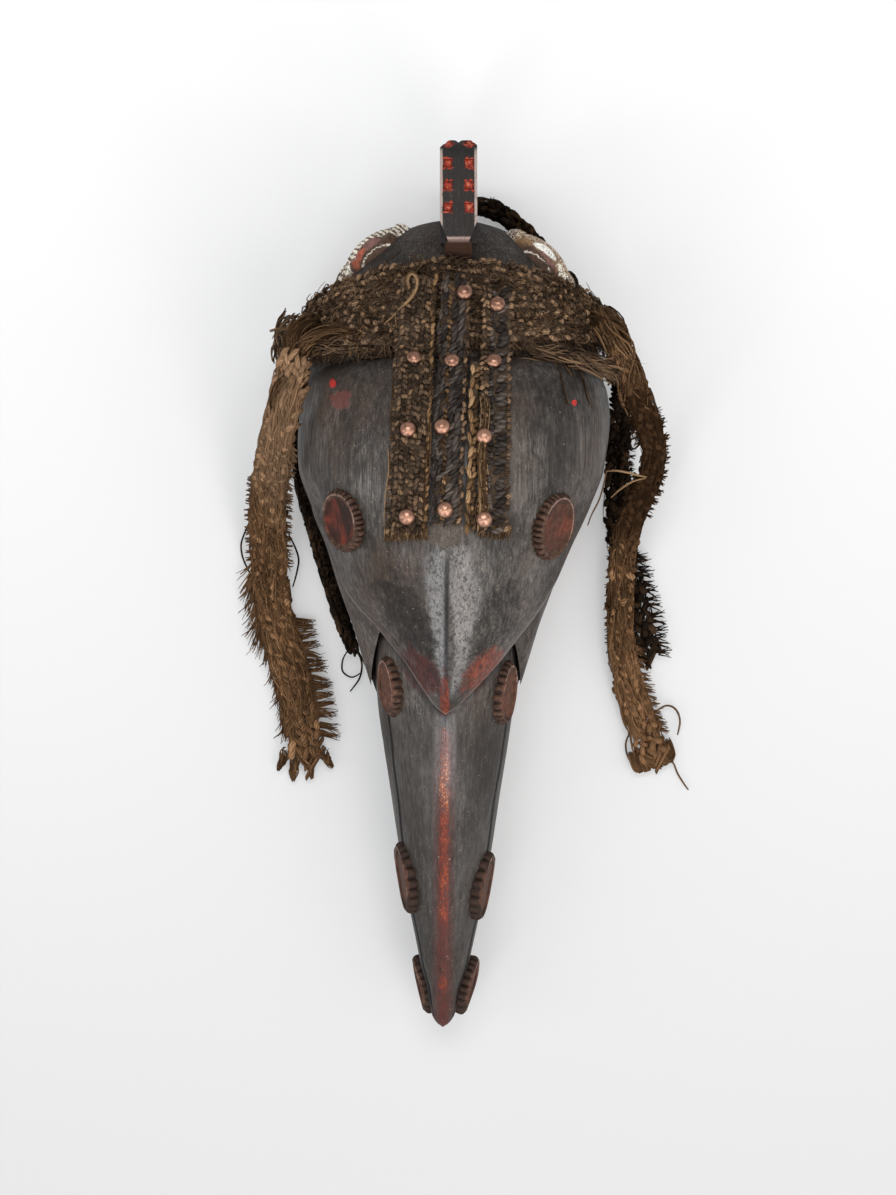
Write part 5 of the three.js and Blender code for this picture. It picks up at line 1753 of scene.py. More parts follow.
eyes = []
for name, side, place in zip(("eye_left", "eye_right"), (1, -1), EYES["places"]):
    points, faces, local = eye_mesh(*place)
    eyes.append(mesh_object(name, row(points), faces, None, [eye_paint(name, side)], local=local))
    eyes[-1].data.set_sharp_from_angle(angle=math.radians(60))
    print(name, count(eyes[-1]), "triangles")

# %% [markdown]
# ## Laying small shapes with Geometry Nodes
# The headband and the straps are hundreds of small stitches. Each is the same little lens of
# twisted fibre, laid at its own place and angle. The places are the points of a guide mesh, with
# three attributes: which way the stitch runs, which way is out, and its size. The tree turns and
# scales one shape at every point, nudges it by a seeded random turn, and makes it real geometry,
# because instances would be lost when the model is exported. A second tree grows stray hairs
# from a finished piece's faces.


# %% A tree with named inputs
class Tree(Graph):
    """A Geometry Nodes tree with named inputs after its geometry."""

    def __init__(self, name, **inputs):
        super().__init__(bpy.data.node_groups.new(name, "GeometryNodeTree"))
        sockets = self.tree.interface
        sockets.new_socket("Geometry", in_out="OUTPUT", socket_type="NodeSocketGeometry")
        sockets.new_socket("Geometry", in_out="INPUT", socket_type="NodeSocketGeometry")
        for key, kind in inputs.items():
            sockets.new_socket(key, in_out="INPUT", socket_type="NodeSocket" + kind)
        self.group = self.tree.nodes.new("NodeGroupInput")

    def given(self, name):
        return Value(self, self.group.outputs[name])

    def attribute(self, name):
        return self.node("GeometryNodeInputNamedAttribute", {"data_type": "FLOAT_VECTOR"}, name)

    def chance(self, kind, low, high):
        """A random number or vector for each point, from the tree's Seed."""
        seed = self.given("Seed")
        return self.node("FunctionNodeRandomValue", {"data_type": kind}, low, high, Seed=seed)

    def result(self, geometry):
        """Makes instances real, gives them the finish and ends the tree."""
        real = self.node("GeometryNodeRealizeInstances", None, geometry)
        done = self.node("GeometryNodeSetMaterial", None, real, Material=self.given("Finish"))
        self.feed(self.tree.nodes.new("NodeGroupOutput").inputs["Geometry"], done)
        return self.tree


print("tree helper ready")


# %% The laying tree and the hair tree
def laying_tree():
    t = Tree("lay_shapes", Shape="Object", Finish="Material", Seed="Int", Wobble="Float")
    turn = t.node("FunctionNodeAlignRotationToVector", {"axis": "X"}, None, 1.0, t.attribute("along"))
    settings = {"axis": "Z", "pivot_axis": "X"}
    turn = t.node("FunctionNodeAlignRotationToVector", settings, turn, 1.0, t.attribute("out"))
    nudge = t.chance("FLOAT_VECTOR", (-1, -1, -1), (1, 1, 1))
    nudge = t.node("ShaderNodeVectorMath", {"operation": "SCALE"}, nudge, Scale=t.given("Wobble"))
    nudge = t.node("FunctionNodeEulerToRotation", None, nudge)
    turn = t.node("FunctionNodeRotateRotation", {"rotation_space": "LOCAL"}, turn, nudge)
    shape = t.node("GeometryNodeObjectInfo", None, t.given("Shape")).out("Geometry")
    points = t.given("Geometry")
    laid = t.node(
        "GeometryNodeInstanceOnPoints", None, points,
        Instance=shape, Rotation=turn, Scale=t.attribute("size"),
    )
    return t.result(laid)


def hair_tree():
    t = Tree(
        "stray_hairs", Shape="Object", Finish="Material", Seed="Int", Density="Float",
        Lean="Float", Shortest="Float",
    )
    spread = t.node(
        "GeometryNodeDistributePointsOnFaces", {"distribute_method": "RANDOM"}, t.given("Geometry"),
        Density=t.given("Density"), Seed=t.given("Seed"),
    )
    lean = t.given("Lean")
    nudge = t.chance("FLOAT_VECTOR", (-1, -1, -3.1), (1, 1, 3.1))
    lean = t.node("ShaderNodeCombineXYZ", None, lean, lean, 1.0)
    nudge = t.node("ShaderNodeVectorMath", {"operation": "MULTIPLY"}, nudge, lean)
    nudge = t.node("FunctionNodeEulerToRotation", None, nudge)
    settings = {"rotation_space": "LOCAL"}
    turn = t.node("FunctionNodeRotateRotation", settings, spread.out("Rotation"), nudge)
    shape = t.node("GeometryNodeObjectInfo", None, t.given("Shape")).out("Geometry")
    long = t.chance("FLOAT", t.given("Shortest"), 1.0)
    laid = t.node(
        "GeometryNodeInstanceOnPoints", None, spread, Instance=shape, Rotation=turn, Scale=long,
    )
    settings = {"data_type": "FLOAT", "domain": "INSTANCE"}
    tone = t.chance("FLOAT", 0.0, 1.0)
    laid = t.node("GeometryNodeStoreNamedAttribute", settings, laid, Name="tone", Value=tone)
    return t.result(laid)


print("trees defined")


# %% Running a tree
def run_tree(tree, start, name, **values):
    """Runs a tree on an object and returns the result as a plain mesh object."""
    modifier = start.modifiers.new(tree.name, "NODES")
    modifier.node_group = tree
    for item in tree.interface.items_tree:
        if item.in_out == "INPUT" and item.name in values:
            modifier[item.identifier] = values[item.name]
    shown = start.evaluated_get(bpy.context.evaluated_depsgraph_get())
    mesh = bpy.data.meshes.new_from_object(shown)
    start.modifiers.remove(modifier)
    for extra in ("along", "out", "size"):
        if extra in mesh.attributes:
            mesh.attributes.remove(mesh.attributes[extra])
    mesh.name = name
    made = bpy.data.objects.new(name, mesh)
    bpy.context.scene.collection.objects.link(made)
    return made


LAY, HAIRS = laying_tree(), hair_tree()
print("two trees ready")


# %% The small shapes
def small_shape(name, line, radius, sides, flat=1.0):
    """One tube round a short line in millimetres, centred on the origin."""
    points, faces, uv, _ = tubes([line], [radius], sides, flat)
    return mesh_object(name, points * MM, faces, uv)


LENS_LENGTH, LENS_WIDTH, HAIR_LENGTH = 6.0, 2.6, 5
FLOOR_CLEARANCE = 0.0002
q = np.linspace(-1, 1, 6)
lens = small_shape(
    "lens", np.stack([q * 2.7, 0.25 * np.sin(q * 2.4), 0.7 - 0.9 * q * q], 1),
    1.3 * np.sqrt(1.06 - q * q), 5, 0.72,
)
q = np.linspace(0, 1, 3)
hair_line = np.stack([1.3 * q * q, 0.5 * np.sin(q * 3), HAIR_LENGTH * q], 1)
hair = small_shape("hair", hair_line, 0.085 * (1.15 - q), 3)


def lay(name, places, along, out, size, material, tone, seed=1, wobble=0.18, shape=lens):
    """Lays a shape at every place. Places and sizes are in millimetres."""
    shares = np.asarray(size, float) / (LENS_LENGTH, LENS_WIDTH, LENS_WIDTH)
    guide = mesh_object("guide", row(places), (), along=along, out=out, size=shares, tone=tone)
    made = run_tree(LAY, guide, name, Shape=shape, Finish=material, Seed=seed, Wobble=wobble)
    drop(guide)
    return made


def grow_hairs(name, skin, amount, length, material, seed, lean=1.0, shortest=0.3):
    """About this many stray hairs on an object's faces, up to length millimetres long."""
    area = sum(face.area for face in skin.data.polygons)
    big = hair.copy()
    big.data = hair.data.copy()
    big.data.transform(Matrix.Scale(length / HAIR_LENGTH, 4))
    made = run_tree(
        HAIRS, skin, name, Shape=big, Finish=material, Seed=seed, Density=amount / area,
        Lean=lean, Shortest=shortest,
    )
    drop(big)
    co = np.empty(len(made.data.vertices) * 3, np.float32)
    made.data.vertices.foreach_get("co", co)
    co[2::3] = np.maximum(co[2::3], FLOOR_CLEARANCE)
    made.data.vertices.foreach_set("co", co)
    return made


print("lens:", count(lens), "triangles, hair:", count(hair), "triangles")

# %% [markdown]
# ## The headband
# A thick knotted band lies round the front of the head, over the dome and behind the crest. Its
# body is a closed slab that follows the dome. On it lie rows of small slanted stitches, each row
# leaning the other way, as twined work does, with loose curls of yarn over them.


# %% Headband body
BAND = {"half_angle": 80, "low": 144.5, "high": 192, "end_high": 169, "gap": 1.2}
BAND_TOP, STITCH_SINK = 10.2, 1.6


def on_dome(x, y, z, lift):
    place = np.stack([x, y, z], -1)
    out = unit((place - DOME_CENTRE) / DOME_RADII**2)
    return place + out * np.asarray(lift)[..., None], out


def on_band(u, v, lift):
    """A place on the headband and the way out: u from its left end to its right, v upwards."""
    share = 2 * u - 1
    low = BAND["low"] + 3 * share
    y = low + (BAND["high"] + (BAND["end_high"] - BAND["high"]) * share**2 - low) * v
    angle = np.radians(BAND["half_angle"]) * share
    ring = np.sqrt(1 - ((y - DOME_CENTRE[1]) / DOME_RADII[1]) ** 2)
    x = DOME_CENTRE[0] + DOME_RADII[0] * ring * np.sin(angle)
    z = DOME_CENTRE[2] + DOME_RADII[2] * ring * np.cos(angle)
    return on_dome(x, y, z, lift)


def band_top(u):
    """How far the headband's face stands off the dome."""
    return BAND_TOP + 2.6 * np.abs(2 * u - 1) ** 4


def directions(surface, u, v, du, dv):
    """Unit vectors along u and v on a surface given by a function."""
    a, b = surface(u - du, v)[0], surface(u + du, v)[0]
    c, d = surface(u, v - dv)[0], surface(u, v + dv)[0]
    return unit(b - a), unit(d - c)


def ring_mesh(name, rings, material):
    """A closed mesh through rings of points in millimetres."""
    many, size, _ = rings.shape
    points = with_ends(rings)
    tone = np.full(len(points), 0.35)
    made = mesh_object(name, row(points), shell_faces(many, size), None, [material], tone=tone)
    tidy = bmesh.new()
    tidy.from_mesh(made.data)
    bmesh.ops.recalc_face_normals(tidy, faces=tidy.faces)
    tidy.to_mesh(made.data)
    tidy.free()
    return made


def matted(name, dark, light):
    """Fibre that is pressed together: no single yarn shows, only soft lumps and short fibres."""
    s = Shader(name)
    lumps = s.noise(0.28, detail=4.0, roughness=0.65)
    threads = s.noise((0.8, 1.92, 0.8), detail=5.0, roughness=0.7, distortion=1.4)
    colour = s.colours(lumps * 0.45 + threads * 0.55, (0.34, dark), (0.66, light))
    normal = s.bump(threads * 0.6 + lumps * 0.4, 0.9)
    return s.finish(Base_Color=colour, Roughness=0.92, Normal=normal)


under_fibre = matted("under_fibre", (0.016, 0.010, 0.006), (0.120, 0.075, 0.044))
u = np.linspace(0, 1, 90)[:, None]
edge = np.linspace(0, 2 * math.pi, 28, endpoint=False)[None]
v = 0.5 + 0.5 * np.sign(np.cos(edge)) * np.abs(np.cos(edge)) ** 0.5
deep = 0.5 + 0.5 * np.sign(np.sin(edge)) * np.abs(np.sin(edge)) ** 0.5
v, deep, u = np.broadcast_arrays(v, deep, u)
lift = BAND["gap"] + (band_top(u) - 1.6 - BAND["gap"]) * deep
band_body = ring_mesh("band_body", on_band(u, v, lift)[0], under_fibre)
print("headband body:", count(band_body), "triangles")


# %% Headband stitches and curls
BAND_ROWS, BAND_COLUMNS = 10, 84
BAND_ROOM = (-112, 100, -40), (112, 260, 148)
band_rng = np.random.default_rng(21)
cold_yarn = fibre(
    "headband_fibre", (0.034, 0.021, 0.013), (0.245, 0.155, 0.095), (0.38, 0.225, 0.115), 0.14, 5.0, 0.45
)
tan_yarn = fibre(
    "tan_fibre", (0.075, 0.040, 0.018), (0.31, 0.185, 0.092), (0.60, 0.40, 0.22), 0.4, 6.0, 0.4
)


def band_stitches(rows, columns, lift, rng):
    r, c = (g.ravel() for g in np.meshgrid(np.arange(rows), np.arange(columns), indexing="ij"))
    u = (c + 0.5 + 0.5 * (r % 2) + rng.normal(0, 0.16, len(r))) / (columns + 0.5)
    v = (r + 0.5 + rng.normal(0, 0.13, len(r)) + 0.25 * np.sin(u * 40 + r)) / rows
    keep = rng.random(len(r)) < 0.95
    u, v, r = np.clip(u[keep], 0, 1), np.clip(v[keep], 0.01, 0.99), r[keep]
    height = band_top(u) + lift + rng.normal(0, 0.45, len(u))
    place, out = on_band(u, v, height)
    a, b = directions(on_band_flat, u, v, 0.004, 0.02)
    span = on_band(u, 1.0 + 0 * v, height)[0] - on_band(u, 0 * v, height)[0]
    tall = np.linalg.norm(span, axis=1) / rows
    lean = np.radians(np.where(r % 2, 38, -32) + rng.normal(0, 15, len(u)))
    along = a * np.cos(lean)[:, None] + b * np.sin(lean)[:, None]
    long, wide = rng.normal(5.4, 0.8, len(u)), np.clip(tall * 0.78, 2.0, 3.4)
    size = np.stack([long, wide, rng.normal(3.0, 0.4, len(u))], 1)
    return place, along, out, size, rng.random(len(u))


def on_band_flat(u, v):
    return on_band(u, v, 0 * u + BAND_TOP)


def curls(surface, many, u_range, v_range, reach, radius, lift, rng, points=8):
    """Loose ends of yarn that wander over a surface: lines and radii in millimetres."""
    lines, radii = [], []
    for _ in range(many):
        u, v = rng.uniform(*u_range), rng.uniform(*v_range)
        heading, bend = rng.uniform(0, 6.28), rng.normal(0, 0.5)
        place, out = surface(np.array([u]), np.array([v]), np.array([0.0]))
        flat = partial(surface, lift=np.array([0.0]))
        a, b = directions(flat, np.array([u]), np.array([v]), 0.004, 0.02)
        step = rng.uniform(*reach) / points
        at, line = place[0], []
        for k in range(points):
            hump = lift * math.sin(math.pi * min(k / (points - 1), 1)) * rng.uniform(0.6, 1.4)
            line.append(at + out[0] * (hump + 0.4))
            at = at + step * (a[0] * math.cos(heading) + b[0] * math.sin(heading))
            heading += bend + rng.normal(0, 0.28)
        lines.append(line)
        radii.append(rng.uniform(*radius) * np.linspace(1, 0.55, points))
    return np.array(lines), np.array(radii)


def on_band_face(u, v, lift):
    return on_band(u, np.clip(v, 0, 1), band_top(u) + lift)


def curl_object(name, many, v_range, reach, radius, lift, material):
    """Curls all along the headband's face, kept within its own room."""
    ranges = (0.02, 0.98), v_range
    lines, radii = curls(on_band_face, many, *ranges, reach, radius, lift, band_rng)
    lines = np.clip(lines, *BAND_ROOM)
    return tube_object(name, [tubes(lines, radii)], material)


laid = band_stitches(BAND_ROWS, BAND_COLUMNS, 0.6 - STITCH_SINK, band_rng)
band_work = lay("band_work", *laid[:4], cold_yarn, laid[4], 3, 0.3)
band_curls = curl_object("band_curls", 520, (0.02, 0.98), (7, 16), (0.22, 0.55), 0.9, cold_yarn)
worn_yarn = fibre(
    "worn_fibre", (0.036, 0.020, 0.010), (0.19, 0.110, 0.055), (0.42, 0.25, 0.12), 0.3, 5.0, 0.4
)
worn_facts = 420, (0.0, 0.9), (6, 13), (0.20, 0.45), 1.1
band_worn_curls = curl_object("band_worn_curls", *worn_facts, worn_yarn)
print("headband stitches:", count(band_work), "and curls:", count(band_curls), "triangles")

# %% [markdown]
# ## The straps
# Four strips of old work lie up the casque and over the headband: a wide one of tiny stitches, a
# middle one of dark leathery strands laid like wheat, a narrow tan roll, and one with a row of
# heavy ribs. Each has a thin body that follows what it lies on. The stitches are laid on it in
# columns, and a column is one line of a table: where it runs across the strap, its pitch, the
# stitch's size and how much it slants.

# %% Strap bodies
# The middle of each strap at its low end and 150 mm higher up, its width, and where it ends.
STRAPS = {
    "strap_left": {"low_x": -27, "high_x": -21.2, "width": 22.6, "low": 34, "high": 184},
    "strap_middle": {"low_x": -5.5, "high_x": 0.4, "width": 17.2, "low": 40, "high": 182},
    "strap_edge_roll": {"low_x": 7.9, "high_x": 13.2, "width": 6, "low": 35, "high": 133},
    "strap_right": {"low_x": 20.6, "high_x": 24.5, "width": 17.5, "low": 35, "high": 176},
}
STRAP_BODY, STRAP_THICKNESS = 3.6, 6
STRAP_START, STRAP_RUN = 36, 150
BAND_START = 143.5


def lies_on(x, y):
    """The height of the casque, or of the headband's face above it."""
    dome_z = dome_height(x, y)
    out = unit((np.stack([x, y, dome_z], -1) - DOME_CENTRE) / DOME_RADII**2)
    on_head = dome_z + np.where(y > BAND_START, BAND_TOP / out[..., 2], 0)
    return np.maximum(casque_surface(x, y), on_head)


def strap_seat(x, y):
    """A strap bridges hollows, because it can't bend sharply."""
    steps = [lies_on(x, y + step) - abs(step) * 0.12 for step in (-10, -5, 0, 5, 10)]
    return np.max(steps, axis=0) + 0.5


def on_strap(strap, across, y, lift):
    x = strap["low_x"] + (strap["high_x"] - strap["low_x"]) * (y - STRAP_START) / STRAP_RUN + across
    z = strap_seat(x, y)
    slope_x = (strap_seat(x + 1, y) - strap_seat(x - 1, y)) / 2
    slope_y = (strap_seat(x, y + 2) - strap_seat(x, y - 2)) / 4
    out = unit(np.stack([-slope_x, -slope_y, 0 * x + 1], -1))
    return np.stack([x, y, z], -1) + out * np.asarray(lift)[..., None], out


strap_bodies = {}
for name, strap in STRAPS.items():
    y = np.linspace(strap["low"] + 1.5, strap["high"] - 1.0, 84)[:, None]
    edge = np.linspace(0, 2 * math.pi, 20, endpoint=False)[None]
    across = (strap["width"] / 2 - 0.6) * np.sign(np.cos(edge)) * np.abs(np.cos(edge)) ** 0.55
    high = 0.5 + 0.5 * np.sign(np.sin(edge)) * np.abs(np.sin(edge)) ** 0.6
    across, high, y = np.broadcast_arrays(across, high, y)
    rings = on_strap(strap, across, y, high * STRAP_BODY)[0]
    strap_bodies[name] = ring_mesh(name + "_body", rings, under_fibre)
print("strap bodies:", sum(count(made) for made in strap_bodies.values()), "triangles")

# %% Strap stitches
leather_yarn = fibre(
    "leather_strand", (0.018, 0.014, 0.012), (0.072, 0.058, 0.050), (0.15, 0.115, 0.09), 0.1, 3.0, 0.22
)
strap_yarn = fibre(
    "strap_fibre", (0.026, 0.017, 0.011), (0.150, 0.096, 0.060), (0.36, 0.215, 0.11), 0.16, 5.0, 0.45
)
# Columns: place across, pitch, (length, width, thickness), slant from the strap's length, material.
COLUMNS = {
    "strap_left": [
        (-10.2, 3.0, (3.6, 2.4, 2.4), 60, strap_yarn), (-7.4, 3.1, (4.8, 2.5, 2.8), 42, strap_yarn),
        (-4.4, 3.1, (4.8, 2.5, 2.8), -42, strap_yarn), (-1.5, 3.0, (4.4, 2.3, 2.8), 40, strap_yarn),
        (1.4, 3.1, (4.8, 2.5, 2.8), -40, strap_yarn), (4.3, 3.1, (5.2, 2.7, 3.0), 36, strap_yarn),
        (7.2, 3.2, (5.2, 2.7, 3.0), -38, strap_yarn), (9.8, 3.4, (5.4, 2.2, 2.6), 22, worn_yarn),
    ],
    "strap_middle": [
        (-7.4, 4.4, (8.6, 2.4, 2.8), 14, leather_yarn), (-4.8, 4.6, (9.0, 2.7, 3.0), 30, leather_yarn),
        (-2.4, 3.4, (4.6, 2.2, 3.0), -34, worn_yarn), (0.6, 4.6, (12.5, 3.3, 3.3), 30, leather_yarn),
        (4.2, 4.7, (13.0, 3.5, 3.3), 34, leather_yarn), (7.4, 3.6, (4.8, 2.2, 2.6), 20, cold_yarn),
    ],
    "strap_edge_roll": [
        (-1.6, 6.4, (9.6, 2.9, 3.6), 9, tan_yarn), (1.2, 3.6, (5.2, 2.6, 3.2), 44, worn_yarn),
    ],
    "strap_right": [
        (-7.6, 3.0, (3.6, 2.4, 2.6), 50, cold_yarn), (-5.2, 3.2, (5.0, 2.6, 2.8), -36, cold_yarn),
        (-2.4, 3.2, (5.0, 2.8, 3.0), 34, leather_yarn), (3.2, 4.7, (9.8, 4.1, 3.8), 66, leather_yarn),
        (7.3, 3.8, (4.4, 2.8, 2.8), 52, cold_yarn),
    ],
}


def strap_columns(strap, columns, rng):
    groups = {}
    for across, pitch, size, slant, material in columns:
        y = np.arange(strap["low"] + 2, strap["high"] - 1, pitch) + rng.normal(0, pitch * 0.10)
        y = np.clip(y + rng.normal(0, pitch * 0.18, len(y)), strap["low"] + 1, strap["high"] - 1)
        y = y[rng.random(len(y)) < 0.96]
        a = across + rng.normal(0, 0.48, len(y))
        lift = STRAP_THICKNESS - size[2] / 2 + 0.5 + rng.normal(0, 0.3, len(y))
        place, out = on_strap(strap, a, y, lift)
        ahead = unit(on_strap(strap, a, y + 1, lift)[0] - on_strap(strap, a, y - 1, lift)[0])
        aside = np.cross(ahead, out)
        lean = np.radians(slant + rng.normal(0, 13, len(y)))[:, None]
        along = ahead * np.cos(lean) + aside * np.sin(lean)
        sizes = np.array(size) * rng.normal(1, 0.13, (len(y), 3))
        _, lots = groups.setdefault(material.name, (material, []))
        lots.append((place, along, out, sizes, rng.random(len(y))))
    return groups


strap_work = {}
for number, (name, columns) in enumerate(COLUMNS.items()):
    groups = strap_columns(STRAPS[name], columns, np.random.default_rng(60 + number))
    for material, lots in groups.values():
        joined = [np.concatenate(part) for part in zip(*lots)]
        key = name + "_" + material.name
        strap_work[key] = (lay(key, *joined[:4], material, joined[4], number, 0.2), name)
        print(key, count(strap_work[key][0]), "triangles")

# %% [markdown]
# ## Copper tacks
# Eleven domed copper tacks hold the straps. One dome is laid at each place by the same tree. The
# metal is worn and a little dented, and darker brown towards its foot.


# %% Tacks
def tack_shape(radius=4.85, high=3.9, columns=28, rows=7):
    turn = 2 * math.pi * np.arange(columns) / columns
    share = np.linspace(0, 1, rows + 1)[1:] * math.pi / 2
    rings = [np.stack([radius * math.sin(a) * np.cos(turn), radius * math.sin(a) * np.sin(turn),
                       0 * turn + high * math.cos(a)], 1) for a in share]
    rings.append(rings[-1] * (0.97, 0.97, 1) - (0, 0, 0.6))
    rings.append(rings[-1] * (0.8, 0.8, 1))
    rings = np.array(rings)
    points = np.concatenate([rings.reshape(-1, 3), [[0, 0, high]], [[0, 0, -0.6]]])
    faces = shell_faces(len(rings), columns, True)
    return mesh_object("tack", points * MM, faces, height=points[:, 2] / high)


def copper_metal():
    s = Shader("copper")
    worn = s.noise(0.35, detail=4.0, roughness=0.65)
    dents = s.noise(0.28, detail=2.0)
    fine = s.noise(2.2, detail=3.0)
    tone = s.mark("tone")
    height = s.mark("height")
    s.colour = s.colours(
        worn * 0.8 + tone * 0.2, (0.3, (0.13, 0.062, 0.040)), (0.6, (0.38, 0.205, 0.140))
    )
    grime = (fine * 0.5 + worn * 0.5).ramp(0.54, 0.70)
    s.cover(grime * 0.6, (0.075, 0.038, 0.026))
    # Darker brown towards the dome's foot.
    s.cover(height.ramp(0.55, 0.0) * 0.85, (0.030, 0.015, 0.010))
    rough = 0.25 + 0.14 * worn + 0.15 * grime
    normal = s.bump(dents * 0.7 + fine * 0.1, 0.45)
    return s.finish(Base_Color=s.colour, Roughness=rough, Metallic=0.8 - 0.4 * grime, Normal=normal)


# Where each tack is, in x and y.
TACKS = [
    (5.4, 175), (24.5, 168), (-24, 136), (-2, 134), (22.3, 134), (-27.4, 93.5), (-7.7, 95),
    (16.5, 89.5), (-28, 43), (-6, 47), (16.5, 41.5),
]
tack = tack_shape()
x, y = np.array(TACKS, float).T
z = strap_seat(x, y)
slope_x = (strap_seat(x + 2, y) - strap_seat(x - 2, y)) / 4
slope_y = (strap_seat(x, y + 2) - strap_seat(x, y - 2)) / 4
out = unit(np.stack([-slope_x, -slope_y, 0 * x + 1], -1))
place = np.stack([x, y, z + STRAP_THICKNESS + 0.9], -1)
tone = np.linspace(0, 1, len(x))
size = np.tile((LENS_LENGTH, LENS_WIDTH, LENS_WIDTH), (len(x), 1))
along = np.tile((1.0, 0, 0), (len(x), 1))
tacks = lay("tacks", place, along, out, size, copper_metal(), tone, 8, 0.05, tack)
tacks.data.set_sharp_from_angle(angle=math.radians(60))
drop(tack)
print("tacks:", count(tacks), "triangles")

# %% [markdown]
# ## Knots, fringe and loose fibre
# What makes the fibre look old is what has come loose. Bundles of strands tie the plaits to the
# headband's ends, a ragged edge hangs under it, the plaits have combs of fringe and small teeth
# along their edges, and their ends open into tassels. Each strand is a thin tube that keeps its
# own wandering place in its bundle, so a bundle thins out at its ends. A table gives each
# bundle one line: its route, how many strands, how wide it spreads and how thick they are. Stray
# hairs from the second tree cover it all.


# %% Bundles
def smooth_route(route, many):
    route = np.asarray(route, float)
    at = np.concatenate([[0], np.cumsum(np.linalg.norm(np.diff(route, axis=0), axis=1))])
    fine = np.linspace(0, at[-1], many * 4)
    line = np.stack([np.interp(fine, at, route[:, k]) for k in range(3)], 1)
    width = max(3, int(many * 4 / len(route)) | 1)
    soft = np.pad(line, ((width // 2, width // 2), (0, 0)), mode="edge")
    kernel = np.ones(width) / width
    return np.stack([np.convolve(soft[:, k], kernel, "valid") for k in range(3)], 1)


def bundle(route, many, spread, radius, rng, flat=0.6, points=14, wave=1.0, ends=0.25):
    """Strands that follow a route: (many, points, 3) lines and their radii, in millimetres."""
    line = smooth_route(route, points)
    tangent = unit(np.gradient(line, axis=0))
    side = unit(np.cross(tangent, [0.05, 0.1, 1.0]))
    up = np.cross(side, tangent)
    first, last = rng.uniform(0, ends, (many, 1)), 1 - rng.uniform(0, ends, (many, 1))
    t = first + (last - first) * np.linspace(0, 1, points)
    place = t * (len(line) - 1)
    whole = np.clip(place.astype(int), 0, len(line) - 2)
    part = (place - whole)[..., None]

    def read(table):
        return table[whole] * (1 - part) + table[whole + 1] * part

    turn, pace = rng.uniform(0, 6.28, (many, 1)), rng.normal(0, 1.6, (many, 1))
    off = np.sqrt(rng.uniform(0.02, 1, (many, 1))) * spread
    turn = turn + pace * t + 0.5 * wave * np.sin(t * rng.uniform(6, 14, (many, 1)) + turn)
    off = off * (1 + 0.22 * wave * np.sin(t * rng.uniform(5, 12, (many, 1)) + 2 * turn))
    a, b = off * np.cos(turn), off * np.sin(turn) * flat
    lines = read(line) + read(side) * a[..., None] + read(up) * b[..., None]
    swell = 0.55 + 0.45 * np.sin(np.pi * np.linspace(0.08, 0.92, points))
    return lines, rng.uniform(*radius, (many, 1)) * swell


def bundles(table, rng, sides=3):
    """Tubes for lines of (route, strands, spread, radius) and any of flat, points, wave, ends."""
    return [tubes(*bundle(*facts[:4], rng, *facts[4:]), sides) for facts in table]


print("bundles ready")


# %% Tufts
TUFT_CLEARANCE = 0.7


def tuft(
    roots, headings, out, length, radius, rng, each=6, spread=1.4, fan=0.25, droop=0.0, points=7
):
    """A few strands from each root, side by side, that fan out and bend down towards the floor."""
    roots, headings, out = (np.asarray(v, float) for v in (roots, headings, out))
    many = len(roots) * each
    roots, headings, out = (np.repeat(v, each, axis=0) for v in (roots, headings, out))
    side = unit(np.cross(headings, out))
    where = rng.uniform(-1, 1, (many, 1)) * spread
    heading = headings + side * rng.normal(0, fan, (many, 1))
    heading = unit(heading + out * rng.normal(0, fan * 0.6, (many, 1)))
    long = length * rng.uniform(0.72, 1.12, (many, 1))
    t = np.linspace(0, 1, points)
    bend = rng.normal(0, 0.12, (many, 1)) * long
    reach = (long * t)[..., None]
    lines = roots[:, None] + (side * where)[:, None] + heading[:, None] * reach
    pull = (where * -0.55)[..., None] * (side[:, None] * (t**1.5)[:, None])
    lines = lines + pull + side[:, None] * (bend * t**2)[..., None]
    lines = lines - np.array([0, 0, 1.0]) * (droop * long * t**2)[..., None]
    lines = lines + rng.normal(0, 0.14, lines.shape) * t[:, None]
    lines[..., 2] = np.maximum(lines[..., 2], TUFT_CLEARANCE)
    radii = rng.uniform(*radius, (many, 1)) * (1.1 - 0.75 * t)
    return lines, radii


EDGE_INSET = 1.5


def edge_tufts(name, low_y, high_y, side, pitch, lean, length, radius, each, spread, fan, rng):
    """Tufts along one edge of a plait, between two places along the mask."""
    path, width = paths[name], PLAITS[name]["width"]
    along = np.interp([-high_y, -low_y], -path.points[:, 1], path.at)
    at = np.arange(along[0], along[1], pitch)
    at = at + rng.normal(0, pitch * 0.16, len(at))
    none, half = 0 * at, side * (width / 2 - EDGE_INSET) + 0 * at
    roots = path.place(at, half, rng.normal(0, 0.8, len(at)))
    middle = path.place(at, none, none)
    tangent = unit(path.place(at + 1, half, none) - path.place(at - 1, half, none))
    across = unit(path.place(at, none + side, none) - middle)
    out = unit(path.place(at, none, none + 1) - middle)
    lean = np.radians(lean + rng.normal(0, 7, len(at)))[:, None]
    headings = across * np.cos(lean) + tangent * np.sin(lean)
    return tuft(roots, headings, out, length, radius, rng, each, spread, fan)


print("tufts ready")

# %% Knots at the headband's ends
loose_rng = np.random.default_rng(77)
brown_yarn = fibre(
    "brown_fibre", (0.036, 0.019, 0.009), (0.18, 0.100, 0.050), (0.40, 0.24, 0.12), 0.3, 5.0, 0.4
)

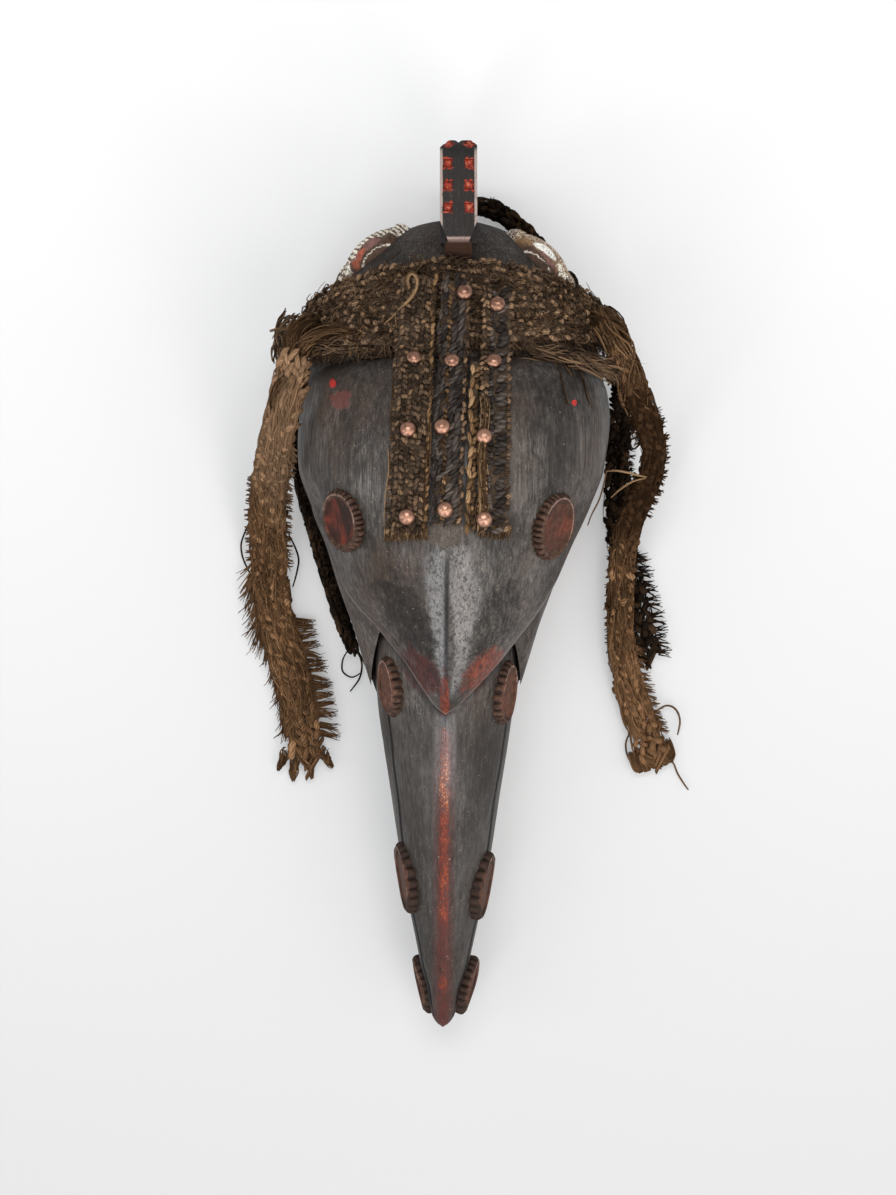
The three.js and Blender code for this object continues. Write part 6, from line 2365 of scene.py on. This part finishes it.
# Routes of the knots' bundles: x, y and z.
LEFT_TIE = [
    (-46, 151, 121), (-58, 152, 117), (-70, 153, 113), (-82, 152, 114), (-91, 146, 117),
    (-95, 134, 117), (-98, 120, 112),
]
LEFT_OVER = [
    (-82, 164, 90), (-89, 155, 105), (-94, 142, 115), (-97, 126, 114), (-101, 108, 107),
    (-103, 98, 101),
]
LEFT_EDGE = [(-34, 143, 124), (-50, 144, 120), (-66, 146, 114), (-80, 146, 110), (-92, 140, 110)]
LEFT_LUMP = [(-97, 168, 76), (-102, 158, 84), (-104, 146, 92), (-103, 132, 92)]
RIGHT_OVER = [
    (83, 168, 88), (91, 160, 100), (97, 148, 104), (102, 133, 100), (107, 118, 94), (110, 106, 88),
]
RIGHT_EDGE = [
    (32, 145, 125), (48, 143, 121), (64, 140, 116), (78, 137, 110), (92, 132, 104), (100, 126, 99),
]
RIGHT_LOOP = [(84, 164, 99), (90, 161.5, 102), (95, 160.5, 103), (99, 160, 103)]
LEFT_BACK = [(-97, 160, 72), (-101, 150, 62), (-102, 139, 49), (-101, 124, 34)]
RIGHT_BACK = [(96, 160, 70), (100, 150, 60), (99.5, 139, 46), (101, 123, 28)]
CROWN_END = [(84, 172, 25), (93, 158, 38), (97, 155, 52), (98, 153, 66)]
# Threads that hang over the casque: x and y, because the casque gives the height.
RIGHT_HANGING = [
    [(57, 143), (60, 135), (63, 125), (64.5, 116), (66.5, 108)],
    [(72, 138), (75, 127), (77, 118), (81, 106)],
    [(63, 141), (66, 133), (70, 124)],
]
KNOTS = [
    (LEFT_TIE, 70, 4.8, (0.35, 0.75), 0.7, 18),
    (LEFT_OVER, 120, 8.6, (0.4, 0.85), 0.55, 18, 1.0, 0.12),
    (RIGHT_OVER, 110, 8.2, (0.4, 0.85), 0.55, 18, 1.0, 0.12),
    (RIGHT_LOOP, 5, 1.0, (0.35, 0.55)),
]
DARK_KNOTS = [
    (LEFT_LUMP, 40, 5.5, (0.5, 1.0), 0.8),
    (RIGHT_EDGE, 90, 6.2, (0.4, 0.8), 0.8, 20),
    (LEFT_EDGE, 80, 5.6, (0.4, 0.8), 0.8, 20),
    (LEFT_BACK, 36, 7.0, (0.5, 1.0), 0.6),
    (RIGHT_BACK, 36, 7.0, (0.5, 1.0), 0.6),
    (CROWN_END, 36, 6.0, (0.5, 1.0), 0.6),
]
for hanging in RIGHT_HANGING:
    x, y = np.array(hanging, float).T
    line = np.column_stack([x, y, lies_on(x, y) + 1.3])
    KNOTS.append((line, 4, 0.9, (0.3, 0.5), 0.8, 16))
knots = bundles(KNOTS, loose_rng)
dark_knots = bundles(DARK_KNOTS, loose_rng)
band_knots = tube_object("band_knots", knots, brown_yarn)
band_dark_knots = tube_object("band_dark_knots", dark_knots, cold_yarn)
print("knots:", count(band_knots) + count(band_dark_knots), "triangles")

# %% The headband's ragged edge
EDGE_TUFTS = 150
u = np.linspace(0.03, 0.97, EDGE_TUFTS) + loose_rng.normal(0, 0.004, EDGE_TUFTS)
v = loose_rng.uniform(0.0, 0.10, EDGE_TUFTS)
roots, out = on_band(u, v, band_top(u) * loose_rng.uniform(0.35, 0.95, EDGE_TUFTS))
_, upward = directions(on_band_flat, u, v + 0.05, 0.004, 0.02)
headings = unit(-upward + out * 0.15)
ragged = tuft(roots, headings, out, 11.0, (0.3, 0.65), loose_rng, 5, 2.0, 0.6, 0.3, 7)
v = loose_rng.uniform(0.93, 1.0, EDGE_TUFTS)
roots, out = on_band(u, v, band_top(u) * loose_rng.uniform(0.4, 0.9, EDGE_TUFTS))
headings = unit(upward + out * 0.3)
upper = tuft(roots, headings, out, 3.2, (0.3, 0.6), loose_rng, 3, 1.4, 0.7, 0.0, 5)
DARK_TUFTS = [(-46, 142, 116), (-42, 140, 118), (-38, 141, 120), (-50, 143, 113), (-35, 144, 121)]
down = np.tile((0.05, -1.0, 0.1), (len(DARK_TUFTS), 1))
above = np.tile((0, 0, 1.0), (len(DARK_TUFTS), 1))
hanging = tuft(DARK_TUFTS, down, above, 11, (0.4, 0.8), loose_rng, 9, 2.4, 0.55, 0.35)
band_edge = tube_object("band_edge", [tubes(*ragged), tubes(*upper), tubes(*hanging)], cold_yarn)
print("headband's edge:", count(band_edge), "triangles")

# %% Tan threads on the headband
TAN_TUFTS = [(-52, 153, 121), (-49, 150, 121), (-55, 150, 120), (-51, 147, 119)]
TAN_HEADINGS = [(-0.5, 0.6, 0.6), (0.5, 0.3, 0.7), (-0.8, -0.3, 0.5), (0.3, -0.8, 0.4)]
x = np.arange(46, 65, 3)
y = 163 + 4 * np.sin(x)
spin = np.arange(len(x)) * 2.1
heading = unit(np.stack([np.sin(spin), np.cos(spin), 0.4 + 0 * spin], 1))
patch_roots = np.stack([x, y, dome_height(x, y) + 8.5], 1)
above = np.tile((0.3, 0.1, 1.0), (len(x), 1))
orange_patch = tuft(patch_roots, heading, above, 7, (0.3, 0.6), loose_rng, 12, 2.4, 0.9, 0.4)
above = np.tile((-0.2, 0.1, 1.0), (len(TAN_TUFTS), 1))
curly = tuft(TAN_TUFTS, unit(TAN_HEADINGS), above, 8, (0.35, 0.7), loose_rng, 14, 2.2, 0.8, 0.5)
LOOP = [
    (-27, 176, 141), (-29, 183, 143), (-25.5, 187, 144), (-21.5, 183, 144), (-22.5, 176, 142),
    (-26, 171, 140), (-33, 165, 136), (-38, 160, 131), (-42, 157, 128),
]
LOOP_TAIL = [(-35, 163.5, 134), (-35, 158, 132), (-33, 151, 129), (-30, 144, 127)]
ORANGE_LINE = [(-37, 118, 128), (-36, 132, 127), (-34, 146, 131), (-34, 152, 134)]
RIGHT_HANG = [(62, 148, 117), (66, 137, 113), (72, 122, 109), (78, 108, 102), (80.5, 104, 99)]
RIGHT_HANG_2 = [(52, 149, 120), (57, 138, 116), (60, 126, 114), (61, 118, 113)]
LEFT_OUT = [(-95, 158, 92), (-101, 156, 96), (-106, 157, 98), (-112, 155, 99)]
LEFT_OUT_2 = [(-97, 154, 92), (-103, 152, 95), (-108, 154, 97), (-109.5, 150, 97)]
THICK_SIDES = 5
TAN_THREADS = [
    (LOOP, 5, 0.9, (0.4, 0.6), 1.0, 22, 0.5, 0.03),
    (LOOP_TAIL, 1, 0.2, (0.4, 0.5), 1.0, 12, 0.5, 0.03),
    (ORANGE_LINE, 1, 0.2, (0.4, 0.5), 1.0, 12, 0.5, 0.03),
    (RIGHT_HANG, 2, 0.8, (0.35, 0.5), 1.0, 14, 0.6, 0.05),
    (RIGHT_HANG_2, 1, 0.6, (0.3, 0.45), 1.0, 12, 0.6, 0.05),
    (LEFT_OUT, 3, 1.0, (0.35, 0.6), 1.0, 10, 1.0, 0.1),
    (LEFT_OUT_2, 2, 0.8, (0.3, 0.5), 1.0, 10, 1.0, 0.1),
]
tan_threads = [
    tubes(*curly), tubes(*orange_patch), *bundles(TAN_THREADS, loose_rng, THICK_SIDES)
]
band_threads = tube_object("band_threads", tan_threads, tan_yarn)
print("tan threads:", count(band_threads), "triangles")

# %% The straps' frayed ends and edges
def strap_end(name, across, inside, lifts):
    """Places in a row near a strap's low end, the way out of it and the way off its end."""
    strap = STRAPS[name]
    y = np.full(len(across), strap["low"] + inside)
    roots, out = on_strap(strap, across, y, loose_rng.uniform(*lifts, len(across)))
    ahead = on_strap(strap, across, y - 2, 0 * y)[0] - on_strap(strap, across, y, 0 * y)[0]
    return roots, unit(ahead), out


strap_loose = []
# Each: strap, tufts, their length and how much they fan out.
FRAYED = (("strap_left", 26, 5.5, 0.25), ("strap_right", 16, 6.0, 0.45), ("strap_middle", 10, 2.5, 0.3))
for name, many, length, fan in FRAYED:
    across = np.linspace(-0.46, 0.46, many) * STRAPS[name]["width"]
    places = strap_end(name, across, 1.8, (1.0, 4.5))
    made = tuft(*places, length, (0.4, 0.75), loose_rng, 4, 0.8, fan, 0.2, 5)
    strap_loose.append(tubes(*made))
for name in ("strap_left", "strap_right", "strap_middle"):
    strap = STRAPS[name]
    y = np.arange(strap["low"] + 4, strap["high"] - 4, 2.6)
    for side in (-1, 1):
        spots = y + loose_rng.normal(0, 0.6, len(y))
        edge = side * (strap["width"] / 2 - 0.8) + 0 * spots
        roots, out = on_strap(strap, edge, spots, loose_rng.uniform(1.5, 4.5, len(spots)))
        aslant = loose_rng.normal(0, 0.8, len(spots))
        heading = unit(np.stack([side + 0 * spots, aslant, 0 * spots], 1))
        made = tuft(roots, heading, out, 1.9, (0.3, 0.6), loose_rng, 2, 0.6, 0.5, 0.2, 4)
        strap_loose.append(tubes(*made))
strap_edges = tube_object("strap_edges", strap_loose, cold_yarn)
print("the straps' edges:", count(strap_edges), "triangles")

# %% Long threads on the straps
long_threads = []
# Each: strap, first and last place across it, tufts and their length.
LONG_ENDS = (
    ("strap_left", -11, 10, 11, 8.0), ("strap_right", 0, 9, 5, 8.0), ("strap_middle", -6, 6, 3, 5.0),
)
for name, first, last, many, length in LONG_ENDS:
    across = np.linspace(first, last, many) + loose_rng.normal(0, 0.5, many)
    places = strap_end(name, across, 3.2, (2.5, 5.0))
    made = tuft(*places, length, (0.3, 0.55), loose_rng, 14, 1.5, 0.12, 0.15, 6)
    long_threads.append(tubes(*made))
strap = STRAPS["strap_right"]
y = np.linspace(strap["low"] - 0.5, 112, 16)
across = -strap["width"] / 2 + 2.0 + 0.6 * np.sin(y / 7)
line = on_strap(strap, across, y, 0 * y + STRAP_THICKNESS + 0.2)[0]
# The pale matted edge of the right strap: first and last point of its line, strands and spread.
for first, last, many, spread in ((0, 16, 60, 3.0), (0, 4, 16, 2.6), (7, 12, 16, 2.4)):
    facts = line[first:last], many, spread, (0.3, 0.65), 0.8, 26, 1.3, 0.6
    long_threads += bundles([facts], loose_rng)
# Threads along the left strap: from y, to y and place across.
for low, high, across in ((36, 84, -11.6), (84, 128, -11.2), (62, 118, 10.6), (40, 100, 9.2)):
    y = np.linspace(low, high, 7)
    wander = across + loose_rng.normal(0, 0.5, 7)
    line = on_strap(STRAPS["strap_left"], wander, y, 0 * y + STRAP_THICKNESS + 0.4)[0]
    long_threads += bundles([(line, 2, 0.6, (0.3, 0.45), 1.0, 20, 1.0, 0.1)], loose_rng)
RIGHT_END = [(31, 40, 124), (34, 33, 121), (37.5, 27.5, 118), (41, 24, 117)]
RIGHT_END_2 = [(28, 38, 125), (31, 31, 122), (36, 27, 120)]
long_threads += bundles([
    (RIGHT_END, 3, 1.2, (0.3, 0.5), 1.0, 10, 1.0, 0.1),
    (RIGHT_END_2, 4, 1.5, (0.3, 0.5), 1.0, 10, 1.0, 0.1),
], loose_rng)
strap_threads = tube_object("strap_threads", long_threads, tan_yarn)
print("the straps' threads:", count(strap_threads), "triangles")

# %% Braided face of the plaits
def braid_face(name, columns, pitch, size, slant, seed, material):
    """Lens stitches in columns on a plait's upper face, leaning in turn to either side."""
    path, plait, rng = paths[name], PLAITS[name], np.random.default_rng(seed)
    lots = []
    for column in range(columns):
        share = (column + 0.5) / columns * 2 - 1
        at = np.arange(2 + pitch * (column % 2) / 2, path.length - 3, pitch)
        at = at + rng.normal(0, pitch * 0.12, len(at))
        across = share * plait["width"] * 0.40 + rng.normal(0, 0.7, len(at))
        lift = plait["thickness"] / 2 * (1.02 - 0.3 * share**2) - 0.4 + rng.normal(0, 0.35, len(at))
        here = path.place(at, across, lift)
        ahead = unit(path.place(at + 1, across, lift) - path.place(at - 1, across, lift))
        aside = unit(path.place(at, across + 1, lift) - here)
        lean = np.radians((slant if column % 2 else -slant) + rng.normal(0, 10, len(at)))[:, None]
        along = ahead * np.cos(lean) + aside * np.sin(lean)
        out = unit(path.place(at, across, lift + 1) - here)
        sizes = np.array(size) * rng.normal(1, 0.14, (len(at), 3))
        lots.append((here, along, out, sizes, rng.random(len(at))))
    joined = [np.concatenate(part) for part in zip(*lots)]
    return lay(name + "_braid", *joined[:4], material, joined[4], seed, 0.22)


# Each: columns, pitch, a stitch's length, width and thickness, its slant, seed and finish.
FACES = {
    "plait_left_front": (5, 5.6, (9.6, 4.6, 3.8), 26, 71, plait_fibre),
    "plait_left_back": (3, 6.0, (8.5, 4.6, 3.6), 28, 72, shade_fibre),
    "plait_right_front": (4, 5.2, (8.2, 4.0, 3.6), 28, 73, plait_fibre),
    "plait_right_back": (4, 5.6, (8.2, 4.2, 3.4), 28, 74, shade_fibre),
    "plait_crown": (4, 5.4, (7.6, 4.2, 3.4), 34, 75, shade_fibre),
}
braids = {name: braid_face(name, *facts) for name, facts in FACES.items()}
print("braided faces:", sum(count(made) for made in braids.values()), "triangles")

# %% Tassels, combed strands and loops of the plaits
def tassels(name, heads, length, each, rng):
    """Pointed tassels where a plait's end opens: heads are (across, lean, length share)."""
    path = paths[name]
    end = path.length

    def spot(along, across=0.0):
        return path.place(np.array([along]), np.array([across]), np.array([0.0]))[0]

    ahead, aside = unit(spot(end) - spot(end - 5)), unit(spot(end, 1.0) - spot(end))
    parts = []
    for across, lean, share in heads:
        root, lean = spot(end - 7.0, across), math.radians(lean)
        heading = ahead * math.cos(lean) + aside * math.sin(lean)
        route = [
            root + heading * length * share * t + aside * 1.6 * math.sin(t * 4 + across)
            for t in (0, 0.35, 0.7, 1.0)
        ]
        lines, radii = bundle(route, each, 3.6, (0.35, 0.6), rng, 0.9, 10, 1.0, 0.38)
        pull = 1 - 0.75 * np.linspace(0, 1, lines.shape[1]) ** 1.6
        middle = lines.mean(0, keepdims=True)
        lines = middle + (lines - middle) * pull[:, None]
        lines[..., 2] = np.maximum(lines[..., 2], 0.8)
        parts.append(tubes(lines, radii))
    return parts


def combed(name, many, long, radius, rng, points=7):
    """Thin strands that lie along a plait's upper face and wander over its stitches."""
    path, plait = paths[name], PLAITS[name]
    half = long[1] / 2 / path.length
    middle = rng.uniform(0.02 + half, 0.98 - half, (many, 1)) * path.length
    at = middle + rng.uniform(*long, (many, 1)) * np.linspace(-0.5, 0.5, points)
    share = rng.uniform(-0.98, 0.98, (many, 1))
    share = share + rng.normal(0, 0.16, (many, 1)) * np.linspace(-1, 1, points)
    share = np.clip(share + 0.06 * np.sin(at / 3.1 + 9 * share), -1.04, 1.04)
    lift = plait["thickness"] / 2 * (1.05 - 0.42 * share**2) + rng.normal(0.95, 0.35, (many, 1))
    lift = lift + 0.35 * np.sin(at / 2.3 + 5 * share)
    lines = path.place(at, share * plait["width"] * 0.46, lift)
    lines[..., 2] = np.maximum(lines[..., 2], 0.6)
    thin = rng.uniform(*radius, (many, 1)) * np.sin(np.pi * np.linspace(0.1, 0.9, points)) ** 0.5
    return lines, thin


# A loop of yarn that turns back at a plait's end: how far back each of its points lies, its share
# of the loop's width and its height.
LOOP_BACK = np.array([12, 3, 1.5, 0, 1.5, 3, 12])
LOOP_ASIDE = np.array([-1, -1, -0.8, 0, 0.8, 1, 1])
LOOP_LIFT = 1.0 + np.array([0.5, 1.0, 0.8, -0.5, -1.5, -2.0, -2.0])
LOOP_TURNS = np.array([False, False, True, True, True, False, False])


def end_loops(name, many, reach, rng):
    """Loops of yarn that turn back in a row across a plait's end."""
    path, half = paths[name], PLAITS[name]["width"] * 0.5
    loops = []
    for across in np.linspace(-half, half, many):
        round_off = math.sqrt(max(0.25, 1 - (across / half * 0.8) ** 2))
        far = path.length + reach * rng.uniform(0.6, 1.1) * round_off
        at = np.where(LOOP_TURNS, far, path.length) - LOOP_BACK
        line = path.place(at, across + LOOP_ASIDE * rng.uniform(0.9, 1.7), LOOP_LIFT)
        loops += bundles([(line, 9, 1.1, (0.35, 0.6), 0.9, 14, 0.6, 0.08)], rng)
    return loops


print("tassels, strands and loops ready")

# %% Fringe and teeth of the plaits
THIN, SLIM, STOUT, THICK = (0.4, 0.7), (0.42, 0.78), (0.5, 0.9), (0.6, 1.0)
# Edges: from y, to y, side, pitch, lean, length, radius, strands in a tuft, spread and fan.
FRINGES = {
    "plait_left_front": {
        "combed": (1150, (14, 34), (0.46, 0.92)),
        "edges": [
            (-90, -20, 1, 5.4, 16, 12.0, SLIM, 15, 2.5, 0.06),
            (20, 66, -1, 4.4, 8, 4.6, THICK, 5, 1.2, 0.25),
            (-24, 18, -1, 2.4, 62, 15.0, SLIM, 5, 1.2, 0.16),
            (-88, -26, -1, 3.2, 66, 9.5, SLIM, 5, 1.4, 0.2),
            (16, 92, 1, 3.9, 20, 4.6, STOUT, 4, 1.0, 0.35),
        ],
        "tassels": ([(-9, -38, 0.85), (-3.5, -16, 1.1), (2.5, 2, 1.0), (8.5, 32, 0.8)], 23, 30),
    },
    "plait_right_front": {
        "combed": (760, (14, 30), (0.40, 0.80)),
        "loops": (15, 4.5),
        "edges": [
            (92, 126, -1, 4.2, 26, 5.6, STOUT, 4, 0.9, 0.35),
            (50, 104, 1, 4.0, 4, 4.8, STOUT, 5, 1.1, 0.3),
            (-92, -34, 1, 4.4, 30, 7.2, THIN, 10, 1.4, 0.12),
            (-40, 40, -1, 4.2, 25, 3.0, STOUT, 4, 1.1, 0.3),
        ],
    },
    "plait_left_back": {
        "combed": (120, (12, 26), (0.22, 0.4)),
        "edges": [(-26, 110, 1, 4.0, 20, 3.2, STOUT, 4, 1.1, 0.3)],
        "tassels": ([(-5, -20, 0.7), (0, 0, 0.8), (5, 18, 0.7)], 17, 12),
    },
    "plait_right_back": {
        "combed": (160, (12, 26), (0.22, 0.4)),
        "edges": [
            (-40, 22, 1, 4.8, 22, 8.2, STOUT, 7, 1.5, 0.22),
            (24, 90, 1, 4.4, 15, 3.5, STOUT, 4, 1.2, 0.3),
        ],
        "tassels": ([(-5, -14, 0.45), (0, 4, 0.6), (5, 20, 0.5)], 17, 12),
    },
    "plait_crown": {
        "combed": (140, (12, 22), (0.22, 0.4)),
        "edges": [(160, 238, 1, 3.6, 20, 3.4, (0.45, 0.8), 4, 1.2, 0.5)],
    },
}
fringe_rng = np.random.default_rng(91)
fringe_parts = {}
for name, facts in FRINGES.items():
    parts = [tubes(*combed(name, *facts["combed"], fringe_rng))]
    if "loops" in facts:
        parts += end_loops(name, *facts["loops"], fringe_rng)
    for edge in facts["edges"]:
        parts.append(tubes(*edge_tufts(name, *edge, fringe_rng)))
    if "tassels" in facts:
        parts += tassels(name, *facts["tassels"], fringe_rng)
    fringe_parts[name] = parts
print("fringes:", {name: len(parts) for name, parts in fringe_parts.items()}, "parts")

# %% Loose threads of the plaits
THREADS = {
    "plait_left_front": [
        [(-118, 70, 50), (-121, 62, 42), (-123.5, 50, 30), (-121, 38, 22), (-117, 28, 20)],
        [
            (-122, 50, 14), (-127, 44, 9), (-131, 36, 6), (-133.5, 29, 4), (-132, 20, 3),
            (-127, 10, 3.5), (-122, 4, 4),
        ],
        [(-103, 36, 21), (-99, 28, 12), (-96.5, 20, 8), (-98.5, 10, 8), (-101, 2, 7)],
    ],
    "plait_left_back": [
        [(-67, -32, 6), (-60, -38, 4), (-57.5, -45, 3), (-59, -54, 2.5), (-66, -63, 2)],
        [(-65, -34, 8), (-70, -42, 4), (-70.5, -50, 3), (-64, -54, 2.5), (-58, -50, 3)],
        [(-63, -32, 6), (-58, -41, 4), (-54, -49, 3), (-51, -55, 2.5)],
    ],
    "plait_right_front": [
        [(91, 73, 62), (97, 73.5, 68), (105, 72, 68), (113, 70, 63), (119, 69.5, 58)],
        [(117, 69, 60), (108, 67, 62), (100, 62, 55), (95, 57, 42)],
        [(92, 74, 62), (91, 66, 50), (88.5, 56, 38), (84, 47, 24), (82, 40, 14)],
        [(120, -80, 6), (126, -73.5, 5), (132, -70, 4), (138, -73, 4), (140.5, -80, 3), (138.5, -90, 2)],
        [(113, -82, 6), (109, -87, 4), (106, -94, 3), (107, -102, 2), (112, -110, 3), (118, -112, 3)],
        [(130, -102, 5), (136, -106, 4), (138.5, -113, 2.5), (143, -120, 1.5), (146, -124, 1.2)],
    ],
}
threads = {}
for name, lines in THREADS.items():
    table = [(line, 1, 0.2, (0.55, 0.7), 1.0, 24, 0.4, 0.02) for line in lines]
    material = tan_yarn if "right" in name else shade_fibre
    parts = bundles(table, fringe_rng, THICK_SIDES)
    threads[name] = tube_object(name + "_threads", parts, material)
fringe = {}
for name, parts in fringe_parts.items():
    fringe[name] = tube_object(name + "_fringe", parts, BRAIDS[name][-1])
    print(name, "fringe:", count(fringe[name]), "triangles")

# %% Stray hairs
# How many hairs a plait has, and how long they are.
FUZZ = {
    "plait_left_front": (1500, 5.5), "plait_left_back": (400, 4.5),
    "plait_right_front": (1100, 5.0), "plait_right_back": (600, 4.5), "plait_crown": (600, 4.5),
}
fuzz = {}
for number, (name, (amount, length)) in enumerate(FUZZ.items()):
    material = BRAIDS[name][-1]
    fuzz[name] = grow_hairs(name + "_fuzz", braids[name], amount, length, material, 30 + number)
band_fuzz = grow_hairs("band_fuzz", band_work, 1400, 4.5, brown_yarn, 41, 1.1)
knot_fuzz = grow_hairs("knot_fuzz", band_knots, 700, 6.0, tan_yarn, 42, 1.1)
strap_fuzz = []
for number, (key, (made, name)) in enumerate(strap_work.items()):
    hairs = grow_hairs(key + "_fuzz", made, 130, 3.2, tan_yarn, 50 + number, 1.2)
    strap_fuzz.append((hairs, name))
hairs = [*fuzz.values(), band_fuzz, knot_fuzz, *(made for made, _ in strap_fuzz)]
print("hairs:", sum(count(made) for made in hairs), "triangles")

# %% [markdown]
# ## Hand each piece to the mask's body
# Every piece rides on the mask's one body and stands for the plain CAD solid under it, which is
# hidden. The five plaits are attached with their braided faces, fringe, loose threads and hairs.
# The last lines print the size of the CAD box and of the finished part.

# %% Hand over to the frame
drop(lens)
drop(hair)
for name, made in cords.items():
    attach(made, "root")
    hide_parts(name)
    [group[name] for group in (braids, fringe, threads, fuzz) if name in group]
    for group in (braids, fringe, threads, fuzz):
        if name in group:
            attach(group[name], "root")
for made in (wood, roundels, *eyes):
    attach(made, "root")
    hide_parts("mask_wood")
for made in (band_knots, band_dark_knots, knot_fuzz):
    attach(made, "root")
for made in (band_body, band_work, band_curls, band_worn_curls, band_edge, band_threads, band_fuzz):
    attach(made, "root")
    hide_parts("headband")
for name, made in strap_bodies.items():
    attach(made, "root")
    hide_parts(name)
for made, name in strap_work.values():
    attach(made, "root")
    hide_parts(name)
for made, name in strap_fuzz:
    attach(made, "root")
    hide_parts(name)
for made in (strap_edges, strap_threads):
    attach(made, "root")
    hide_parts("strap_left", "strap_middle", "strap_right")
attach(tacks, "root")
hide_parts(*(f"tack_{number:02d}" for number in range(1, 12)))
size = [[list(c) for c in CAD_BOX], [list(c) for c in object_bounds()]]
print("CAD box and visual box, in metres:", size)
